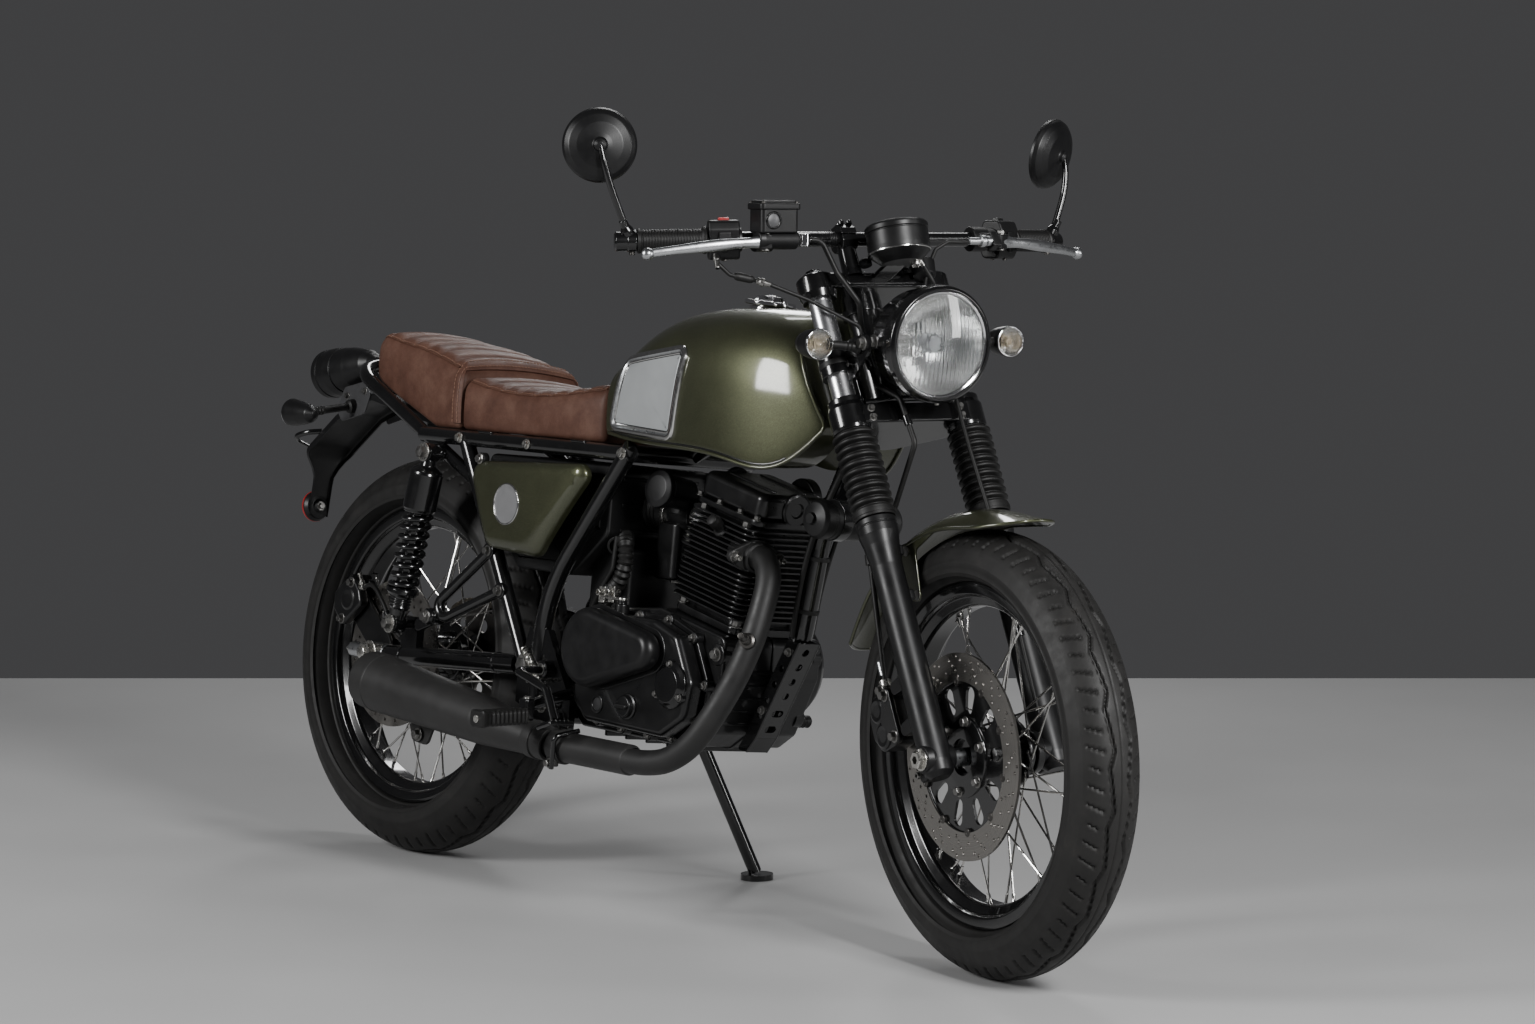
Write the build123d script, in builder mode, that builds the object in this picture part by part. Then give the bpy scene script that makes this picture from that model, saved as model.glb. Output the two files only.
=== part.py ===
from build123d import *
import os
from math import sin, cos, tan, atan2, sqrt, pi, radians, degrees, asin, hypot

os.makedirs("parts", exist_ok=True)

# ------------------------------------------------------------------ sizes (mm)
# Upright frame: X forward, Y to the rider's left, Z up, ground midway between
# the two tyre contacts.  Every piece is drawn upright and straight ahead, and
# is leaned and steered into its parked pose when it is written out.
WHEELBASE = 1363.0
FRONT_R, FRONT_HALF, FRONT_SHOULDER = 316.5, 54.0, (46.0, 290.5)
REAR_R, REAR_HALF, REAR_SHOULDER = 325.0, 65.0, (56.0, 295.0)
RIM_R = 228.5
RAKE = 27.6
FORK_OFFSET = 45.0
LEG_Y = 97.0
LEAN = 6.42
STEER = -11.8
SHIFT = (33.36, -124.34, 0.0)

STANCHION_R = 17.5
LEG_R = 23.0
CLAMP_LOW, CLAMP_HIGH = (503.0, 533.0), (718.0, 742.0)
HEAD_TUBE = (540.0, 713.0)
STEM_R = 20.0
FRONT_AXLE_R, REAR_AXLE_R = 8.5, 8.5
AXLE_BORE = 60.0
FRONT_DISC = (146.0, -54.0, -46.0)
REAR_DISC = (120.0, -78.0, -74.0)
ARM_Y, ARM_R = 110.0, 16.0
ARM_END = -650.0
CHAIN_Y = (73.5, 86.5)
RAIL_Y = 118.0
SHOCK_Y = 147.0
CYL_TILT = 12.0
RUN = 0.05

F_AXLE = Vector(WHEELBASE / 2, 0, FRONT_R)
R_AXLE = Vector(-WHEELBASE / 2, 0, REAR_R)
UP = Vector(-sin(radians(RAKE)), 0, cos(radians(RAKE)))
FWD = Vector(cos(radians(RAKE)), 0, sin(radians(RAKE)))
LEFT = Vector(0, 1, 0)


def sp(a, b=0.0, y=0.0):
    """Point of the fork: a up the legs from the axle, b ahead of them, y left."""
    return F_AXLE + UP * a + FWD * b + LEFT * y


STEER_AXIS = Axis(sp(0, -FORK_OFFSET), UP)


def turn(p, axis, deg):
    """A point turned about an axis."""
    o, k = axis.position, axis.direction
    v = p - o
    c, s = cos(radians(deg)), sin(radians(deg))
    return o + v * c + k.cross(v) * s + k * (k.dot(v) * (1 - c))


def low_point(centre, normal, ring, crown):
    return centre.Z - ring * sqrt(1 - normal.Z ** 2) - crown


def crown_of(r, shoulder):
    half, sag = shoulder[0], r - shoulder[1]
    return (half ** 2 + sag ** 2) / (2 * sag)


# Both tyres touch the ground: a small nose angle and a lift settle the pose.
AXIS_X, AXIS_Y = Axis((0, 0, 0), (1, 0, 0)), Axis((0, 0, 0), (0, 1, 0))
_fc = turn(turn(F_AXLE, STEER_AXIS, STEER), AXIS_X, -LEAN)
_fn = turn(turn(F_AXLE + LEFT, STEER_AXIS, STEER), AXIS_X, -LEAN) - _fc
_rc = turn(R_AXLE, AXIS_X, -LEAN)
_rn = turn(R_AXLE + LEFT, AXIS_X, -LEAN) - _rc
F_CROWN, R_CROWN = crown_of(FRONT_R, FRONT_SHOULDER), crown_of(REAR_R, REAR_SHOULDER)
_fz = low_point(_fc, _fn, FRONT_R - F_CROWN, F_CROWN)
_rz = low_point(_rc, _rn, REAR_R - R_CROWN, R_CROWN)
PITCH = degrees((_fz - _rz) / (_fc.X - _rc.X))
LIFT = -(_rz - _rc.X * radians(PITCH))


def place(shape, steered=False):
    if steered:
        shape = shape.rotate(STEER_AXIS, STEER)
    shape = shape.rotate(Axis.X, -LEAN).rotate(Axis.Y, PITCH)
    return shape.translate((SHIFT[0], SHIFT[1], SHIFT[2] + LIFT))


def place_point(p, steered=False):
    if steered:
        p = turn(p, STEER_AXIS, STEER)
    p = turn(turn(p, AXIS_X, -LEAN), AXIS_Y, PITCH)
    return p + Vector(SHIFT[0], SHIFT[1], SHIFT[2] + LIFT)


def hand_in(part, name, steered=False):
    placed = place(part, steered)
    placed.label = name
    export_step(placed, f"parts/{name}.step")


# ------------------------------------------------------------------ makers
def across(d):
    """Some direction square to d."""
    d = Vector(d).normalized()
    h = Vector(0, 0, 1) if abs(d.Z) < 0.9 else Vector(1, 0, 0)
    return d.cross(h).normalized()


def rod(p, q, r):
    p, q = Vector(p), Vector(q)
    with BuildPart() as b:
        with BuildSketch(Plane(origin=p, z_dir=q - p)):
            Circle(r)
        extrude(amount=(q - p).length)
    return b.part


def pipe(pts, bend, r):
    with BuildPart() as b:
        with BuildLine() as path:
            FilletPolyline(*[Vector(p) for p in pts], radius=bend)
        with BuildSketch(Plane(origin=path.line @ 0, z_dir=path.line % 0)):
            Circle(r)
        sweep()
    return b.part


def lathe(origin, direction, pts):
    """Turned piece: pts are (distance along the axis, radius)."""
    origin, direction = Vector(origin), Vector(direction).normalized()
    with BuildPart() as b:
        with BuildSketch(Plane(origin=origin, x_dir=direction, z_dir=across(direction))):
            with BuildLine():
                Polyline(*pts, close=True)
            make_face()
        revolve(axis=Axis(origin, direction))
    return b.part


def side_plate(pts, y0, y1):
    """Flat piece: (x, z) outline between two y values."""
    with BuildPart() as b:
        with BuildSketch(Plane(origin=(0, y0, 0), x_dir=(1, 0, 0), z_dir=(0, -1, 0))):
            with BuildLine():
                Polyline(*pts, close=True)
            make_face()
        extrude(amount=y0 - y1)
    return b.part


def side_hull(circles, y0, y1):
    """Flat piece: the belt round circles (x, z, r) between two y values."""
    edges = []
    for x, z, r in circles:
        edges += (Plane.XY * Pos(x, z) * Circle(r)).edges()
    with BuildPart() as b:
        with BuildSketch(Plane(origin=(0, y0, 0), x_dir=(1, 0, 0), z_dir=(0, -1, 0))):
            make_hull(edges)
        extrude(amount=y0 - y1)
    return b.part


def block(plane, size, corner=0.0):
    with BuildPart() as b:
        with BuildSketch(plane):
            Rectangle(size[0], size[1]) if corner <= 0 else RectangleRounded(size[0], size[1], corner)
        extrude(amount=size[2])
    return b.part


def fork_plane(a, b=0.0, y=0.0):
    return Plane(origin=sp(a, b, y), x_dir=FWD, z_dir=UP)


def wheel_plane(c):
    return Plane(origin=c, x_dir=(0, 1, 0), z_dir=(1, 0, 0))


def fused(*pieces):
    with BuildPart() as b:
        for p in pieces:
            add(p)
    return b.part


def less(body, *tools):
    with BuildPart() as b:
        add(body)
        for t in tools:
            add(t, mode=Mode.SUBTRACT)
    return b.part


# ------------------------------------------------------------------ wheels
# name, axle, steered, tyre radius, half width, shoulder
WHEELS = [
    ("front", F_AXLE, True, FRONT_R, FRONT_HALF, FRONT_SHOULDER),
    ("rear", R_AXLE, False, REAR_R, REAR_HALF, REAR_SHOULDER),
]
RIM = [(-34, 243), (-31, 243), (-30, 230.5), (-17, 228.5), (-12, 214), (12, 214),
       (17, 228.5), (30, 230.5), (31, 243), (34, 243), (33.5, 226.5), (20, 224),
       (14.5, 209.5), (-14.5, 209.5), (-20, 224), (-33.5, 226.5)]
HUB = {
    "front": [(-46, 8.55), (-46, 42), (-40, 42), (-40, 30), (-34, 30), (-34, 47), (-28, 47),
              (-28, 27), (28, 27), (28, 47), (34, 47), (34, 30), (52, 30), (52, 8.55)],
    "rear": [(-74, 8.55), (-74, 45), (-66, 45), (-66, 32), (-40, 32), (-40, 55), (-34, 55),
             (-34, 34), (34, 34), (34, 55), (40, 55), (40, 40), (77, 40), (77, 8.55)],
}
# flange y, hole radius, rim radius, sweep of a spoke round the wheel
SPOKES = {"front": (31.0, 43.0, 211.5, 52.0), "rear": (37.0, 51.0, 211.5, 54.0)}

for name, axle, steered, r, half, (sy, sr) in WHEELS:
    with BuildPart() as tyre:
        with BuildSketch(wheel_plane(axle)):
            with BuildLine():
                ThreePointArc((-sy, sr), (0, r), (sy, sr))
                ThreePointArc((sy, sr), (half, 0.44 * sr + 0.56 * 250), (29, 245))
                Polyline((29, 245), (29, 231.5), (20, 231.5), (20, 245))
                Polyline((20, 245), (half - 13, 264), (half - 12, 276), (sy - 9, sr - 8))
                ThreePointArc((sy - 9, sr - 8), (0, r - 12), (9 - sy, sr - 8))
                Polyline((9 - sy, sr - 8), (12 - half, 276), (13 - half, 264), (-20, 245))
                Polyline((-20, 245), (-20, 231.5), (-29, 231.5), (-29, 245))
                ThreePointArc((-29, 245), (-half, 0.44 * sr + 0.56 * 250), (-sy, sr))
            make_face()
        revolve(axis=Axis(axle, (0, 1, 0)))
    hand_in(tyre.part, f"{name}_tyre", steered)

    rim = lathe(axle, (0, 1, 0), RIM)
    hand_in(rim, f"{name}_rim", steered)

    hub = lathe(axle, (0, 1, 0), HUB[name])
    hand_in(hub, f"{name}_hub", steered)

    fy, hr, rr, sweep_deg = SPOKES[name]
    with BuildPart() as spokes:
        for side in (-1, 1):
            for k in range(18):
                lead = 1 if k % 2 else -1
                t0 = radians(20 * k + (10 if side > 0 else 0))
                t1 = t0 + lead * radians(sweep_deg)
                p = axle + Vector(hr * cos(t0), side * (fy + 2.4 * lead), hr * sin(t0))
                q = axle + Vector(rr * cos(t1), side * (5.0 + 2.2 * lead), rr * sin(t1))
                with BuildSketch(Plane(origin=p, z_dir=q - p)):
                    Circle(1.7)
                extrude(amount=(q - p).length)
    hand_in(spokes.part, f"{name}_spokes", steered)

disc = FRONT_DISC
front_disc = fused(lathe(F_AXLE, (0, 1, 0), [(-54, 106), (-54, disc[0]), (-50, disc[0]), (-50, 106)]),
                   lathe(F_AXLE, (0, 1, 0), [(-50.5, 22), (-50.5, 112), (-46, 112), (-46, 22)]))
with BuildPart() as front_brake_disc:
    add(front_disc)
    with BuildSketch(Plane(origin=F_AXLE - LEFT * 60, x_dir=(1, 0, 0), z_dir=(0, 1, 0))):
        with PolarLocations(76, 8):
            SlotOverall(52, 26, rotation=0)
    extrude(amount=30, mode=Mode.SUBTRACT)
hand_in(front_brake_disc.part, "front_brake_disc", True)

rd = lathe(R_AXLE, (0, 1, 0), [(-78, 22), (-78, REAR_DISC[0]), (-74, REAR_DISC[0]), (-74, 22)])
with BuildPart() as rear_brake_disc:
    add(rd)
    with BuildSketch(Plane(origin=R_AXLE - LEFT * 90, x_dir=(1, 0, 0), z_dir=(0, 1, 0))):
        with PolarLocations(66, 6):
            SlotOverall(40, 24, rotation=0)
    extrude(amount=30, mode=Mode.SUBTRACT)
hand_in(rear_brake_disc.part, "rear_brake_disc")

sprocket = lathe(R_AXLE, (0, 1, 0), [(77, 20), (77, 82), (82, 82), (82, 20)])
with BuildPart() as rear_sprocket:
    add(sprocket)
    with BuildSketch(Plane(origin=R_AXLE + LEFT * 60, x_dir=(1, 0, 0), z_dir=(0, 1, 0))):
        with PolarLocations(58, 6):
            Circle(11)
    extrude(amount=30, mode=Mode.SUBTRACT)
hand_in(rear_sprocket.part, "rear_sprocket")

# ------------------------------------------------------------------ fork
SIDES = (-1, 1)

stanchions = fused(*[rod(sp(362, 0, s * LEG_Y), sp(750, 0, s * LEG_Y), STANCHION_R) for s in SIDES])
hand_in(stanchions, "fork_stanchions", True)

LEG = [(-29, 0), (-29, 15), (-20, LEG_R), (300, LEG_R), (335, 29), (361.8, 29), (361.8, 0)]
legs = [lathe(sp(0, 0, s * LEG_Y), UP, LEG) for s in SIDES]
axle_hole = rod(sp(0, 0, -150), sp(0, 0, 150), FRONT_AXLE_R + RUN)
lowers = less(fused(*legs), axle_hole)
hand_in(lowers, "fork_lower_legs", True)

BOOT_N, BOOT_A = 9, (362.3, 500.0)
pitch_a = (BOOT_A[1] - BOOT_A[0]) / BOOT_N
boot_pts = [(BOOT_A[0], 19)]
for k in range(BOOT_N):
    a0 = BOOT_A[0] + k * pitch_a
    boot_pts += [(a0, 27), (a0 + 0.25 * pitch_a, 32), (a0 + 0.75 * pitch_a, 32)]
boot_pts += [(BOOT_A[1], 27), (BOOT_A[1], 19)]
boots = fused(*[lathe(sp(0, 0, s * LEG_Y), UP, boot_pts) for s in SIDES])
hand_in(boots, "fork_boots", True)


def clamp_plate(a0, a1, r_leg, r_mid):
    edges = []
    for b, y, r in ((0, LEG_Y, r_leg), (0, -LEG_Y, r_leg), (-FORK_OFFSET, 0, r_mid)):
        edges += (Plane.XY * Pos(b, y) * Circle(r)).edges()
    with BuildPart() as c:
        with BuildSketch(fork_plane(a0)):
            make_hull(edges)
        extrude(amount=a1 - a0)
    return c.part


leg_holes = [rod(sp(480, 0, s * LEG_Y), sp(780, 0, s * LEG_Y), STANCHION_R) for s in SIDES]
lower_clamp = fused(less(clamp_plate(*CLAMP_LOW, 28, 32), *leg_holes),
                    rod(sp(520, -FORK_OFFSET), sp(CLAMP_HIGH[1], -FORK_OFFSET), STEM_R))
hand_in(lower_clamp, "lower_fork_clamp", True)

stem_hole = rod(sp(700, -FORK_OFFSET), sp(760, -FORK_OFFSET), STEM_R)
BAR_MID = (797.0, 24.0)
BAR_BEND_Y, BAR_END = 190.0, (828.0, -44.0, 362.0)
risers = [rod(sp(735, 24, s * 46), sp(BAR_MID[0], 24, s * 46), 14) for s in SIDES]
caps = [rod(sp(BAR_MID[0], BAR_MID[1], s * 46 - 13), sp(BAR_MID[0], BAR_MID[1], s * 46 + 13), 19) for s in SIDES]
bar_hole = rod(sp(BAR_MID[0], BAR_MID[1], -80), sp(BAR_MID[0], BAR_MID[1], 80), 11.1)
upper_clamp = less(fused(clamp_plate(*CLAMP_HIGH, 27, 29), *risers, *caps,
                         block(fork_plane(722, 14), (30, 120, 16))), *leg_holes, stem_hole, bar_hole)
upper_clamp = fused(upper_clamp, rod(sp(CLAMP_HIGH[1], -FORK_OFFSET), sp(CLAMP_HIGH[1] + 10, -FORK_OFFSET), 24))
hand_in(upper_clamp, "upper_fork_clamp", True)

bar = pipe([sp(*BAR_END[:2], -BAR_END[2]), sp(*BAR_MID, -BAR_BEND_Y), sp(*BAR_MID, BAR_BEND_Y), sp(*BAR_END)], 90, 11.0)
hand_in(bar, "handlebar", True)


def bar_point(y):
    """Centre of the bar at a given |y| on its bent outer part."""
    f = (abs(y) - BAR_BEND_Y) / (BAR_END[2] - BAR_BEND_Y)
    return sp(BAR_MID[0] + f * (BAR_END[0] - BAR_MID[0]), BAR_MID[1] + f * (BAR_END[1] - BAR_MID[1]), y)


grips = []
for s in SIDES:
    p, q = bar_point(s * 258), bar_point(s * 350)
    d = q - p
    n = d.length
    grips.append(lathe(p, d, [(0, 11.3), (0, 20), (5, 20), (7, 16.5), (n - 5, 16.5), (n - 3, 18), (n, 18), (n, 11.3)]))
hand_in(fused(*grips), "handlebar_grips", True)

# hand controls: switch housing and lever clamp on the bar, the lever, and on
# the right the brake cylinder with its level reservoir
controls = []
for s in SIDES:
    p, q = bar_point(s * 214), bar_point(s * 257)
    housing = block(Plane(origin=p, x_dir=Vector(0, 0, 1), z_dir=q - p), (58, 40, (q - p).length), 12)
    pivot = sp(776, 58, s * 200)
    ring = lathe(sp(*BAR_MID, s * 168), LEFT * s, [(0, 9), (0, 19), (30, 19), (30, 9)])
    arm = rod(sp(*BAR_MID, s * 188), pivot, 11)
    knuckle = rod(pivot - Vector(0, 0, 12), pivot + Vector(0, 0, 12), 12)
    lever = pipe([pivot, sp(777, 50, s * 250), sp(781, 10, s * 366)], 40, 6.0)
    ball = lathe(sp(781, 10, s * 364), LEFT * s, [(-8, 0), (-6, 7), (0, 9), (6, 7), (8, 0)])
    parts = [housing, ring, arm, knuckle, lever, ball]
    if s < 0:
        parts.append(rod(sp(780, 56, -212), sp(780, 56, -142), 14))
        parts.append(rod(sp(780, 56, -143), sp(780, 56, -124), 8))
        parts.append(block(Plane(origin=sp(788, 56, -182), x_dir=(1, 0, 0), z_dir=(0, 0, 1)), (46, 66, 50), 7))
    controls.append(less(fused(*parts), bar))
hand_controls = fused(*controls)
hand_in(hand_controls, "handlebar_controls", True)

# bar-end mirrors: clamp and end weight, stem, round head turned outwards
MIRROR_HEAD = {-1: (957, 6, -400), 1: (955, -3, 380)}
MIRROR_BACK = {-1: Vector(0.90, -0.43, 0.02).normalized(), 1: Vector(0.87, 0.44, -0.22).normalized()}
mirrors = []
for s in SIDES:
    head, back = sp(*MIRROR_HEAD[s]), MIRROR_BACK[s]
    joint = head + back * 24
    foot = bar_point(s * 357)
    knee = foot + (joint - foot) * 0.55 + Vector(6, s * 8, 0)
    stem = pipe([foot, knee, joint], 60, 5.0)
    head_m = lathe(head, back, [(-8, 0), (-8, 54), (-3, 54), (6, 50), (14, 36), (18, 16), (26, 9), (26, 0)])
    end = lathe(bar_point(s * 351), bar_point(s * 363) - bar_point(s * 351),
                [(0, 11.3), (0, 16), (12, 16), (13, 14.5), (30, 14.5), (32, 12), (32, 0), (12.6, 0), (12.6, 11.3)])
    mirrors.append(less(fused(stem, head_m, end), bar))
hand_in(fused(*mirrors), "mirrors", True)

GAUGE_D = (UP * 52 + FWD * 11).normalized()
gauge = fused(lathe(sp(728, 84), GAUGE_D, [(0, 0), (0, 30), (8, 38), (14, 44), (18, 46), (54, 46), (57, 44), (57, 0)]),
              block(fork_plane(731, 58), (64, 34, 7)))
instrument = less(gauge, upper_clamp)
hand_in(instrument, "instrument", True)

LAMP_C, LAMP_D = Vector(528, 0, 887), Vector(cos(radians(3)), 0, -sin(radians(3)))
lamp = lathe(LAMP_C, LAMP_D, [(-122, 0), (-120, 24), (-104, 50), (-70, 72), (-24, 79), (-18, 84), (0, 84), (0, 73),
                              (-10, 73), (-10, 0)])
hand_in(lamp, "headlamp_shell", True)
lens = lathe(LAMP_C, LAMP_D, [(-9.8, 0), (-9.8, 72.5), (0, 72.5), (6, 50), (9, 22), (10, 0)])
hand_in(lens, "headlamp_lens", True)

signals = []
for s in SIDES:
    ringp = rod(sp(588, 0, s * LEG_Y), sp(620, 0, s * LEG_Y), 25)
    arm = block(Plane(origin=sp(592, 46, s * 90), x_dir=FWD, z_dir=UP), (96, 6, 26))
    pin = rod(sp(605, 76, s * 76.5), sp(605, 76, s * 96), 7)
    stalk = rod(sp(605, 62, s * 92), sp(605, 62, s * 146), 6)
    body = lathe(Vector(462, s * 161, 887), (1, 0, 0), [(-58, 0), (-56, 7), (-46, 15), (-28, 20), (-6, 23), (0, 23), (3, 17), (5, 0)])
    signals.append(less(fused(ringp, arm, pin, stalk, body), rod(sp(560, 0, s * LEG_Y), sp(650, 0, s * LEG_Y), STANCHION_R)))
hand_in(fused(*signals), "front_turn_signals", True)

FENDER_ARC = (70.0, 160.0)
t0 = radians(FENDER_ARC[0])
with BuildPart() as fender_sheet:
    with BuildSketch(Plane(origin=F_AXLE, x_dir=(0, 1, 0), z_dir=(sin(t0), 0, -cos(t0)))):
        with BuildLine():
            ThreePointArc((-60, 320), (0, 345), (60, 320))
            Line((60, 320), (57, 319))
            ThreePointArc((57, 319), (0, 342), (-57, 319))
            Line((-57, 319), (-60, 320))
        make_face()
    revolve(axis=Axis(F_AXLE, (0, -1, 0)), revolution_arc=FENDER_ARC[1] - FENDER_ARC[0])
tabs = []
for s in SIDES:
    tabs.append(block(Plane(origin=sp(232, 0, s * 59.5), x_dir=FWD, z_dir=UP), (40, 3, 92)))
    tabs.append(block(Plane(origin=sp(240, 0, s * 66.4), x_dir=FWD, z_dir=UP), (24, 14, 50)))
front_fender = fused(fender_sheet.part, *tabs)
hand_in(front_fender, "front_fender", True)

cal_box = block(Plane(origin=sp(52, -116, -65.5), x_dir=FWD, z_dir=UP), (62, 69, 88), 10)
cal_slot = lathe(F_AXLE, (0, 1, 0), [(-60, 0), (-60, 153), (-40, 153), (-40, 0)])
cal_lug = block(Plane(origin=sp(84, -52, -88), x_dir=FWD, z_dir=UP), (70, 14, 24))
front_caliper = less(fused(cal_box, cal_lug), cal_slot, rod(sp(-60, 0, -LEG_Y), sp(300, 0, -LEG_Y), LEG_R))
hand_in(front_caliper, "front_caliper", True)

front_axle = less(lathe(F_AXLE, (0, 1, 0), [(-132, 0), (-132, 13), (-120.3, 13), (-120.3, 8.5), (-73.6, 8.5), (-73.6, 13), (-47, 13), (-47, 8.5),
                                            (53, 8.5), (53, 13), (73.6, 13), (73.6, 8.5), (120.3, 8.5), (120.3, 13), (132, 13), (132, 0)]),
                  *[rod(F_AXLE + LEFT * s * (132 - AXLE_BORE), F_AXLE + LEFT * s * 150, 6.0) for s in SIDES])
hand_in(front_axle, "front_axle", True)

# brake hose, throttle and clutch cables, speedometer cable: all held by the fork
CABLES = [
    ([sp(780, 56, -126), sp(778, 58, -106), sp(729, 52, -90), sp(684, 46, -62), sp(640, 2, -44), sp(572, 4, -40), sp(533, 42, -32), sp(462, 42, -26), sp(392, -30, -40), sp(330, -64, -80), sp(152, -96, -86)], 16, 4.0),
    ([sp(796, 4, -250), sp(769, 5, -255), sp(750, 4, -238), sp(740, 8, -204), sp(727, 18, -184), sp(699, 24, -130), sp(652, 34, -64), sp(630, 32, -60)], 10, 3.0),
    ([sp(776, 60, 176), sp(775, 58, 130), sp(777, 56, 110), sp(768, 49, 90), sp(736, 41, 70), sp(708, 38, 60), sp(640, 22, 60)], 10, 3.0),
    ([sp(737, 96, 22), sp(690, 96, 40), sp(650, 34, 66), sp(450, 38, 66), sp(300, 40, 72), sp(40, 30, 70)], 22, 3.0),
]
cables = less(fused(*[pipe(p, b, r) for p, b, r in CABLES]), hand_controls, instrument)
hand_in(cables, "control_cables", True)

# ------------------------------------------------------------------ frame
head_tube = rod(sp(HEAD_TUBE[0], -FORK_OFFSET), sp(HEAD_TUBE[1], -FORK_OFFSET), 27)
backbone = pipe([(352, 0, 842), (60, 0, 752), (-60, 0, 690)], 120, 17)
down_tube = pipe([sp(585, -FORK_OFFSET), (262, 0, 590), (238, 0, 440), (190, 0, 345)], 110, 17)
tubes = [head_tube, backbone, down_tube,
         rod((-50, -RAIL_Y, 688), (-50, RAIL_Y, 688), 12.5),
         rod((-205, -RAIL_Y, 271), (-205, RAIL_Y, 271), 10.0),
         pipe([(-442, -RAIL_Y, 622), (-822, -112, 793), (-822, 112, 793), (-442, RAIL_Y, 622)], 70, 11)]
PLATE = [(-284, 330), (-262, 405), (-215, 405), (-146, 300), (-146, 254), (-200, 254), (-284, 288)]
for s in SIDES:
    y = s * RAIL_Y
    tubes += [pipe([(-54, y, 699), (-238, y, 455), (-238, y, 290)], 250, 14),
              rod((-50, y, 688), (-592, y, 688), 12.5),
              rod((-478, y, 688), (-264, y, 332), 12.5),
              side_plate(PLATE, s * 112 if s > 0 else -124, s * 124 if s > 0 else -112),
              rod((-530, y, 660), (-530, s * 166, 660), 7.0)]
pivot_bolt = rod((-258, -130, 345), (-258, 130, 345), 8.0)
PIVOT = Vector(-172, 148, 268)
HINGE = Vector(0, 0.9465, 0.323).normalized()
stand_pin = fused(rod(PIVOT - HINGE * 36, PIVOT + HINGE * 18, 6.0), rod(PIVOT + HINGE * 18, PIVOT + HINGE * 24, 11))
frame = less(fused(*tubes, pivot_bolt, stand_pin), rod(sp(500, -FORK_OFFSET), sp(760, -FORK_OFFSET), STEM_R + RUN))
hand_in(frame, "frame")

# ------------------------------------------------------------------ engine
CASE = [(-195, 305), (-150, 264), (100, 260), (136, 284), (176, 370), (178, 430), (20, 462), (-60, 455), (-150, 440), (-195, 400)]
case_block = side_plate(CASE, -95, 95)
pocket = side_plate([(-260, 240), (-86, 240), (-86, 470), (-260, 470)], 60, 110)
engine_case = fused(less(case_block, pocket), rod((-150, 58, 345), (-150, 86, 345), 26))
hand_in(engine_case, "engine_case")

CYL = Plane(origin=(98, 0, 458), x_dir=(cos(radians(CYL_TILT)), 0, -sin(radians(CYL_TILT))),
            z_dir=(sin(radians(CYL_TILT)), 0, cos(radians(CYL_TILT))))


def cyl_block(z0, z1, x0, x1, half, corner):
    pl = Plane(origin=CYL.from_local_coords(Vector((x0 + x1) / 2, 0, z0)), x_dir=CYL.x_dir, z_dir=CYL.z_dir)
    return block(pl, (x1 - x0, 2 * half, z1 - z0), corner)


FIN_PITCH, FIN_T = 8.4, 2.6
cyl_parts = [cyl_block(-2, 84, -58, 58, 58, 12)]
for k in range(9):
    z = 14 + k * FIN_PITCH
    cyl_parts.append(cyl_block(z, z + FIN_T, -82, 82, 84, 20))
cylinder = less(fused(*cyl_parts), side_plate(CASE, -95, 95))
hand_in(cylinder, "cylinder")
head_parts = [cyl_block(84.2, 214, -70, 56, 56, 12)]
for k in range(8):
    z = 90 + k * FIN_PITCH
    head_parts.append(cyl_block(z, z + FIN_T, -96, 78, 80, 20))
head_parts.append(cyl_block(160, 206, -84, 66, 66, 16))
cylinder_head = fused(*head_parts)
PORT = [(184, -58, 553), (214, -64, 549), (238, -74, 525), (245, -86, 485), (243, -100, 432), (228, -114, 374), (203, -128, 318),
        (171, -138, 272), (130, -144, 244), (84, -149, 233), (20, -153, 232), (-139, -162, 236)]
exhaust_core = pipe(PORT, 45, 19)
cylinder_head = less(cylinder_head, exhaust_core)
hand_in(cylinder_head, "cylinder_head")

COVER = [(-130, 302), (-95, 272), (95, 266), (150, 300), (160, 360), (120, 432), (60, 452), (-80, 452), (-130, 400)]
cover_base = side_plate(COVER, -138, -95.2)
egg = side_hull([(-70, 391, 62), (56, 398, 30)], -170, -137)
with BuildPart() as clutch:
    add(egg)
    fillet(clutch.faces().sort_by(Axis.Y)[0].edges(), 18)
gen = lathe((62, 95.2, 382), (0, 1, 0), [(0, 0), (0, 82), (38, 80), (52, 68), (56, 40), (56, 0)])
sprocket_cover = side_plate([(-205, 300), (-150, 285), (-30, 285), (-30, 440), (-150, 425), (-205, 395)], 95.2, 103)
covers = fused(cover_base, clutch.part, fused(gen, sprocket_cover))
hand_in(covers, "engine_covers")

BOX = [(-122, 668), (-440, 668), (-440, 590), (-345, 492), (-205, 492), (-122, 560)]
air_box = side_plate(BOX, -97, 97)
carb = fused(rod((-123, 0, 606), (-18, 0, 600), 27), rod((-18, 0, 600), (34, 0, 596), 22), block(Plane(origin=(-68, 0, 545)), (54, 56, 90), 8))
intake = less(fused(air_box, carb), cylinder_head)
hand_in(intake, "intake_and_air_box")

pipe_end = rod((50, -147, 232), (-139, -162, 236), 23.5)
exhaust = fused(exhaust_core, pipe_end)
hand_in(exhaust, "exhaust_pipe")
MUFF_A, MUFF_B = Vector(-146, -162.5, 236.8), Vector(-600, -184, 290)
ml = (MUFF_B - MUFF_A).length
muffler = lathe(MUFF_A, MUFF_B - MUFF_A, [(0, 0), (0, 26), (34, 27), (150, 38), (ml - 40, 47), (ml - 8, 47), (ml, 42), (ml, 30), (ml - 26, 26), (ml - 26, 0)])
hand_in(muffler, "muffler")

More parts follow.
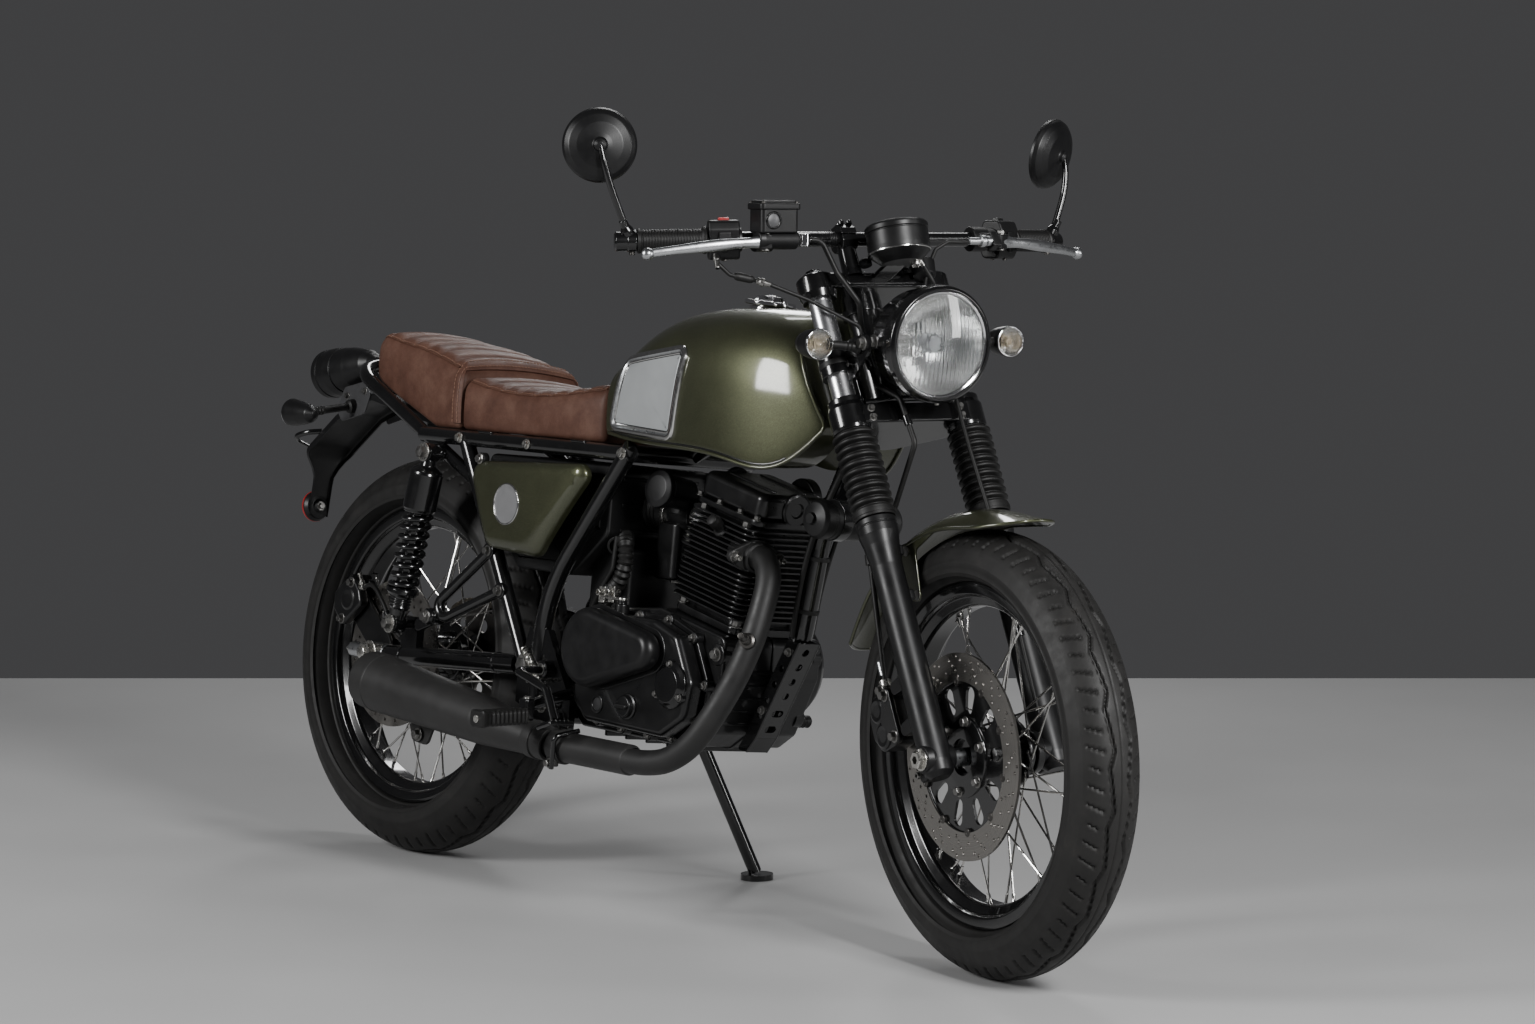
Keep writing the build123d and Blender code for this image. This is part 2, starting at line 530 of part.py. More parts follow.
# ------------------------------------------------------------------ bodywork
# x, half width, z bottom, z top, corner
TANK = [(-135, 108, 714, 832, 40), (-60, 121, 706, 892, 62), (60, 130, 703, 923, 72), (180, 131, 692, 925, 74), (280, 104, 690, 912, 66), (372, 72, 748, 862, 44)]
with BuildPart() as tank_solid:
    for x, w, zb, zt, c in TANK:
        with BuildSketch(Plane(origin=(x, 0, (zb + zt) / 2), x_dir=(0, 1, 0), z_dir=(1, 0, 0))):
            RectangleRounded(2 * w, zt - zb, c)
    loft(ruled=True)
tunnel = side_plate([(-160, 600), (420, 600), (420, 888), (350, 868), (60, 776), (-90, 726), (-160, 718)], -24, 24)
front_cut = block(Plane(origin=sp(300, FORK_OFFSET, 0), x_dir=FWD, z_dir=UP), (280, 400, 700))
fuel_tank = less(tank_solid.part, tunnel, front_cut)
hand_in(fuel_tank, "fuel_tank")
cap = lathe((101, 0, 921), (0.06, 0, 1), [(3, 0), (3, 37), (9, 39), (16, 37), (21, 28), (23, 0)])
hand_in(less(cap, fuel_tank), "fuel_cap")

SEAT = [(-138.5, 703), (-592, 703), (-794, 772), (-800, 815), (-765, 848), (-640, 832), (-505, 806), (-480, 776), (-300, 768), (-190, 782), (-138.5, 792)]
seat_front = side_plate([(-138.5, 703), (-500, 703), (-500, 798), (-480, 776), (-300, 768), (-190, 782), (-138.5, 792)], -118, 118)
seat_rear = side_plate([(-499, 703), (-592, 703), (-794, 774), (-800, 815), (-765, 848), (-640, 832), (-505, 806), (-499, 800)], -104, 104)
tail_plan = block(Plane(origin=(-480, 0, 690)), (640, 200, 180), 66)
with BuildPart() as seat_tail:
    add(seat_rear)
    add(tail_plan, mode=Mode.INTERSECT)
hoop_room = pipe([(-442, -RAIL_Y, 622), (-822, -112, 793), (-822, 112, 793), (-442, RAIL_Y, 622)], 70, 12)
hand_in(less(fused(seat_front, seat_tail.part), hoop_room), "seat")

COVER_SIDE = [(-115, 666), (-435, 652), (-369, 522), (-243, 516)]
side_covers = fused(*[side_plate(COVER_SIDE, s * 132.5 if s > 0 else -149, s * 149 if s > 0 else -132.5) for s in SIDES])
hand_in(side_covers, "side_covers")

FEND = [(-560, 694), (-690, 718), (-851, 746), (-950, 705), (-1036, 640), (-1050, 528)]
upper, lower = [], []
with BuildPart() as tail:
    with BuildSketch(Plane(origin=(0, -46, 0), x_dir=(1, 0, 0), z_dir=(0, -1, 0))):
        with BuildLine() as run:
            FilletPolyline(*FEND, radius=40)
            offset(amount=1.6, side=Side.BOTH)
        make_face()
    extrude(amount=-92)
    with BuildSketch(Plane(origin=(-1200, 0, 0), x_dir=(0, 1, 0), z_dir=(1, 0, 0))):
        with BuildLine():
            Polyline((-46, 800), (-46, 646), (-18, 592), (-18, 500), (18, 500), (18, 592), (46, 646), (46, 800), close=True)
        make_face()
    extrude(amount=700, mode=Mode.INTERSECT)
end_dir = Vector(FEND[4][0] - FEND[3][0], 0, FEND[4][1] - FEND[3][1]).normalized()
end_out = Vector(end_dir.Z, 0, -end_dir.X)
PLATE_C = Vector(FEND[3][0] + FEND[4][0], 0, FEND[3][1] + FEND[4][1]) * 0.5
plate_holes = [rod(PLATE_C - end_out * 10 + LEFT * y, PLATE_C + end_out * 10 + LEFT * y, 3.3) for y in (-25, 25)]
reflectors = [rod((-1047, 0, 545), (-1060, 0, 543.5), 26)]
rear_fender = less(fused(tail.part, *reflectors), *plate_holes)
hand_in(rear_fender, "rear_fender")

tail_lamp = fused(lathe((-906, 0, 798), (-139, 0, -27), [(0, 0), (0, 9), (20, 24), (60, 35), (110, 41), (140, 41), (149, 34), (153, 0)]),
                  rod((-848, 0, 749), (-925, 0, 794), 8))
hand_in(less(tail_lamp, rear_fender), "tail_lamp")

rear_sig = []
for s in SIDES:
    rear_sig.append(fused(lathe((-926, s * 150, 703), (1, 0, 0), [(0, 0), (-4, 0), (-3, 16), (0, 23), (6, 23), (30, 20), (52, 14), (66, 7), (68, 0)]),
                          rod((-898, s * 150, 703), (-898, s * 46.2, 722), 6)))
hand_in(fused(*rear_sig), "rear_turn_signals")

# ------------------------------------------------------------------ running gear
arms = []
for s in SIDES:
    arms += [rod((-300, s * ARM_Y, 343.5), (ARM_END, s * ARM_Y, R_AXLE.Z), ARM_R),
             side_plate([(-607, 324), (-565, 324), (-565, 393), (-607, 393)], s * 105 if s > 0 else -119, s * 119 if s > 0 else -105),
             rod((-586, s * 110, 380), (-586, s * 166, 380), 7.0)]
adjusters = [lathe((ARM_END, s * ARM_Y, R_AXLE.Z), (-1, 0, 0), [(0, 0), (0, 17), (46, 17), (100, 12.5), (112, 10), (118, 5), (118, 0)]) for s in SIDES]
guard = fused(side_plate([(-332, 412), (-640, 444), (-640, 447), (-332, 415)], 71, 97),
              side_plate([(-332, 340), (-640, 340), (-640, 447), (-332, 415)], 94, 97))
swing = fused(*arms, rod((-322, -ARM_Y, 342.4), (-322, ARM_Y, 342.4), ARM_R), rod((-258, -104, 345), (-258, 104, 345), 20),
              side_plate([(-322, 335), (-258, 335), (-258, 355), (-322, 355)], -68, 68), guard)
swing = less(swing, rod((-258, -130, 345), (-258, 130, 345), 8.05), *adjusters)
hand_in(swing, "swingarm")

shocks = []
for s in SIDES:
    top, bot = Vector(-530, s * SHOCK_Y, 660), Vector(-586, s * SHOCK_Y, 380)
    n = (bot - top).length
    body = lathe(top, bot - top, [(-13, 0), (-13, 10), (-8, 13), (16, 13), (24, 18), (30, 27), (38, 27), (96, 27), (96, 25), (226, 25), (226, 27), (236, 27), (240, 17),
                                  (n - 14, 15), (n + 8, 13), (n + 13, 10), (n + 13, 0)])
    shocks.append(less(body, rod(top - LEFT * 40, top + LEFT * 40, 7.05), rod(bot - LEFT * 40, bot + LEFT * 40, 7.05)))
hand_in(fused(*shocks), "rear_shocks")

# the axle carries a tapered chain adjuster at the end of each arm
axle_shaft = lathe(R_AXLE, (0, 1, 0), [(-146, 0), (-146, 10), (-138, 10), (-138, 16), (-125, 16), (-125, 8.5), (-92.6, 8.5), (-92.6, 13), (-75, 13), (-75, 8.5),
                                       (83, 8.5), (83, 13), (92.6, 13), (92.6, 8.5), (125, 8.5), (125, 16), (138, 16), (138, 10), (146, 10), (146, 0)])
rear_axle = fused(axle_shaft, *adjusters)
hand_in(rear_axle, "rear_axle")

cal_c = Vector(-783, 0, 402)
plate_r = side_hull([(R_AXLE.X, R_AXLE.Z, 24), (cal_c.X, cal_c.Z, 26)], -91, -84)
rc_box = block(Plane(origin=(cal_c.X, -84, cal_c.Z - 34), x_dir=(0.74, 0, 0.67), z_dir=(-0.67, 0, 0.74)), (72, 50, 66), 8)
rear_caliper = less(fused(plate_r, rc_box), rod(R_AXLE - LEFT * 110, R_AXLE + LEFT * 0, 13.3),
                    lathe(R_AXLE, (0, 1, 0), [(-83.5, 0), (-83.5, 127), (-50, 127), (-50, 0)]))
hand_in(rear_caliper, "rear_caliper")

SPROCKET_C = (-150.0, 345.0)
chain = less(side_hull([(R_AXLE.X, R_AXLE.Z, 97), (*SPROCKET_C, 43)], *CHAIN_Y),
             side_hull([(R_AXLE.X, R_AXLE.Z, 87), (*SPROCKET_C, 31)], CHAIN_Y[0] - 5, CHAIN_Y[1] + 5))
hand_in(chain, "drive_chain")

pegs = []
for s in SIDES:
    pegs.append(fused(rod((-152, s * 119, 312), (-150, s * 208, 291), 9), rod((-149, s * 200, 278), (-142, s * 306, 271), 14),
                      rod((-149, s * 204, 278), (-149, s * 208, 300), 10)))
hand_in(fused(*pegs), "footpegs")

loops = []
for s in SIDES:
    loops.append(fused(pipe([(-376, s * 128, 515), (-536, s * 170, 358), (-339, s * 128, 455)], 14, 8.5),
                       rod((-475, s * 140, 401), (-475, s * 170, 401), 13)))
hand_in(fused(*loops), "pillion_brackets")

pedal = fused(pipe([(-200, -124.3, 345), (-200, -190, 342), (-120, -192, 322), (-84, -200, 278)], 14, 6),
              block(Plane(origin=(-76, -204, 268), x_dir=(1, 0, 0.1), z_dir=(-0.1, 0, 1)), (38, 46, 9), 4))
shifter = fused(pipe([(-70, 103.2, 330), (-70, 134, 330), (-30, 166, 312), (12, 172, 294)], 12, 6), rod((12, 166, 294), (12, 226, 294), 10))
hand_in(fused(pedal, shifter), "foot_levers")

# channel over the foot of the down tube and the front of the case
skid_line = [(257, 432), (205, 336), (177, 283), (158, 260)]
skid_front = skid_line + [(x - 2.6, z + 1.4) for x, z in reversed(skid_line)]
skid_side = skid_line + [(138, 262), (152, 283), (181, 338), (233, 436)]
skid = fused(side_plate(skid_front, -21, 21), side_plate(skid_side, 18.4, 21), side_plate(skid_side, -21, -18.4))
hand_in(less(skid, down_tube), "engine_guard")

canister = rod((338, -92, 620), (338, 78, 620), 29)
with BuildPart() as can:
    add(canister)
    fillet(can.edges(), 6)
hand_in(can.part, "vapour_canister")

# ------------------------------------------------------------------ side stand
FOOT = Vector(-120, 262, 262 * tan(radians(LEAN)))
ground = Vector(0, -sin(radians(LEAN)), cos(radians(LEAN)))
foot_z = place_point(FOOT).Z
FOOT = FOOT - ground * foot_z
leg_end = FOOT + ground * 12 - Vector(0, 4, 0)
stand = fused(rod(PIVOT, leg_end, 10.5), rod(FOOT, FOOT + ground * 9, 26), rod(PIVOT - HINGE * 12, PIVOT + HINGE * 14, 15))
hand_in(less(stand, rod(FOOT - ground * 40, FOOT, 60), rod(PIVOT - HINGE * 40, PIVOT + HINGE * 40, 6.05)), "side_stand")

# ------------------------------------------------------------------ datums in the parked pose, metres
for tag, p, q, st in (("steering", sp(640, -FORK_OFFSET), sp(641, -FORK_OFFSET), False),
                      ("front_wheel", F_AXLE, F_AXLE + LEFT, True), ("rear_wheel", R_AXLE, R_AXLE + LEFT, False),
                      ("side_stand", PIVOT, PIVOT + HINGE, False), ("plate", PLATE_C, PLATE_C + end_out, False),
                      ("plate_row", PLATE_C, PLATE_C + LEFT, False), ("foot", FOOT, FOOT + ground, False)):
    a, b = place_point(p, st), place_point(q, st)
    d = (b - a).normalized()
    print("DATUM", tag, [round(v / 1000, 6) for v in (a.X, a.Y, a.Z)], [round(v, 6) for v in (d.X, d.Y, d.Z)])
print("PITCH", PITCH, "LIFT", LIFT)
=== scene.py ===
import bpy, math
import numpy as np
from math import sin, cos, tan, pi, radians, sqrt, atan2, hypot
from mathutils import Matrix, Vector
from mathutils.bvhtree import BVHTree
from mathutils.geometry import delaunay_2d_cdt


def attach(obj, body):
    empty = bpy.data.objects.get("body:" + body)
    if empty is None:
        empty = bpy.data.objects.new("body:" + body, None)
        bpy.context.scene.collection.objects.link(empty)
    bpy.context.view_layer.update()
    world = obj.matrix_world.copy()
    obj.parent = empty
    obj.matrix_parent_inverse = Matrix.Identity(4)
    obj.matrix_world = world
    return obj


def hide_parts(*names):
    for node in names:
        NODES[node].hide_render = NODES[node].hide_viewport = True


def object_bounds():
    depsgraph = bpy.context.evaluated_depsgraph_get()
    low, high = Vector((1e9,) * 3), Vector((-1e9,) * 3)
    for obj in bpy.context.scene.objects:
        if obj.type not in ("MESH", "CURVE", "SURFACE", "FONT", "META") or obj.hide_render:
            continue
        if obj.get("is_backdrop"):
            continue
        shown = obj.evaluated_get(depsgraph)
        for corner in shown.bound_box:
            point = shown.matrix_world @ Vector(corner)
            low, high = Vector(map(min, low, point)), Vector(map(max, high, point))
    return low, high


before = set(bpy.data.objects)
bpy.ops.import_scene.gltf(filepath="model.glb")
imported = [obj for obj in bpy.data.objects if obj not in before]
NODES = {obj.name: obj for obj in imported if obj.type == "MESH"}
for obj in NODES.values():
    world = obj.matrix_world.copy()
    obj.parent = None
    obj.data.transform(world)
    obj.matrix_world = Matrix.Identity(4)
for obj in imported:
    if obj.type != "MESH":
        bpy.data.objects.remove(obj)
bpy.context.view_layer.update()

# ---------------------------------------------------------------- the shared frame
# Pieces are drawn upright and straight ahead in millimetres (X forward, Y left,
# Z up) and are then leaned and steered the same way as the CAD pieces.
RAKE, OFFSET, LEG_Y = 27.6, 45.0, 97.0
LEAN, STEER = 6.42, -11.8
PITCH, LIFT = -0.03958189563659077, 0.8926363685007231
SHIFT = (33.36, -124.34, LIFT)
F = np.array([681.5, 0.0, 316.5])
R = np.array([-681.5, 0.0, 325.0])
UP = np.array([-sin(radians(RAKE)), 0, cos(radians(RAKE))])
FW = np.array([cos(radians(RAKE)), 0, sin(radians(RAKE))])
LT = np.array([0.0, 1.0, 0.0])
EX, EZ = np.array([1.0, 0, 0]), np.array([0, 0, 1.0])


def sp(a, b=0.0, y=0.0):
    """Point of the fork: a up the legs from the axle, b ahead of them, y left."""
    return F + UP * a + FW * b + LT * y


def A(*p):
    return np.array(p, float)


M_C = (Matrix.Translation(Vector(SHIFT) / 1000) @ Matrix.Rotation(radians(PITCH), 4, "Y")
       @ Matrix.Rotation(radians(-LEAN), 4, "X"))
_o = Vector(sp(0, -OFFSET)) / 1000
M_S = M_C @ Matrix.Translation(_o) @ Matrix.Rotation(radians(STEER), 4, Vector(UP)) @ Matrix.Translation(-_o)
BODY_M = {"chassis": M_C, "steering": M_S, "front_wheel": M_S, "rear_wheel": M_C, "side_stand": M_C}

# ---------------------------------------------------------------- materials


def nodes_of(name):
    m = bpy.data.materials.new(name)
    m.use_nodes = True
    nt = m.node_tree
    b = nt.nodes["Principled BSDF"]
    return m, nt, b


def link(nt, a, b):
    nt.links.new(a, b)


def tex_noise(nt, co, scale, detail=3.0, rough=0.55):
    n = nt.nodes.new("ShaderNodeTexNoise")
    n.inputs["Scale"].default_value = scale
    n.inputs["Detail"].default_value = detail
    n.inputs["Roughness"].default_value = rough
    link(nt, co, n.inputs["Vector"])
    return n.outputs["Fac"]


def ramp(nt, fac, stops):
    r = nt.nodes.new("ShaderNodeValToRGB")
    e = r.color_ramp.elements
    while len(e) < len(stops):
        e.new(0.5)
    for k, (p, c) in enumerate(stops):
        e[k].position = p
        e[k].color = (*c, 1.0)
    link(nt, fac, r.inputs["Fac"])
    return r.outputs["Color"]


def map_range(nt, fac, a, b, lo, hi):
    r = nt.nodes.new("ShaderNodeMapRange")
    for k, v in zip(("From Min", "From Max", "To Min", "To Max"), (a, b, lo, hi)):
        r.inputs[k].default_value = v
    link(nt, fac, r.inputs["Value"])
    return r.outputs["Result"]


def bump(nt, height, strength, dist, normal=None):
    b = nt.nodes.new("ShaderNodeBump")
    b.inputs["Strength"].default_value = strength
    b.inputs["Distance"].default_value = dist
    link(nt, height, b.inputs["Height"])
    if normal is not None:
        link(nt, normal, b.inputs["Normal"])
    return b.outputs["Normal"]


def coord(nt, scale=None):
    t = nt.nodes.new("ShaderNodeTexCoord").outputs["Object"]
    if scale is None:
        return t
    m = nt.nodes.new("ShaderNodeMapping")
    m.inputs["Scale"].default_value = scale
    link(nt, t, m.inputs["Vector"])
    return m.outputs["Vector"]


def surface(name, base, rough, metal=0.0, coat=0.0, coat_rough=0.04, spec=0.5, vary=0.18, vscale=9.0,
            rvary=0.06, grain=0.0, gscale=900.0, gdist=0.0004, stretch=None, tint=None, sheen=0.0):
    """A finish with drifting tone, uneven gloss and a fine surface grain."""
    m, nt, b = nodes_of(name)
    co = coord(nt)
    lo = tuple(max(0.0, c * (1 - vary)) for c in base)
    hi = tuple(min(1.0, c * (1 + vary)) for c in base)
    stops = [(0.28, lo), (0.72, hi)] if tint is None else [(0.25, lo), (0.6, hi), (0.8, tint)]
    link(nt, ramp(nt, tex_noise(nt, co, vscale, 4), stops), b.inputs["Base Color"])
    rn = tex_noise(nt, coord(nt, stretch) if stretch else co, vscale * 4 if not stretch else 60.0, 4)
    link(nt, map_range(nt, rn, 0.25, 0.75, max(0.02, rough - rvary), rough + rvary), b.inputs["Roughness"])
    b.inputs["Metallic"].default_value = metal
    b.inputs["Specular IOR Level"].default_value = spec
    if coat:
        b.inputs["Coat Weight"].default_value = coat
        b.inputs["Coat Roughness"].default_value = coat_rough
    if sheen:
        b.inputs["Sheen Weight"].default_value = sheen
    if grain:
        h = tex_noise(nt, coord(nt, stretch) if stretch else co, gscale, 3)
        link(nt, bump(nt, h, grain, gdist), b.inputs["Normal"])
    return m


def paint_green():
    m, nt, b = nodes_of("olive_metallic")
    co = coord(nt)
    fl = nt.nodes.new("ShaderNodeTexVoronoi")
    fl.inputs["Scale"].default_value = 2600.0
    link(nt, co, fl.inputs["Vector"])
    drift = ramp(nt, tex_noise(nt, co, 5.0, 3), [(0.3, (0.036, 0.039, 0.0185)), (0.7, (0.047, 0.051, 0.0245))])
    sep = nt.nodes.new("ShaderNodeSeparateColor")
    link(nt, fl.outputs["Color"], sep.inputs["Color"])
    spark = ramp(nt, sep.outputs["Red"], [(0.55, (0.0, 0.0, 0.0)), (1.0, (0.085, 0.088, 0.055))])
    mix = nt.nodes.new("ShaderNodeMix")
    mix.data_type, mix.blend_type = "RGBA", "ADD"
    mix.inputs[0].default_value = 0.75
    link(nt, drift, mix.inputs[6])
    link(nt, spark, mix.inputs[7])
    link(nt, mix.outputs[2], b.inputs["Base Color"])
    b.inputs["Metallic"].default_value = 0.72
    link(nt, map_range(nt, tex_noise(nt, co, 30.0, 3), 0.3, 0.7, 0.36, 0.42), b.inputs["Roughness"])
    b.inputs["Coat Weight"].default_value = 1.0
    b.inputs["Coat Roughness"].default_value = 0.085
    link(nt, bump(nt, sep.outputs["Green"], 0.12, 0.0003), b.inputs["Normal"])
    return m


def leather(name, dark, mid, light):
    m, nt, b = nodes_of(name)
    co = coord(nt)
    tone = ramp(nt, tex_noise(nt, co, 22.0, 6, 0.65), [(0.28, dark), (0.5, mid), (0.74, light)])
    fine = tex_noise(nt, co, 700.0, 2)
    mix = nt.nodes.new("ShaderNodeMix")
    mix.data_type, mix.blend_type = "RGBA", "MULTIPLY"
    mix.inputs[0].default_value = 0.5
    link(nt, tone, mix.inputs[6])
    link(nt, ramp(nt, fine, [(0.3, (0.55, 0.55, 0.55)), (0.7, (1.15, 1.1, 1.08))]), mix.inputs[7])
    link(nt, mix.outputs[2], b.inputs["Base Color"])
    link(nt, map_range(nt, tex_noise(nt, co, 60.0, 4), 0.3, 0.7, 0.44, 0.58), b.inputs["Roughness"])
    b.inputs["Specular IOR Level"].default_value = 0.20
    v = nt.nodes.new("ShaderNodeTexVoronoi")
    v.feature = "DISTANCE_TO_EDGE"
    v.inputs["Scale"].default_value = 620.0
    link(nt, co, v.inputs["Vector"])
    pores = map_range(nt, v.outputs["Distance"], 0.0, 0.25, 0.0, 1.0)
    n1 = bump(nt, tex_noise(nt, co, 130.0, 4), 0.20, 0.0010)
    link(nt, bump(nt, pores, 0.10, 0.0004, n1), b.inputs["Normal"])
    return m


def tyre_rubber():
    m, nt, b = nodes_of("tyre_rubber")
    co = coord(nt)
    link(nt, ramp(nt, tex_noise(nt, co, 26.0, 6, 0.7), [(0.3, (0.0085, 0.0082, 0.0079)), (0.6, (0.014, 0.0134, 0.0128)), (0.85, (0.026, 0.0235, 0.021))]),
         b.inputs["Base Color"])
    link(nt, map_range(nt, tex_noise(nt, co, 45.0, 5), 0.3, 0.7, 0.48, 0.66), b.inputs["Roughness"])
    b.inputs["Specular IOR Level"].default_value = 0.34
    n1 = bump(nt, tex_noise(nt, co, 240.0, 4), 0.12, 0.0006)
    link(nt, bump(nt, tex_noise(nt, co, 1600.0, 2), 0.18, 0.0002, n1), b.inputs["Normal"])
    return m


def turned(name, base, rough, metal=1.0):
    """Metal with fine rings about the local Y axis, as turned or worn by pads."""
    m, nt, b = nodes_of(name)
    co = coord(nt, (1.0, 0.0, 1.0))
    ln = nt.nodes.new("ShaderNodeVectorMath")
    ln.operation = "LENGTH"
    link(nt, co, ln.inputs[0])
    n = nt.nodes.new("ShaderNodeTexNoise")
    n.noise_dimensions = "1D"
    n.inputs["Scale"].default_value = 1100.0
    n.inputs["Detail"].default_value = 3.0
    link(nt, ln.outputs["Value"], n.inputs["W"])
    link(nt, ramp(nt, n.outputs["Fac"], [(0.3, tuple(c * 0.72 for c in base)), (0.7, tuple(min(1, c * 1.15) for c in base))]), b.inputs["Base Color"])
    link(nt, map_range(nt, tex_noise(nt, coord(nt), 30.0, 4), 0.3, 0.7, rough - 0.07, rough + 0.09), b.inputs["Roughness"])
    b.inputs["Metallic"].default_value = metal
    link(nt, bump(nt, n.outputs["Fac"], 0.25, 0.0002), b.inputs["Normal"])
    return m


def header_black():
    """Heat-proof black, with a faint bronze bloom close to the port."""
    m, nt, b = nodes_of("header_black")
    co = coord(nt)
    sep = nt.nodes.new("ShaderNodeSeparateXYZ")
    link(nt, co, sep.inputs["Vector"])
    hot = map_range(nt, sep.outputs["Z"], 0.44, 0.56, 0.0, 1.0)
    base = ramp(nt, tex_noise(nt, co, 24.0, 5), [(0.3, (0.007, 0.007, 0.007)), (0.7, (0.012, 0.0117, 0.0114))])
    mix = nt.nodes.new("ShaderNodeMix")
    mix.data_type = "RGBA"
    link(nt, hot, mix.inputs[0])
    link(nt, base, mix.inputs[6])
    mix.inputs[7].default_value = (0.040, 0.027, 0.018, 1)
    link(nt, mix.outputs[2], b.inputs["Base Color"])
    link(nt, map_range(nt, tex_noise(nt, co, 50.0, 4), 0.3, 0.7, 0.46, 0.60), b.inputs["Roughness"])
    link(nt, bump(nt, tex_noise(nt, co, 900.0, 3), 0.14, 0.0003), b.inputs["Normal"])
    return m


def glass(name, color, rough=0.02, ior=1.46):
    m, nt, b = nodes_of(name)
    co = coord(nt)
    link(nt, ramp(nt, tex_noise(nt, co, 40.0, 3), [(0.3, tuple(c * 0.94 for c in color)), (0.7, color)]), b.inputs["Base Color"])
    link(nt, map_range(nt, tex_noise(nt, co, 60.0, 4), 0.3, 0.7, rough * 0.6, rough * 1.5), b.inputs["Roughness"])
    b.inputs["Transmission Weight"].default_value = 1.0
    b.inputs["IOR"].default_value = ior
    return m


PAINT = paint_green()
LEATHER = leather("seat_leather", (0.066, 0.030, 0.021), (0.098, 0.047, 0.033), (0.138, 0.075, 0.054))
PIPING = leather("seat_piping", (0.060, 0.026, 0.016), (0.086, 0.039, 0.025), (0.114, 0.055, 0.036))
THREAD = surface("seat_thread", (0.20, 0.105, 0.070), 0.75, vary=0.25, vscale=200, grain=0.6, gscale=2500)
TYRE = tyre_rubber()
GLOSS = surface("gloss_black", (0.0036, 0.0036, 0.0038), 0.22, coat=0.7, coat_rough=0.05, spec=0.4, vary=0.2, grain=0.05, gscale=500, gdist=0.0003, rvary=0.05)
SATIN = surface("satin_black", (0.0052, 0.0052, 0.0055), 0.38, spec=0.36, vary=0.22, grain=0.10, gscale=1100, gdist=0.0003, rvary=0.07)
CAST = surface("cast_black", (0.0042, 0.0042, 0.0044), 0.33, coat=0.4, coat_rough=0.12, spec=0.34, vary=0.25, grain=0.22, gscale=850, gdist=0.0004, rvary=0.08)
PLASTIC = surface("moulded_black", (0.0056, 0.0056, 0.0058), 0.42, spec=0.34, vary=0.18, grain=0.16, gscale=1500, gdist=0.0002)
RUBBER = surface("soft_rubber", (0.0062, 0.0060, 0.0058), 0.50, spec=0.34, vary=0.25, vscale=30, grain=0.16, gscale=1200, gdist=0.0003)
MUFFLER = surface("muffler_black", (0.0180, 0.0177, 0.0174), 0.46, spec=0.4, vary=0.2, vscale=12, grain=0.20, gscale=1500, gdist=0.0003, rvary=0.05)
HEADER = header_black()
CHROME = surface("chrome", (0.78, 0.78, 0.79), 0.07, metal=1.0, vary=0.04, rvary=0.03, grain=0.02, gscale=200, gdist=0.0002)
STANCHION = surface("hard_chrome", (0.70, 0.70, 0.715), 0.27, metal=1.0, vary=0.05, rvary=0.04, stretch=(1, 1, 0.05), grain=0.04, gscale=300, gdist=0.0001)
ALLOY = surface("polished_alloy", (0.66, 0.655, 0.64), 0.17, metal=1.0, vary=0.08, vscale=40, rvary=0.07, grain=0.08, gscale=700, gdist=0.0002)
SATIN_ALLOY = surface("satin_alloy", (0.52, 0.53, 0.54), 0.30, metal=1.0, vary=0.08, vscale=30, rvary=0.06, grain=0.10, gscale=1200, gdist=0.0002)
ZINC = surface("zinc_plate", (0.56, 0.55, 0.52), 0.27, metal=1.0, vary=0.16, vscale=60, rvary=0.10, grain=0.14, gscale=1500, gdist=0.0002, tint=(0.62, 0.58, 0.46))
SPOKE = surface("spoke_steel", (0.62, 0.61, 0.59), 0.20, metal=1.0, vary=0.12, vscale=30, rvary=0.08, grain=0.05, gscale=900, gdist=0.0002, tint=(0.50, 0.46, 0.40))
DISC = turned("disc_steel", (0.33, 0.315, 0.295), 0.30)
DARK_STEEL = surface("dark_steel", (0.10, 0.095, 0.09), 0.38, metal=1.0, vary=0.3, vscale=60, rvary=0.1, grain=0.2, gscale=1300, gdist=0.0002)
CHAIN = surface("chain_steel", (0.19, 0.17, 0.14), 0.34, metal=1.0, vary=0.35, vscale=80, rvary=0.1, grain=0.15, gscale=1600, gdist=0.0002)
FROST = surface("frosted_plate", (0.40, 0.415, 0.42), 0.40, metal=0.3, vary=0.05, vscale=14, rvary=0.05, grain=0.12, gscale=2200, gdist=0.0002)
BADGE = surface("blank_badge", (0.27, 0.27, 0.275), 0.36, metal=0.5, vary=0.06, vscale=30, rvary=0.05, grain=0.10, gscale=1800, gdist=0.0002)
DIAL = surface("dial_face", (0.010, 0.010, 0.011), 0.55, vary=0.1, vscale=80, grain=0.1, gscale=2000, gdist=0.0001)
WHITE = surface("dial_white", (0.62, 0.62, 0.60), 0.5, vary=0.04, vscale=80, grain=0.05, gscale=2000, gdist=0.0001)
RED = surface("red_plastic", (0.30, 0.012, 0.012), 0.32, vary=0.15, vscale=80, grain=0.1, gscale=2000, gdist=0.0001)
AMBER = surface("amber_bulb", (0.50, 0.41, 0.29), 0.25, vary=0.1, vscale=80, grain=0.05, gscale=2000, gdist=0.0001)
REFLECTOR = surface("reflector", (0.90, 0.90, 0.89), 0.24, metal=1.0, vary=0.03, vscale=30, rvary=0.04, grain=0.03, gscale=200, gdist=0.0003)
LENS = glass("clear_lens", (0.97, 0.98, 0.985), 0.03)
RED_LENS = glass("red_lens", (0.50, 0.015, 0.012), 0.06)
BOLT = surface("bolt_steel", (0.27, 0.265, 0.255), 0.32, metal=1.0, vary=0.2, vscale=60, rvary=0.08, grain=0.14, gscale=1500, gdist=0.0002)
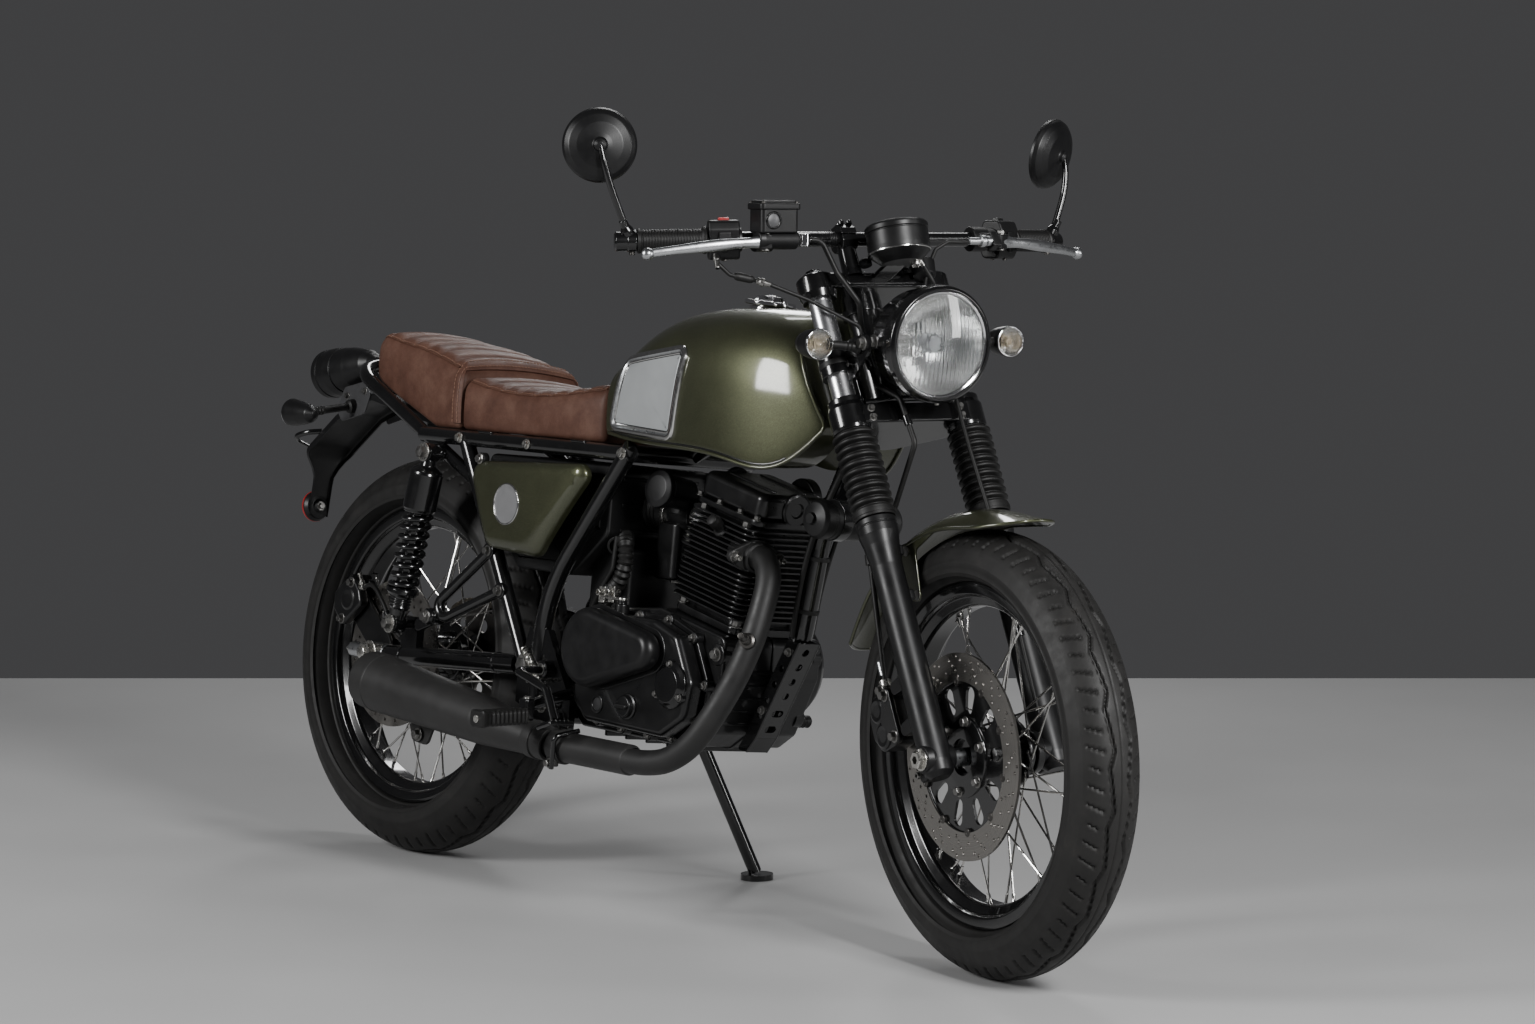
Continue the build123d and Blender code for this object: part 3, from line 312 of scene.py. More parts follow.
GREY = surface("grey_satin", (0.085, 0.085, 0.088), 0.38, metal=0.5, vary=0.12, vscale=30, rvary=0.06, grain=0.12, gscale=1500, gdist=0.0002)
MIRROR = surface("mirror_glass", (0.80, 0.82, 0.83), 0.03, metal=1.0, vary=0.02, rvary=0.01, grain=0.01, gscale=60, gdist=0.0001)

# ---------------------------------------------------------------- mesh makers


def unit(d):
    d = np.asarray(d, float)
    return d / np.linalg.norm(d)


def frame_of(d, hint=None):
    d = unit(d)
    h = A(0, 0, 1) if hint is None else np.asarray(hint, float)
    if abs(d @ unit(h)) > 0.95:
        h = A(1, 0, 0)
    x = unit(np.cross(h, d))
    return x, np.cross(d, x), d


def facing(v, f):
    """Positive where a shell's faces look away from its middle."""
    c, vol = v - v.mean(axis=0), 0.0
    for m in set(len(q) for q in f):
        q = np.array([g for g in f if len(g) == m])
        for k in range(1, m - 1):
            vol += np.einsum("ij,ij->", c[q[:, 0]], np.cross(c[q[:, k]], c[q[:, k + 1]]))
    return vol


class Piece:
    """Collects shells of one visible piece, in upright millimetres."""

    def __init__(self, name, body, origin=(0, 0, 0), replaces=(), slot=None, angle=38):
        self.name, self.body, self.origin = name, body, np.asarray(origin, float)
        self.rep, self.slot, self.angle = replaces, slot, angle
        self.v, self.f, self.mi, self.mats, self.n = [], [], [], [], 0

    def add(self, vf, mat):
        v, f = vf
        if mat not in self.mats:
            self.mats.append(mat)
        k = self.mats.index(mat)
        v = np.asarray(v, float).reshape(-1, 3)
        self.v.append(v)
        n = self.n
        if facing(v, f) < 0:
            f = [tuple(q[::-1]) for q in f]
        self.f += [tuple(i + n for i in q) for q in f]
        self.mi += [k] * len(f)
        self.n += len(v)
        return self

    def done(self, weighted=True):
        me = bpy.data.meshes.new(self.name + "_visual")
        v = (np.concatenate(self.v) - self.origin) / 1000.0
        me.from_pydata(v.tolist(), [], self.f)
        me.polygons.foreach_set("material_index", np.array(self.mi, np.int32))
        me.polygons.foreach_set("use_smooth", np.ones(len(me.polygons), bool))
        for m in self.mats:
            me.materials.append(m)
        me.validate()
        me.update()
        me.set_sharp_from_angle(angle=radians(self.angle))
        o = bpy.data.objects.new(self.name + "_visual", me)
        bpy.context.scene.collection.objects.link(o)
        o.matrix_world = BODY_M[self.body] @ Matrix.Translation(Vector(self.origin) / 1000)
        if weighted:
            w = o.modifiers.new("weighted", "WEIGHTED_NORMAL")
            w.keep_sharp = True
            w.weight = 60
        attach(o, self.body)
        if self.rep:
            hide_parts(*self.rep)
        return o


def round2(pts, r, seg=3, closed=False):
    """A flat polyline with rounded corners; a point may carry its own radius."""
    P = [(float(p[0]), float(p[1]), float(p[2]) if len(p) > 2 else r) for p in pts]
    n, out = len(P), []
    for k in range(n):
        if not closed and k in (0, n - 1):
            out.append(P[k][:2])
            continue
        a, b, c = (np.array(P[(k + d) % n][:2]) for d in (-1, 0, 1))
        u, w = a - b, c - b
        lu, lw = np.linalg.norm(u), np.linalg.norm(w)
        if lu < 1e-6 or lw < 1e-6 or P[k][2] <= 0:
            out.append(tuple(b))
            continue
        u, w = u / lu, w / lw
        cs = max(-1, min(1, float(u @ w)))
        half = math.acos(cs) / 2
        if half > pi / 2 - 0.02 or half < 0.02:
            out.append(tuple(b))
            continue
        t = min(P[k][2] / tan(half), 0.48 * lu, 0.48 * lw)
        rr = t * tan(half)
        ctr = b + unit(u + w) * (rr / sin(half))
        p0, p1 = b + u * t, b + w * t
        a0, a1 = atan2(*(p0 - ctr)[::-1]), atan2(*(p1 - ctr)[::-1])
        d = (a1 - a0 + pi) % (2 * pi) - pi
        for j in range(seg + 1):
            q = a0 + d * j / seg
            out.append((ctr[0] + rr * cos(q), ctr[1] + rr * sin(q)))
    return out


def lathe(origin, d, prof, n=48, closed=False, hint=None):
    """Turns a profile of (along, radius) about an axis."""
    o, (x, y, z) = np.asarray(origin, float), frame_of(d, hint)
    n = n if n < 16 else 2 * int(round(n * 0.42))
    ang = np.linspace(0, 2 * pi, n, endpoint=False)
    ring = np.outer(np.cos(ang), x) + np.outer(np.sin(ang), y)
    V, rows = [], []
    cnt = 0
    for t, r in prof:
        if r < 1e-6:
            V.append((o + z * t)[None])
            rows.append([cnt])
            cnt += 1
        else:
            V.append(o + z * t + ring * r)
            rows.append(list(range(cnt, cnt + n)))
            cnt += n
    Fc = []
    pairs = list(zip(rows, rows[1:])) + ([(rows[-1], rows[0])] if closed else [])
    for p, q in pairs:
        if len(p) == 1 and len(q) == 1:
            continue
        for k in range(n):
            j = (k + 1) % n
            if len(p) == 1:
                Fc.append((p[0], q[j], q[k]))
            elif len(q) == 1:
                Fc.append((p[k], p[j], q[0]))
            else:
                Fc.append((p[k], p[j], q[j], q[k]))
    return np.concatenate(V), Fc


def bend3(pts, r, seg=8):
    """A 3-D polyline with its corners turned into arcs."""
    P = [np.asarray(p, float) for p in pts]
    out = [P[0]]
    for k in range(1, len(P) - 1):
        u, w = P[k - 1] - P[k], P[k + 1] - P[k]
        lu, lw = np.linalg.norm(u), np.linalg.norm(w)
        u, w = u / lu, w / lw
        half = math.acos(max(-1, min(1, float(u @ w)))) / 2
        if half > pi / 2 - 0.02:
            out.append(P[k])
            continue
        t = min(r / tan(half), 0.48 * lu, 0.48 * lw)
        rr = t * tan(half)
        c = P[k] + unit(u + w) * (rr / sin(half))
        a, b = P[k] + u * t - c, P[k] + w * t - c
        tot = math.acos(max(-1, min(1, float(unit(a) @ unit(b)))))
        for j in range(seg + 1):
            q = tot * j / seg
            out.append(c + (a * sin(tot - q) + b * sin(q)) / sin(tot))
    out.append(P[-1])
    return np.array(out)


def smooth_path(pts, n=40):
    """A smooth line through points."""
    P = np.asarray(pts, float)
    P = np.concatenate([[2 * P[0] - P[1]], P, [2 * P[-1] - P[-2]]])
    out = []
    m = len(P) - 3
    for k in range(m):
        p0, p1, p2, p3 = P[k:k + 4]
        for t in np.linspace(0, 1, max(2, n // m), endpoint=(k == m - 1)):
            out.append(0.5 * (2 * p1 + (p2 - p0) * t + (2 * p0 - 5 * p1 + 4 * p2 - p3) * t * t + (3 * p1 - p0 - 3 * p2 + p3) * t ** 3))
    return np.array(out)


def tube(path, r, n=12, cap=True, squash=None, closed=False):
    """A round bar along a path; r may vary along it, and squash makes it oval."""
    P = np.asarray(path, float)
    m = len(P)
    rr = np.full(m, float(r)) if np.isscalar(r) else np.asarray(r, float)
    if closed:
        T = np.roll(P, -1, 0) - np.roll(P, 1, 0)
    else:
        T = np.gradient(P, axis=0)
    T /= np.linalg.norm(T, axis=1)[:, None]
    x, y, _ = frame_of(T[0])
    ang = np.linspace(0, 2 * pi, n, endpoint=False)
    V = []
    for k in range(m):
        x = unit(x - T[k] * (x @ T[k]))
        y = np.cross(T[k], x)
        s = (1.0, 1.0) if squash is None else squash
        V.append(P[k] + rr[k] * (np.outer(np.cos(ang) * s[0], x) + np.outer(np.sin(ang) * s[1], y)))
    Fc = []
    last = m if closed else m - 1
    for k in range(last):
        k2 = (k + 1) % m
        for i in range(n):
            j = (i + 1) % n
            Fc.append((k * n + i, k * n + j, k2 * n + j, k2 * n + i))
    if cap and not closed:
        Fc += [tuple(range(n - 1, -1, -1)), tuple((m - 1) * n + i for i in range(n))]
    return np.concatenate(V), Fc


def loft(rings, cap=True, wrap=True):
    n, m = len(rings[0]), len(rings)
    V = np.concatenate([np.asarray(r, float) for r in rings])
    Fc = []
    for k in range(m - 1):
        for i in range(n if wrap else n - 1):
            j = (i + 1) % n
            Fc.append((k * n + i, k * n + j, (k + 1) * n + j, (k + 1) * n + i))
    if cap:
        Fc += [tuple(range(n - 1, -1, -1)), tuple((m - 1) * n + i for i in range(n))]
    return V, Fc


def area2(P):
    P = np.asarray(P, float)
    x, y = P[:, 0], P[:, 1]
    return 0.5 * float(np.sum(x * np.roll(y, -1) - np.roll(x, -1) * y))


def inset(P, d):
    """A closed flat outline moved inwards by d (outline runs anticlockwise)."""
    P = np.asarray(P, float)
    a = P - np.roll(P, 1, 0)
    b = np.roll(P, -1, 0) - P
    na = np.stack([-a[:, 1], a[:, 0]], 1)
    nb = np.stack([-b[:, 1], b[:, 0]], 1)
    na /= np.maximum(np.linalg.norm(na, axis=1), 1e-9)[:, None]
    nb /= np.maximum(np.linalg.norm(nb, axis=1), 1e-9)[:, None]
    m = na + nb
    m /= np.maximum(1 + np.sum(na * nb, 1), 0.3)[:, None]
    return P + m * d


def prism(outline, plane, z0, z1, bevel=0.0, seg=2):
    """A flat outline given thickness along the plane's normal, with soft edges."""
    o, x, y, z = plane
    P = np.asarray(outline, float)
    if area2(P) < 0:
        P = P[::-1]
    rows = []
    if bevel:
        for k in range(seg + 1):
            q = pi / 2 * k / seg
            rows.append((inset(P, bevel * (1 - sin(q))), z0 + bevel * (1 - cos(q))))
        for k in range(seg + 1):
            q = pi / 2 * (1 - k / seg)
            rows.append((inset(P, bevel * (1 - sin(q))), z1 - bevel * (1 - cos(q))))
    else:
        rows = [(P, z0), (P, z1)]
    return loft([o + np.outer(p[:, 0], x) + np.outer(p[:, 1], y) + z * h for p, h in rows])


def drilled(outline, holes, plane, z0, z1, chamfer=0.0):
    """A plate with holes cut through it."""
    o, x, y, z = plane
    P = np.asarray(outline, float)
    if area2(P) < 0:
        P = P[::-1]
    loops = [P] + [np.asarray(h, float) if area2(h) < 0 else np.asarray(h, float)[::-1] for h in holes]
    pts, edges, start = [], [], []
    for L in loops:
        s = len(pts)
        start.append(s)
        pts += [Vector(p) for p in L]
        edges += [(s + k, s + (k + 1) % len(L)) for k in range(len(L))]
    v2, _, tri, *_ = delaunay_2d_cdt(pts, edges, [], 1, 1e-5)
    v2 = np.array([tuple(v) for v in v2])

    def inside(c, L):
        a, b = L, np.roll(L, -1, 0)
        hit = ((a[:, 1] > c[1]) != (b[:, 1] > c[1]))
        xs = a[:, 0] + (c[1] - a[:, 1]) / np.where(hit, b[:, 1] - a[:, 1], 1.0) * (b[:, 0] - a[:, 0])
        return bool(np.sum(hit & (c[0] < xs)) % 2)

    lo = [L.min(0) for L in loops]
    hi = [L.max(0) for L in loops]
    keep = []
    for t in tri:
        c = v2[list(t)].mean(0)
        if not inside(c, loops[0]):
            continue
        if any(np.all(c > lo[k]) and np.all(c < hi[k]) and inside(c, loops[k]) for k in range(1, len(loops))):
            continue
        keep.append(tuple(t))
    n = len(v2)
    top = o + np.outer(v2[:, 0], x) + np.outer(v2[:, 1], y) + z * z1
    bot = o + np.outer(v2[:, 0], x) + np.outer(v2[:, 1], y) + z * z0
    Fc = [t for t in keep] + [tuple(i + n for i in reversed(t)) for t in keep]
    V = [top, bot]
    cnt = 2 * n
    for L in loops:
        m = len(L)
        V += [o + np.outer(L[:, 0], x) + np.outer(L[:, 1], y) + z * z1, o + np.outer(L[:, 0], x) + np.outer(L[:, 1], y) + z * z0]
        for k in range(m):
            j = (k + 1) % m
            Fc.append((cnt + k, cnt + m + k, cnt + m + j, cnt + j))
        cnt += 2 * m
    return np.concatenate(V), Fc


def rrect(w, h, r, seg=4):
    return round2([(-w / 2, -h / 2), (w / 2, -h / 2), (w / 2, h / 2), (-w / 2, h / 2)], r, seg, True)


def circle(r, n=24, cx=0.0, cy=0.0, ph=0.0):
    return [(cx + r * cos(2 * pi * k / n + ph), cy + r * sin(2 * pi * k / n + ph)) for k in range(n)]


def hull2(circles, n=24):
    """The outline wrapped round some circles (x, y, r)."""
    pts = sorted({(round(cx + r * cos(2 * pi * k / n), 5), round(cy + r * sin(2 * pi * k / n), 5)) for cx, cy, r in circles for k in range(n)})

    def half(ps):
        out = []
        for p in ps:
            while len(out) > 1 and (out[-1][0] - out[-2][0]) * (p[1] - out[-2][1]) - (out[-1][1] - out[-2][1]) * (p[0] - out[-2][0]) <= 1e-9:
                out.pop()
            out.append(p)
        return out[:-1]
    return half(pts) + half(pts[::-1])


def rbox(plane, size, r=2.0, seg=2):
    """A block with every edge rounded, centred on its plane."""
    sx, sy, sz = size
    r = min(r, sx / 2 - 0.01, sy / 2 - 0.01, sz / 2 - 0.01)
    return prism(rrect(sx, sy, max(r, 0.02), seg + 1), plane, -sz / 2, sz / 2, r * 0.98, seg)


def plane(o, z, hint=None):
    x, y, zz = frame_of(z, hint)
    return (np.asarray(o, float), x, y, zz)


SIDE_P = (A(0, 0, 0), A(1, 0, 0), A(0, 0, 1), A(0, -1, 0))      # x-z drawings, normal to the right


def side(y=0.0):
    return (A(0, y, 0), A(1, 0, 0), A(0, 0, 1), A(0, -1, 0))


def fork_plane(a, b=0.0, y=0.0):
    return (sp(a, b, y), FW, LT, UP)


def hex_head(P, pos, d, r, h, mat=None, washer=True, dome=False):
    mat = BOLT if mat is None else mat
    pos, d = np.asarray(pos, float), unit(d)
    if washer:
        P.add(lathe(pos, d, [(0, 0), (0, r * 1.35), (r * 0.18, r * 1.35), (r * 0.26, r * 1.25), (r * 0.26, 0)], 20), mat)
        pos = pos + d * r * 0.25
    P.add(lathe(pos, d, [(0, 0), (0, r), (h * 0.78, r), (h, r * 0.84), (h, r * 0.5), (h * (1.0 if not dome else 1.25), 0)], 6), mat)


def cap_screw(P, pos, d, r, h, mat=None):
    mat = BOLT if mat is None else mat
    pos, d = np.asarray(pos, float), unit(d)
    P.add(lathe(pos, d, [(0, 0), (0, r), (h * 0.85, r), (h, r * 0.86), (h, r * 0.55)], 18), mat)
    P.add(lathe(pos, d, [(h, r * 0.55), (h * 0.45, r * 0.5), (h * 0.45, 0)], 6), DARK_STEEL)


def coil(p, q, rad, wire, turns, n=8, per=20, flat=0.6):
    """A coil spring between two points, with its end turns closed up."""
    p, q = np.asarray(p, float), np.asarray(q, float)
    x, y, z = frame_of(q - p)
    L = np.linalg.norm(q - p)
    m = int(turns * per)
    t = np.linspace(0, 1, m)
    tt = t * turns
    pitch = (L - 2 * wire * 1.05) / max(turns - 2 * flat, 1)
    along = np.where(tt < flat, wire * 0.6 * tt / flat, np.where(tt > turns - flat, L - wire * 0.6 * (turns - tt) / flat, wire + (tt - flat) * pitch))
    ang = 2 * pi * tt
    path = p + np.outer(along, z) + rad * (np.outer(np.cos(ang), x) + np.outer(np.sin(ang), y))
    return tube(path, wire, n)


def mirrored(fn):
    for s in (-1, 1):
        fn(s)


# ---------------------------------------------------------------- wheels
def tri_wave(t):
    t = t % 1.0
    return np.where(t < 0.72, t / 0.72, (1 - t) / 0.28)


def smooth_step(x):
    x = np.clip(x, 0, 1)
    return x * x * (3 - 2 * x)


def make_tyre(name, body, axle, rad, half, shoulder, pitches):
    """Tread as a fine relief on the crown, then plain side walls and beads."""
    sy, sr = shoulder
    P = Piece(name, body, axle, (name,), "tyre", 50)
    sag = rad - sr
    cr = (sy * sy + sag * sag) / (2 * sag)             # crown radius
    phi = math.asin(min(1, sy / cr)) if cr >= sy else pi - math.asin(sy / cr)
    nu, nv = 720, 60
    a = np.linspace(0, 2 * pi, nu, endpoint=False)
    q = np.linspace(-phi, phi, nv + 1)
    U, Q = np.meshgrid(a, q, indexing="ij")
    s = U / (2 * pi) * pitches                         # pitch count round the tyre
    yl = Q * cr                                        # distance across the tread
    edge = phi * cr
    depth = np.zeros_like(U)

    def cut(dist, width, deep):
        return deep * (1 - smooth_step((dist - width * 0.5) / (width * 0.28)))

    pl = 2 * pi * rad / pitches
    for sg, ph in ((1, 0.0), (-1, 0.5)):
        path = edge * (0.19 + 0.14 * tri_wave(s + ph))
        depth = np.maximum(depth, cut(np.abs(yl * sg - path), 3.6, 4.2))
        # slanted shoulder cuts, long and short by turns
        for k, (f0, f1, w) in enumerate(((0.40, 0.93, 2.8), (0.50, 0.86, 2.2), (0.44, 0.90, 2.6))):
            yy = yl * sg
            f = yy / edge
            lean = 0.42 * (f - 0.4) * edge / pl
            loc = (s + ph + k / 3.0 - lean * 0.9 + 0.5) % 1.0 - 0.5
            d = np.abs(loc) * pl * 0.86
            inside = smooth_step((f - f0) / 0.05) * smooth_step((f1 - f) / 0.05)
            depth = np.maximum(depth, cut(d, w, 3.0) * inside)
    depth = np.maximum(depth, cut(np.abs(yl), 2.0, 1.4))
    depth *= smooth_step((1 - np.abs(yl) / edge) / 0.05)
    rr = (rad - cr) + (cr - depth) * np.cos(Q)
    yy = (cr - depth) * np.sin(Q)
    V = np.stack([axle[0] + rr * np.cos(U), axle[1] + yy, axle[2] + rr * np.sin(U)], -1).reshape(-1, 3)
    Fc = []
    w = nv + 1
    for i in range(nu):
        i2 = ((i + 1) % nu) * w
        b = i * w
        for j in range(nv):
            Fc.append((b + j, b + j + 1, i2 + j + 1, i2 + j))
    P.add((V, Fc), TYRE)
    # side walls: shoulder, bulge, moulded rings, bead
    mid = 0.44 * sr + 0.56 * 250
    for sg in (-1, 1):
        w0 = [(sy, sr), (half - 3.5, sr - 9), (half - 1.2, sr - 16), (half - 0.4, sr - 17), (half, mid + 4), (half, mid - 2), (half - 1.0, mid - 9), (half - 0.2, mid - 10), (half - 2.2, mid - 15),
              (half - 7, 257), (half - 12, 252.5), (37, 249), (36.4, 247), (34.6, 245.5), (29, 244.5), (29, 236), (22, 236)]
        P.add(lathe(axle, (0, sg, 0), [(t, r) for t, r in w0], 240), TYRE)
    return P.done(weighted=False)


make_tyre("front_tyre", "front_wheel", F, 316.5, 54.0, (46.0, 290.5), 24)
make_tyre("rear_tyre", "rear_wheel", R, 325.0, 65.0, (56.0, 295.0), 22)

RIM = [(-34, 243.2, .8), (-31, 243.2, .8), (-30, 230.5, 3), (-17, 228.5, 4), (-12, 214, 5), (12, 214, 5), (17, 228.5, 4), (30, 230.5, 3), (31, 243.2, .8), (34, 243.2, .8),
       (35, 239, 2), (33.5, 226.5, 4), (24, 224.5, 5), (18, 212, 6), (13, 209.5, 3), (-13, 209.5, 3), (-18, 212, 6), (-24, 224.5, 5), (-33.5, 226.5, 4), (-35, 239, 2)]
for nm, body, axle, fy, hr, sweep in (("front", "front_wheel", F, 31.0, 43.0, 52.0), ("rear", "rear_wheel", R, 37.0, 51.0, 54.0)):
    P = Piece(nm + "_rim", body, axle, (nm + "_rim",), "rim_black")
    P.add(lathe(axle, LT, round2(RIM, 2.0, 3, True), 176, closed=True), GLOSS)
    # valve stem
    va = radians(200)
    vp = axle + A(209 * cos(va), 0, 209 * sin(va))
    P.add(lathe(vp, axle - vp, [(-1, 5.5), (2, 5.5), (3, 3.6), (26, 3.6), (26.5, 4.2), (33, 4.2), (34, 3.4), (34, 0)], 14), RUBBER)
    P.done()
    S = Piece(nm + "_spokes", body, axle, (nm + "_spokes",), "spoke_steel")
    for sd in (-1, 1):
        for k in range(18):
            lead = 1 if k % 2 else -1
            t0 = radians(20 * k + (10 if sd > 0 else 0))
            t1 = t0 + lead * radians(sweep)
            p = axle + A(hr * cos(t0), sd * (fy + 2.4 * lead), hr * sin(t0))
            q = axle + A(211.5 * cos(t1), sd * (5.0 + 2.2 * lead), 211.5 * sin(t1))
            d = unit(q - p)
            L = np.linalg.norm(q - p)
            S.add(tube([p + d * 0.5, p + d * 14, p + d * 22, q - d * 12], [1.85, 1.85, 1.6, 1.6], 8), SPOKE)
            S.add(lathe(q, -d, [(-1, 3.1), (3, 3.1), (3.6, 2.6), (15, 2.5), (15.6, 1.9), (15.6, 0)], 8), SPOKE)
            S.add(lathe(q, -d, [(-1.5, 0), (-1.5, 4.6), (1.6, 4.6), (2.4, 3.2)], 10), GLOSS)
            S.add(lathe(p - A(0, sd * 0.2 * lead, 0), (0, sd * lead, 0), [(-4.2, 0), (-4.2, 1.8), (1.0, 1.8), (1.0, 3.3), (2.0, 3.0), (2.6, 1.6), (2.7, 0)], 8), SPOKE)
    S.done()

# hubs
HUBS = {
    "front": [(-46, 9), (-46, 42, 2), (-40, 42, 2), (-38, 30, 4), (-34, 32, 3), (-34, 48, 1.2), (-28, 48, 1.2), (-28, 30, 4), (-14, 26, 12), (14, 26, 12), (28, 30, 4), (28, 48, 1.2), (34, 48, 1.2), (34, 34, 4), (50, 31, 3), (52, 26, 1), (52, 9)],
    "rear": [(-74, 9), (-74, 46, 2), (-66, 46, 2), (-64, 33, 5), (-40, 34, 4), (-40, 56, 1.2), (-34, 56, 1.2), (-34, 38, 5), (-16, 33, 12), (16, 33, 12), (34, 38, 5), (34, 56, 1.2), (40, 56, 1.2), (40, 46, 4), (70, 44, 4), (77, 40, 2), (77, 9)],
}
for nm, body, axle in (("front", "front_wheel", F), ("rear", "rear_wheel", R)):
    P = Piece(nm + "_hub", body, axle, (nm + "_hub",), "hub_alloy")
    P.add(lathe(axle, LT, round2(HUBS[nm], 1.0, 3), 72), GLOSS)
    fy, hr = (31.0, 43.0) if nm == "front" else (37.0, 51.0)
    for k in range(6):                                  # web ribs between the flanges
        t = radians(60 * k)
        c = axle + A(30 * cos(t), 0, 30 * sin(t))
        P.add(rbox((c, A(cos(t), 0, sin(t)), A(-sin(t), 0, cos(t)), A(0, -1, 0)), (10, 5, 54), 1.5), GLOSS)
    P.done()

# front disc: drilled steel ring on a slotted black carrier
WH = lambda axle, y: (axle + A(0, y, 0), A(1, 0, 0), A(0, 0, 1), A(0, -1, 0))
P = Piece("front_brake_disc", "front_wheel", F, ("front_brake_disc",), "disc_steel")
holes = [circle(106.2, 96)]
for k in range(30):
    for j, (rr, off) in enumerate(((113.5, 0.0), (121, 3.2), (128.5, 6.4), (136, 9.2), (141, 1.5))):
        if (k + j) % 2 == 0 or j in (1, 3):
            t = radians(12 * k + off)
            holes.append(circle(2.7, 10, rr * cos(t), rr * sin(t)))
P.add(drilled(circle(146, 200), holes, WH(F, -50), 0, 4.2), DISC)
slots = [circle(24, 48)]
for k in range(10):
    t = radians(36 * k + 9)
    ol = np.array(hull2([(70, 0, 8.5), (90, 0, 11.0)], 20))
    slots.append([(x * cos(t) - y * sin(t), x * sin(t) + y * cos(t)) for x, y in ol])
P.add(drilled(circle(111.5, 140), slots, WH(F, -46), 0, 4.4), GLOSS)
P.add(lathe(F, -LT, round2([(50.2, 111.5), (52.2, 110.5, .6), (52.2, 105.5, .6), (50.2, 104.6)], .5, 2), 140), GLOSS)
P.add(lathe(F, -LT, round2([(50, 58), (53, 57, 1), (54.5, 40, 2), (54.5, 26, 1), (49, 24)], 1, 3), 72), GLOSS)
for k in range(6):
    t = radians(60 * k + 22)
    hex_head(P, F + A(50 * cos(t), -52.5, 50 * sin(t)), (0, -1, 0), 6.2, 6.5)
for k in range(10):                                     # floating buttons between ring and carrier
    t = radians(36 * k + 27)
    P.add(lathe(F + A(106 * cos(t), -50, 106 * sin(t)), (0, -1, 0), [(0, 0), (0, 6.2), (4.6, 6.2), (5.3, 5.4), (5.3, 3), (4.6, 2.2), (4.6, 0)], 16), DARK_STEEL)
P.done()

P = Piece("rear_brake_disc", "rear_wheel", R, ("rear_brake_disc",), "disc_steel")
holes = [circle(24, 40)]
for k in range(6):
    t = radians(60 * k)
    ol = hull2([(56, 0, 9), (70, 0, 12)], 18)
    holes.append([(x * cos(t) - y * sin(t), x * sin(t) + y * cos(t)) for x, y in ol])
for k in range(24):
    for j, (rr, off) in enumerate(((92, 0), (101, 5), (110, 10))):
        t = radians(15 * k + off)
        holes.append(circle(2.9, 10, rr * cos(t), rr * sin(t)))
P.add(drilled(circle(120, 160), holes, WH(R, -74), 0, 4.0), DISC)
for k in range(6):
    t = radians(60 * k + 30)
    hex_head(P, R + A(40 * cos(t), -78, 40 * sin(t)), (0, -1, 0), 6, 3.5)
P.done()

P = Piece("rear_sprocket", "rear_wheel", R, ("rear_sprocket",), "disc_steel")
teeth = []
for k in range(40):
    for f, rr in ((-0.5, 87.0), (-0.30, 88.2), (-0.12, 93.6), (0.12, 93.6), (0.30, 88.2)):
        t = 2 * pi * (k + f) / 40
        teeth.append((rr * cos(t), rr * sin(t)))
holes = [circle(21, 40)] + [circle(11, 18, 60 * cos(radians(60 * k)), 60 * sin(radians(60 * k))) for k in range(6)]
P.add(drilled(teeth, holes, WH(R, 82), 0, 5), DARK_STEEL)
for k in range(6):
    t = radians(60 * k + 30)
    hex_head(P, R + A(38 * cos(t), 82, 38 * sin(t)), (0, 1, 0), 6, 6)
P.done()

# ---------------------------------------------------------------- fork
P = Piece("fork_lower_legs", "steering", F, ("fork_lower_legs",), "frame_black")
LEG = [(-29, 0), (-29, 13, 2), (-22, 21, 4), (-6, 23, 3), (30, 23, 20), (290, 22.6, 30), (322, 26, 30), (338, 29, 5), (350, 29.4, 1.5), (350.8, 28.2, .6), (352, 28.2, .6), (352.8, 29.4, 1), (361, 29, 1.2), (361.8, 20)]
for s in (-1, 1):
    o = sp(0, 0, s * LEG_Y)
    P.add(lathe(o, UP, round2(LEG, 2, 4), 64), SATIN)
    # axle boss, clamp slit and pinch bolt, drain screw
    P.add(lathe(o, (0, s, 0), round2([(-23.6, 12), (-23.6, 19, 1.5), (14, 21, 3), (23.3, 19, 1.5), (23.3, 11)], 1, 3), 40), SATIN)
    P.add(rbox((sp(-14, -20, s * LEG_Y), FW, LT, UP), (20, 30, 22), 4, 3), SATIN)
    cap_screw(P, sp(-14, -27, s * (LEG_Y + 15)), (0, s, 0), 5, 6)
    hex_head(P, sp(12, 0, s * (LEG_Y + 22.2)), (0, s, 0), 4.2, 4)
    # mudguard lugs
    for a in (244, 312):
        P.add(rbox((sp(a, 3, s * 75), FW, UP, LT), (17, 16, 12), 3, 2), SATIN)
    # cast web behind the leg
    P.add(rbox((sp(150, -20, s * LEG_Y), FW, LT, UP), (10, 10, 150), 4, 2), SATIN)
for a in (66, 128):                                     # caliper lugs on the right leg
    P.add(prism(hull2([(-8, 0, 13), (-56, 0, 10)], 20), (sp(a, 0, -LEG_Y + 4), FW, UP, LT), -7, 7, 2.0), SATIN)
P.done()

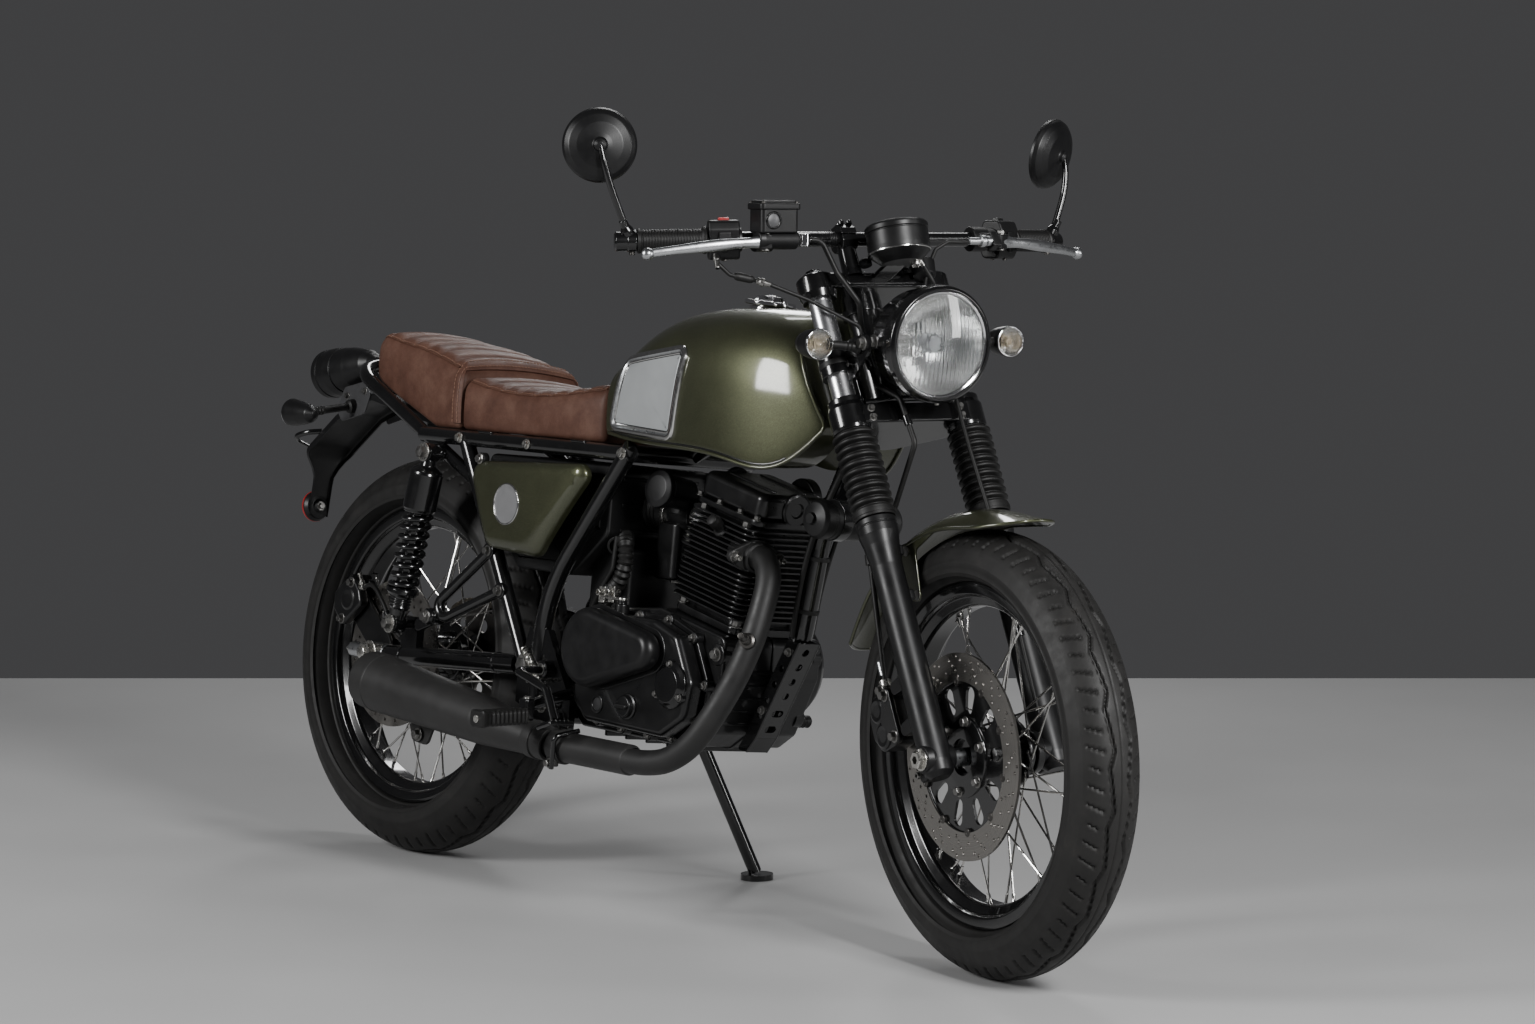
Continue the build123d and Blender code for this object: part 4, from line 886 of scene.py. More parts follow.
P = Piece("fork_boots", "steering", F, ("fork_boots",), "black_rubber")
BN = 10
prof = [(362.4, 21), (362.4, 30.2, .8), (363, 30.6, .6), (376, 30.6, 1.2), (377.5, 27.0, 1.5)]
pa = (497.0 - 379.0) / BN
for k in range(BN):
    a0 = 379.0 + k * pa
    prof += [(a0 + pa * .08, 25.6, 1.2), (a0 + pa * .36, 32.2, 2.0), (a0 + pa * .66, 32.2, 2.0), (a0 + pa * .96, 25.6, 1.2)]
prof += [(498, 27, .6), (500.2, 26.4, .6), (500.2, 18)]
for s in (-1, 1):
    P.add(lathe(sp(0, 0, s * LEG_Y), UP, round2(prof, 1, 3), 64), RUBBER)
    P.add(lathe(sp(0, 0, s * LEG_Y), UP, round2([(366.5, 30.4), (366.5, 31.5, .5), (372.5, 31.5, .5), (372.5, 30.4)], .4, 2), 64), RUBBER)
P.done()

# stanchions with a plain fork cap at the top
P = Piece("fork_stanchions", "steering", F, ("fork_stanchions",), "fork_chrome")
for s in (-1, 1):
    o = sp(0, 0, s * LEG_Y)
    P.add(lathe(o, UP, round2([(362.5, 0), (362.5, 17.4), (749, 17.4, .8), (750, 16)], .5, 2), 64), STANCHION)
    P.add(lathe(o, UP, round2([(742, 17.2), (750, 17.2, 1), (751, 15, .8), (751, 11.5)], .6, 2), 40), GLOSS)
    P.add(lathe(o, UP, [(750.5, 0), (750.5, 11.5), (755, 11.5), (756.2, 10), (756.2, 0)], 6), GLOSS)
P.done()


def clamp_outline(r_leg, r_mid, back=OFFSET):
    return hull2([(0, LEG_Y, r_leg), (0, -LEG_Y, r_leg), (-back, 0, r_mid)], 40)


P = Piece("lower_fork_clamp", "steering", F, ("lower_fork_clamp",), "frame_black")
pl = (sp(0), FW, LT, UP)
P.add(prism(clamp_outline(28, 32), pl, 503, 533, 3.2, 3), GLOSS)
P.add(lathe(sp(0, -OFFSET), UP, round2([(520, 0), (520, 20), (742, 20, 1), (742, 0)], 1, 2), 40), DARK_STEEL)
for s in (-1, 1):
    P.add(lathe(sp(0, 0, s * LEG_Y), UP, round2([(496, 18), (498, 28.6, 1.2), (503, 29.4, 1), (533, 29.4, 1.2), (540, 26.5, 2), (548, 26.5, 1.2), (549, 17.6)], 1, 3), 56), GLOSS)
    for a in (511, 525):
        hex_head(P, sp(a, 20, s * (LEG_Y - 22)) + FW * 7, FW, 4.6, 5)
    P.add(rbox((sp(518, 18, s * (LEG_Y - 22)), FW, LT, UP), (20, 16, 26), 2.5), GLOSS)
    hex_head(P, sp(518, -50, s * 34), -FW, 5, 5)
# bridge rail and wiring clip in front
P.add(tube(bend3([sp(536, 20, -78), sp(540, 26, -40), sp(540, 26, 40), sp(536, 20, 78)], 20), 5, 10), GLOSS)
P.done()

P = Piece("upper_fork_clamp", "steering", F, ("upper_fork_clamp",), "frame_black")
P.add(prism(clamp_outline(27, 29), pl, 718, 742, 3.0, 3), GLOSS)
P.add(lathe(sp(0, -OFFSET), UP, round2([(741, 0), (741, 24, 1), (744, 24, 1), (744, 20), ], .5, 2), 32), GLOSS)
P.add(lathe(sp(0, -OFFSET), UP, [(743, 0), (743, 19), (751, 19), (752, 16.5), (752, 7), (749, 6.5), (749, 0)], 6), ZINC)
for s in (-1, 1):
    P.add(lathe(sp(0, 0, s * LEG_Y), UP, round2([(706, 17.6), (707, 25, 1.4), (718, 28, 1.4), (742, 28, 1.8), (745, 25, 1), (745, 17.4)], 1, 3), 56), GLOSS)
    hex_head(P, sp(730, -26, s * (LEG_Y - 4)), -FW, 5, 6)
    P.add(lathe(sp(735, 24, s * 46), UP, round2([(0, 15.5), (10, 14.5, 3), (46, 13.5, 4), (62, 14)], 1, 3), 32), GLOSS)
    for lo, hi in ((-14.0, 0.6), (1.4, 14.0)):          # split handlebar clamp
        h = 24.0
        ol = [(-19, 0), (19, 0), (19, 9, 5), (12, 19, 6), (-12, 19, 6), (-19, 9, 5)]
        sg = -1 if lo < 0 else 1
        ol = [(p[0], sg * p[1] + (0.7 * sg), *(p[2:])) for p in ol]
        P.add(prism(round2(ol, 1.5, 3, True), (sp(797, 24, s * 46), FW, UP, LT), -13, 13, 1.5), GLOSS)
    for b in (-14, 14):
        cap_screw(P, sp(814.5, 24 + b, s * 46 - 6.5), UP, 4.4, 5, GLOSS)
        cap_screw(P, sp(814.5, 24 + b, s * 46 + 6.5), UP, 4.4, 5, GLOSS)
P.add(rbox((sp(730, 14, 0), FW, LT, UP), (30, 120, 16), 3), GLOSS)
P.done()

P = Piece("handlebar", "steering", F, ("handlebar",), "frame_black")
BAR_MID, BAR_END = (797.0, 24.0), (828.0, -44.0, 362.0)
bar_path = bend3([sp(828, -44, -362), sp(797, 24, -190), sp(797, 24, 190), sp(828, -44, 362)], 90, 14)
P.add(tube(bar_path, 11, 32), GLOSS)
for s in (-1, 1):                                       # rubbed knurl rings by the clamps
    for k in range(4):
        P.add(lathe(sp(797, 24, s * (64 + 3 * k)), LT, [(-1, 11), (-.6, 11.25), (.6, 11.25), (1, 11)], 32), SATIN)
P.done()


def bar_point(y):
    f = (abs(y) - 190.0) / (362.0 - 190.0)
    return sp(797 + f * 31, 24 + f * -68, y)


P = Piece("handlebar_grips", "steering", F, ("handlebar_grips",), "black_rubber")
for s in (-1, 1):
    p, q = bar_point(s * 258), bar_point(s * 350)
    n = np.linalg.norm(q - p)
    pr = [(0, 11.3), (0, 20, 1.2), (5, 20, 1.5), (7.5, 16.2, 1.2)]
    k = 10.0
    while k < n - 10:
        pr += [(k, 16.6, .5), (k + 2.2, 16.6, .5), (k + 2.6, 15.7, .3), (k + 3.8, 15.7, .3)]
        k += 4.2
    pr += [(n - 6, 16.4, .5), (n - 4.4, 17.8, .8), (n - 0.6, 17.8, .8), (n, 11.4)]
    P.add(lathe(p, q - p, round2(pr, .4, 1), 48), RUBBER)
P.done()

# ---------------------------------------------------------------- hand controls
P = Piece("handlebar_controls", "steering", F, ("handlebar_controls",), "satin_alloy")
for s in (-1, 1):
    d = unit(bar_point(s * 257) - bar_point(s * 214))
    # switch housing: two clamshell halves
    p = bar_point(s * 235.5)
    x = unit(EZ - d * (EZ @ d))
    fw = np.cross(x, d)
    for sg in (-1, 1):
        ol = [(-18, 0.5), (18, 0.5), (20, 15, 7), (14, 28.5, 8), (-14, 28.5, 8), (-20, 15, 7)]
        ol = [(q[0], sg * q[1], *q[2:]) for q in ol]
        P.add(prism(round2(ol, 1, 3, True), (p, fw, x, d), -22.5, 22.5, 3.5, 4), PLASTIC)
    P.add(lathe(p - d * 26, d, round2([(0, 11.2), (0, 17, 1), (5, 18, 1), (5, 11.2)], 1, 2), 36), PLASTIC)
    for k in (-1, 1):
        cap_screw(P, p + fw * 11 * k - x * 28, -x, 3, 2.5, DARK_STEEL)
    # switches
    P.add(rbox((p + x * 29 + fw * 3, d, fw, x), (16, 11, 7), 2), RED if s < 0 else PLASTIC)
    for sg in (-1, 1):
        P.add(rbox((p + fw * 20 * sg + x * 6, x, d, fw), (11, 18, 7), 2.2), PLASTIC)
        P.add(lathe(p + fw * 19 * sg - x * 12, fw * sg, round2([(0, 0), (0, 7, 1), (5, 6.4, 1.2), (5.4, 0)], 1, 3), 24), PLASTIC)
    # lever clamp round the bar, arm and pivot
    pv = sp(776, 58, s * 200)
    P.add(lathe(sp(797, 24, s * 170), (0, s, 0), round2([(0, 11.2), (0, 18.5, 1.5), (26, 18.5, 1.5), (26, 11.2)], 1, 3), 40), PLASTIC)
    arm = sp(797, 24, s * 186)
    ax = unit(pv - arm)
    ay = unit(np.cross(EZ, ax))
    az = np.cross(ax, ay)
    P.add(prism(round2([(-4, -13), (34, -13, 4), (50, -10, 6), (50, 10, 6), (34, 13, 4), (-4, 13)], 3, 3, True), (arm, ax, ay, az), -11, 11, 2.5, 3), PLASTIC)
    P.add(lathe(pv - EZ * 13, EZ, round2([(0, 0), (0, 6.6, .6), (26, 6.6, .6), (26, 0)], .6, 2), 24), BOLT)
    hex_head(P, pv + EZ * 11.6, EZ, 5.4, 4)
    # satin lever with a ball end
    path = smooth_path([sp(776, 62, s * 192), sp(776, 56, s * 214), sp(777, 50, s * 246), sp(778.5, 37, s * 290), sp(780, 22, s * 335), sp(781, 12, s * 361)], 60)
    q = np.linspace(0, 1, len(path))
    rad = 7.6 - 2.0 * q + 0.9 * np.sin(q * pi * 4.2) * (1 - q) + 0.8 * np.exp(-((q - 0.55) / 0.2) ** 2)
    P.add(tube(path, rad, 20, squash=(0.78, 1.12)), SATIN_ALLOY)
    c = sp(781, 9.4, s * 367)
    P.add(lathe(c, path[-1] - path[-3], [(-9.5, 4), (-7.5, 5.8), (-4, 8.2), (0, 9.2), (4, 8.2), (7.2, 5.6), (9.2, 0)], 28), SATIN_ALLOY)
# brake cylinder and its level reservoir, right side
P.add(lathe(sp(780, 56, -212), (0, 1, 0), round2([(0, 0), (0, 12, 2), (8, 14, 2), (62, 14, 2), (66, 10, 1), (70, 9, 1), (70, 0)], 1, 3), 36), PLASTIC)
ro = sp(788, 56, -182)
P.add(prism(rrect(41, 61, 7, 4), (ro, EX, LT, EZ), 3, 38, 2.2, 3), PLASTIC)
P.add(prism(rrect(46.5, 66.5, 7, 4), (ro, EX, LT, EZ), 36, 45.5, 2.2, 3), PLASTIC)
P.add(prism(rrect(38, 57, 6, 4), (ro, EX, LT, EZ), 45, 49.4, 1.4, 3), PLASTIC)
P.add(rbox((ro + EZ * 5, EX, LT, EZ), (22, 40, 16), 4), PLASTIC)
for bx in (-17, 17):
    cap_screw(P, ro + EX * bx + LT * 27 + EZ * 45.4, EZ, 3.2, 2.6, DARK_STEEL)
    cap_screw(P, ro - EX * bx - LT * 27 + EZ * 45.4, EZ, 3.2, 2.6, DARK_STEEL)
so = ro + EX * 20.3 - LT * 12 + EZ * 21
P.add(lathe(so, EX, round2([(-1, 13), (1.4, 13, .6), (2.4, 11.8, .5), (2.4, 9.8, .4), (.8, 9.4)], .4, 2), 40), GLOSS)
P.add(lathe(so, EX, [(0.6, 9.6), (1.4, 6), (1.8, 0)], 28), GREY)
# hose fitting
P.add(lathe(sp(780, 56, -146), (0, 1, 0), round2([(0, 0), (0, 9, 1), (5, 9, 1), (6, 6.4, .6), (20, 6.4, .8), (20, 0)], .8, 2), 24), CHROME)
P.add(lathe(sp(780, 56, -134) - EZ * 9, EZ, round2([(0, 0), (0, 9, .8), (18, 9, .8), (18, 0)], .8, 2), 24), CHROME)
# clutch side: adjuster barrel
P.add(lathe(sp(776, 60, 182), (0, -1, 0.0), round2([(0, 0), (0, 7.5, 1), (8, 7.5, 1), (9, 6, .5), (12, 9, .6), (19, 9, .6), (20, 5.5, .6), (38, 5.5, .6), (40, 3)], .5, 2), 24), SATIN_ALLOY)
P.add(rbox((sp(776, 58, 188), FW, LT, UP), (20, 16, 22), 3), PLASTIC)
P.done()

# ---------------------------------------------------------------- mirrors
P = Piece("mirrors", "steering", F, ("mirrors",), "black_plastic")
for s in (-1, 1):
    head, back = (sp(957, 6, -400), unit(A(0.90, -0.43, 0.02))) if s < 0 else (sp(955, -3, 380), unit(A(0.87, 0.44, -0.22)))
    joint, foot = head + back * 22, bar_point(s * 357)
    knee = foot + (joint - foot) * 0.55 + A(6, s * 8, 0)
    stem = smooth_path([foot, foot * 0.7 + knee * 0.3 + A(2, s * 2, 0), knee, knee * 0.4 + joint * 0.6 + A(2, s * 2, 0), joint], 40)
    P.add(tube(stem, np.linspace(5.4, 4.6, len(stem)), 16), GLOSS)
    P.add(lathe(foot, stem[6] - foot, round2([(8, 0), (8, 10, 1), (20, 9.4, 1), (26, 6.5, 1.5), (36, 6, 1), (36, 0)], 1, 3), 24), GLOSS)
    e0 = bar_point(s * 351)
    P.add(lathe(e0, bar_point(s * 363) - e0, round2([(0, 11.3), (0, 16, 1.2), (12, 16, 1.2), (13, 14.4, .6), (29, 14.4, 1.5), (32, 11, 1.5), (32, 0)], 1, 3), 40), GLOSS)
    P.add(lathe(e0 + unit(bar_point(s * 363) - e0) * 6 - EZ * 20, EZ, round2([(0, 0), (0, 4.2, .6), (8, 4.2), (8, 0)], .5, 2), 16), DARK_STEEL)
    P.add(lathe(head, back, round2([(-6.4, 50.4), (-7.8, 51.2, .4), (-8.6, 52.4, .8), (-7.4, 54, 1.2), (-3, 54, 2), (3, 51.5, 6), (9, 45, 10), (14, 33, 10), (16.5, 18, 6), (18, 11, 3), (20, 10, 2), (24, 8.6, 2), (26.5, 4, 2), (26.5, 0)], 2, 4), 80), SATIN)
    P.add(lathe(head, back, [(-6.6, 50.6), (-7.0, 34), (-7.3, 16), (-7.4, 0)], 64), MIRROR)
P.done()

# ---------------------------------------------------------------- instrument
P = Piece("instrument", "steering", F, ("instrument",), "black_plastic")
GD = unit(UP * 52 + FW * 11)
GX = unit(np.cross(LT, GD))
o = sp(728, 84)
P.add(lathe(o, GD, round2([(0, 0), (0, 28, 3), (7, 37, 8), (13, 43.6, 3), (15, 45.4, 1), (17, 45.4, .8)], 1, 4), 88), SATIN)
P.add(lathe(o, GD, round2([(14.6, 45.2), (15.2, 46.6, .5), (17.2, 46.6, .5), (17.8, 45.2)], .4, 3), 88), ALLOY)
P.add(lathe(o, GD, round2([(17, 45.2), (24, 45.6, 3), (45, 45.6, 1), (45.6, 44.4, .5), (46.8, 44.4, .5), (47.4, 46.4, 1), (54, 46.6, 2.5), (57.4, 43.6, 1.5), (57.4, 41, .6), (54, 40)], 1, 3), 88), SATIN)
P.add(lathe(o, GD, [(51, 40.6), (51, 0)], 64), DIAL)
for k in range(41):                                     # plain scale marks
    q = radians(225 - 270 * k / 40)
    dv = GX * sin(q) + LT * -cos(q)
    L = 7.0 if k % 5 == 0 else 3.6
    P.add(rbox((o + GD * 51.2 + dv * (37 - L / 2), dv, np.cross(GD, dv), GD), (L, 1.1 if k % 5 == 0 else 0.6, 0.3), 0.1, 1), WHITE)
nd = unit(GX * sin(radians(225)) + LT * -cos(radians(225)))
P.add(rbox((o + GD * 52 + nd * 12, nd, np.cross(GD, nd), GD), (32, 1.4, 0.8), 0.3, 1), RED)
P.add(lathe(o + GD * 51, GD, [(0, 5), (2.2, 5), (2.8, 4), (2.8, 0)], 24), PLASTIC)
P.add(lathe(o, GD, [(54.8, 41.2), (55.8, 20), (56.1, 0)], 64), LENS)
P.add(rbox((sp(734, 58), FW, LT, UP), (66, 34, 6), 2), GLOSS)
for s in (-1, 1):
    hex_head(P, sp(737, 60, s * 10), UP, 4, 3.5)
P.add(lathe(sp(720, 92, 20), UP, round2([(0, 0), (0, 7, 1), (10, 8.5, 1), (14, 8.5)], .6, 2), 20), ZINC)
# key switch beside the dial
P.add(lathe(sp(726, 44, 62), unit(UP + LT * 0.15), round2([(0, 0), (0, 17, 2), (24, 17, 2), (26, 14, 1), (27, 0)], 1, 3), 32), PLASTIC)
for s in (-1, 1):                                       # warning lamps beside the dial
    P.add(lathe(sp(742, 46, s * 34), UP, round2([(0, 0), (0, 9, 1), (9, 9, 2), (11, 6, 1), (11, 0)], 1, 2), 24), PLASTIC)
P.done()

# ---------------------------------------------------------------- headlamp
LC, LD = A(528, 0, 887), unit(A(cos(radians(3)), 0, -sin(radians(3))))
P = Piece("headlamp_shell", "steering", F, ("headlamp_shell",), "frame_black")
P.add(lathe(LC, LD, round2([(-122, 0), (-121, 18, 6), (-112, 42, 14), (-92, 62, 20), (-62, 75, 20), (-26, 80, 4), (-22, 80.2)], 4, 5), 96), GLOSS)
P.add(lathe(LC, LD, round2([(-22, 78), (-21, 84.6, 1.5), (-9, 85.4, 4), (1.5, 84, 3), (5.4, 80, 2), (5.2, 76.6, .8), (1.6, 75.4), (-6, 74.6)], 1.2, 4), 112), GLOSS)
P.add(lathe(LC, LD, round2([(-2, 75.6), (3.4, 76.0, .6), (4.2, 75.0, .5), (3.0, 72.6, .4), (-4, 72.2)], .4, 3), 112), CHROME)
P.add(lathe(LC, LD, [(-5, 73.0), (-12, 70.5), (-24, 64), (-38, 54), (-50, 40), (-57, 26), (-60, 12), (-61, 0)], 96), REFLECTOR)
P.add(lathe(LC, LD, round2([(-60, 0), (-60, 9, 1), (-34, 9, 2), (-26, 7.5, 3), (-23, 0)], 1, 3), 28), REFLECTOR)
P.add(lathe(LC, LD, round2([(-44, 13), (-30, 14.5, 1), (-18, 14.5, 2), (-15, 11, 1), (-15, 0)], 1, 3), 32), SATIN_ALLOY)
for s in (-1, 1):
    hex_head(P, LC - LD * 54 + LT * s * 76.5, (0, s, 0), 8, 7)
    P.add(lathe(LC - LD * 54 + LT * s * 72, (0, s, 0), [(0, 12), (5, 12), (6, 10.5), (6, 0)], 24), GLOSS)
cap_screw(P, LC - LD * 8 + A(0, 0, -85) , (0, 0, -1), 3.4, 2.6)
P.done()
P = Piece("headlamp_lens", "steering", F, ("headlamp_lens",), "lamp_glass", 60)
nr, na = 30, 180
x, y, z = LT, np.cross(LD, LT), LD
rings_f, rings_b = [], []
for k in range(nr + 1):
    r = 73.0 * k / nr
    a = np.linspace(0, 2 * pi, na, endpoint=False)
    u, v = r * np.cos(a), r * np.sin(a)
    f = 9.6 * (1 - (r / 73.0) ** 2) + 1.2
    core = smooth_step((26 - np.hypot(u, v)) / 6)
    flute = 0.75 * np.cos(2 * pi * u / 7.0) * (1 - core) * smooth_step((70 - r) / 4) + 0.35 * np.cos(2 * pi * v / 16.0) * smooth_step((np.abs(u) - 30) / 8)
    flute = flute + 0.55 * np.cos(2 * pi * u / 4.4) * core
    rings_f.append(LC + np.outer(u, x) + np.outer(v, y) + np.outer(np.full(na, f), z))
    rings_b.append(LC + np.outer(u, x) + np.outer(v, y) + np.outer(f - 3.2 + flute, z))
allr = rings_f[1:] + rings_b[:0:-1]
V = np.concatenate([rings_f[0][:1]] + allr + [rings_b[0][:1]])
Fc = []
for i in range(na):
    j = (i + 1) % na
    Fc.append((0, 1 + i, 1 + j))
m = len(allr)
for k in range(m - 1):
    for i in range(na):
        j = (i + 1) % na
        Fc.append((1 + k * na + i, 1 + (k + 1) * na + i, 1 + (k + 1) * na + j, 1 + k * na + j))
e = 1 + m * na
for i in range(na):
    j = (i + 1) % na
    Fc.append((e, 1 + (m - 1) * na + j, 1 + (m - 1) * na + i))
P.add((V, Fc), LENS)
P.done(weighted=False)


def bullet(P, c, d, back, lens_r=20.5, lens=None, bulb=None):
    """A turn signal: bullet housing, bright bezel, patterned lens over its bulb."""
    lens, bulb = lens or LENS, bulb or AMBER
    P.add(lathe(c, d, round2([(-back, 0), (-back + 1, 6, 3), (-back + 12, 14.5, 8), (-30, 19.6, 10), (-8, 22.6, 6), (-1, 23, 1), (.6, 22.4, .6), (.2, 21.2)], 2, 4), 56), SATIN)
    P.add(lathe(c, d, round2([(-2, 22.2), (1.8, 22.3, .6), (2.4, 21.0, .5), (0.6, 20.2)], .4, 3), 56), CHROME)
    P.add(lathe(c, d, [(-1, 20.6), (-6, 19), (-12, 14), (-16, 7), (-17, 0)], 40), REFLECTOR)
    P.add(lathe(c, d, round2([(-15, 0), (-15, 4.6), (-6, 5.2, 2), (-3, 3, 1), (-2.4, 0)], 1, 3), 20), bulb)
    pr = [(-2, lens_r)]
    for k in range(6):
        r = lens_r * (1 - (k + 0.5) / 6.4)
        h = 1.6 + 3.4 * (1 - (r / lens_r) ** 2)
        pr += [(h + 0.5, r + 0.9), (h + 0.5, r - 0.9), (h - 0.3, r - 1.3)]
    pr += [(5.2, 0)]
    pr = [(min(t, 5.2), max(r, 0.0)) for t, r in pr]
    P.add(lathe(c, d, pr, 48), lens)


P = Piece("front_turn_signals", "steering", F, ("front_turn_signals",), "black_plastic")
for s in (-1, 1):
    bullet(P, A(462, s * 161, 887), (1, 0, 0), 57)
    fp = (sp(0, 0, s * 90), FW, UP, LT)
    P.add(lathe(sp(0, 0, s * LEG_Y), UP, round2([(586, 17.6), (586, 24.5, 1.2), (622, 24.5, 1.2), (622, 17.6)], 1, 3), 48), GLOSS)
    P.add(lathe(sp(0, 0, s * LEG_Y), UP, round2([(600, 24.4), (600, 25.4, .5), (608, 25.4, .5), (608, 24.4)], .4, 2), 48), RUBBER)
    ol = round2([(8, 576, 6), (30, 572, 8), (86, 590, 10), (92, 612, 10), (60, 624, 10), (8, 630, 6)], 6, 4, True)
    P.add(drilled(ol, [circle(5.5, 18, 30, 592), circle(4.5, 16, 32, 614)], (sp(0, 0, s * 90) + A(0, 0, 0), FW, UP, -LT), -2.4, 2.4), GLOSS)
    hex_head(P, sp(605, 76, s * 92.4), (0, s, 0), 7.5, 7)
    P.add(lathe(sp(605, 76, s * 76.5), (0, s, 0), [(0, 0), (0, 9), (12, 9), (13.4, 7), (13.4, 0)], 24), GLOSS)
    # rubber stalk
    p, q = sp(605, 62, s * 92.4), A(449, s * 143, 887)
    P.add(lathe(p, q - p, round2([(0, 10), (4, 10, 1), (6, 8, 1), (12, 6.6, 1), (15, 7.4, .6), (18, 6.6, .6), (21, 7.4, .6), (24, 6.6, .6), (np.linalg.norm(q - p) - 4, 6.4, 1), (np.linalg.norm(q - p) + 4, 9)], .6, 2), 24), RUBBER)
    hex_head(P, sp(598, 20, s * 92.4), (0, s, 0), 5, 4.5)
P.done()

# ---------------------------------------------------------------- front mudguard
P = Piece("front_fender", "steering", F, ("front_fender",), "green_paint")
nu, nv = 84, 40
T0, T1 = 73.5, 160.0


def fender_point(u, v, lift=0.0):
    e0 = 9.5 * abs(v) ** 3.0
    e1 = 4.0 * abs(v) ** 3.0
    t = radians((T0 + e0) + ((T1 - e1) - (T0 + e0)) * u)
    flare = 7.0 * max(0.0, 1 - u / 0.16) ** 2
    tail = 3.0 * max(0.0, 1 - (1 - u) / 0.14) ** 2
    r = 345.0 - 24.5 * abs(v) ** 2.3 + flare + tail + lift
    return F + A(r * cos(t), 60.0 * v, r * sin(t))


G = [[fender_point(i / nu, -1 + 2 * j / nv, 0) for j in range(nv + 1)] for i in range(nu + 1)]
G2 = [[fender_point(i / nu, -1 + 2 * j / nv, -2.4) for j in range(nv + 1)] for i in range(nu + 1)]
V = np.array(G + G2).reshape(-1, 3)
w, n = nv + 1, (nu + 1) * (nv + 1)
Fc = []
for i in range(nu):
    for j in range(nv):
        q = (i * w + j, i * w + j + 1, (i + 1) * w + j + 1, (i + 1) * w + j)
        Fc.append(q)
        Fc.append(tuple(k + n for k in reversed(q)))
P.add((V, Fc), PAINT)
rim = [G[0][j] for j in range(nv + 1)] + [G[i][nv] for i in range(1, nu + 1)] + [G[nu][j] for j in range(nv - 1, -1, -1)] + [G[i][0] for i in range(nu - 1, 0, -1)]
P.add(tube(np.array(rim) - UP * 0.6, 2.7, 10, closed=True), PAINT)
for s in (-1, 1):
    pts = []
    for t in np.linspace(101, 134, 14):
        pts.append((321.5 * cos(radians(t)), 321.5 * sin(radians(t))))
    lug = sp(246, 0) - F
    lug2 = sp(318, 6) - F
    pts += [(lug2[0] - 26, lug2[2] + 2), (lug[0] - 12, lug[2] - 10), (lug[0] + 12, lug[2] - 10), (lug2[0] + 22, lug2[2] - 4)]
    ol = round2([(x, z, 9) for x, z in pts], 9, 3, True)
    pln = (F + A(0, s * 59.0, 0), A(1, 0, 0), A(0, 0, 1), A(0, -1, 0))
    P.add(prism(ol, pln, -1.5, 1.5, 0.9, 2), PAINT)
    for a in (244, 312):
        hex_head(P, sp(a, 3, s * 69) - LT * s * 6.6, (0, -s, 0), 5.5, 4)
        hex_head(P, sp(a, 3, s * 80.6), (0, s, 0), 5.5, 5)
P.done()

# ---------------------------------------------------------------- front caliper
P = Piece("front_caliper", "steering", F, ("front_caliper",), "engine_black")
CP = lambda y: (sp(0, 0, y), FW, UP, -LT)
outer = round2([(-92, 56, 12), (-132, 58, 14), (-146, 82, 16), (-146, 112, 16), (-130, 138, 14), (-92, 138, 12), (-82, 120, 10), (-82, 74, 10)], 10, 5, True)
P.add(prism(outer, CP(-60.5), 0, 36, 5, 4), CAST)
P.add(prism(round2([(-94, 62, 8), (-140, 70, 10), (-140, 124, 10), (-94, 132, 8)], 8, 4, True), CP(-31), 0, 8.6, 2.5, 3), CAST)
P.add(prism(round2([(-126, 66, 6), (-146, 76, 6), (-146, 120, 6), (-126, 130, 6)], 6, 4, True), CP(-31.5), 0, 60, 3, 3), CAST)
for a in (78, 116):                                     # piston bores
    P.add(lathe(sp(a, -116, -96), (0, -1, 0), round2([(-2, 19), (2.4, 18.4, 1.4), (4, 15, 1), (3.2, 9, .6), (3.2, 0)], 1, 3), 36), CAST)
P.add(prism(hull2([(-84, 66, 11), (-84, 128, 11), (-104, 97, 8)], 22), CP(-92), 0, 8, 2, 3), CAST)
for a in (66, 128):
    hex_head(P, sp(a, -84, -100), (0, -1, 0), 7, 7)
P.add(lathe(sp(136, -132, -78), UP, round2([(0, 5.5), (6, 5.5, 1), (7, 3.4, .5), (16, 3.4, .6), (17, 4.4, .5), (20, 4.4, .5), (21, 2.6)], .4, 2), 16), ZINC)
P.add(lathe(sp(150, -96, -86) - UP * 6, UP, [(0, 0), (0, 9), (10, 9), (11, 7.5), (11, 0)], 22), ZINC)
hex_head(P, sp(140, -96, -96), (0, -1, 0), 6.5, 6)
P.add(lathe(sp(162, -96, -86), UP, round2([(0, 5.4), (20, 5.4, 1), (22, 4.4)], .6, 2), 16), SATIN_ALLOY)
P.done()

P = Piece("front_axle", "steering", F, ("front_axle",), "zinc_steel")
for s in (-1, 1):
    P.add(lathe(F, (0, s, 0), round2([(47, 9), (47 if s < 0 else 53, 13, 1), (73.6, 13, 1), (73.6, 9)], 1, 2), 36), SATIN_ALLOY)
    P.add(lathe(F + LT * s * 120.3, (0, s, 0), round2([(0, 9), (0, 16, .8), (2.4, 16, .8), (2.4, 9)], .5, 2), 32), ZINC)
    P.add(lathe(F + LT * s * 122.6, (0, s, 0), [(0, 9), (0, 13.4), (7.4, 13.4), (9.2, 11.6), (9.2, 6.2), (-40, 6.0), (-40, 0)], 6), ZINC)
P.add(lathe(F, LT, [(-121, 8.4), (121, 8.4)], 32), ZINC)
# speedometer drive on the left of the hub
P.add(lathe(F, LT, round2([(53.4, 12), (53.4, 33, 2), (66, 31, 3), (71, 20, 2), (71, 12)], 1.5, 3), 48), CAST)
P.done()

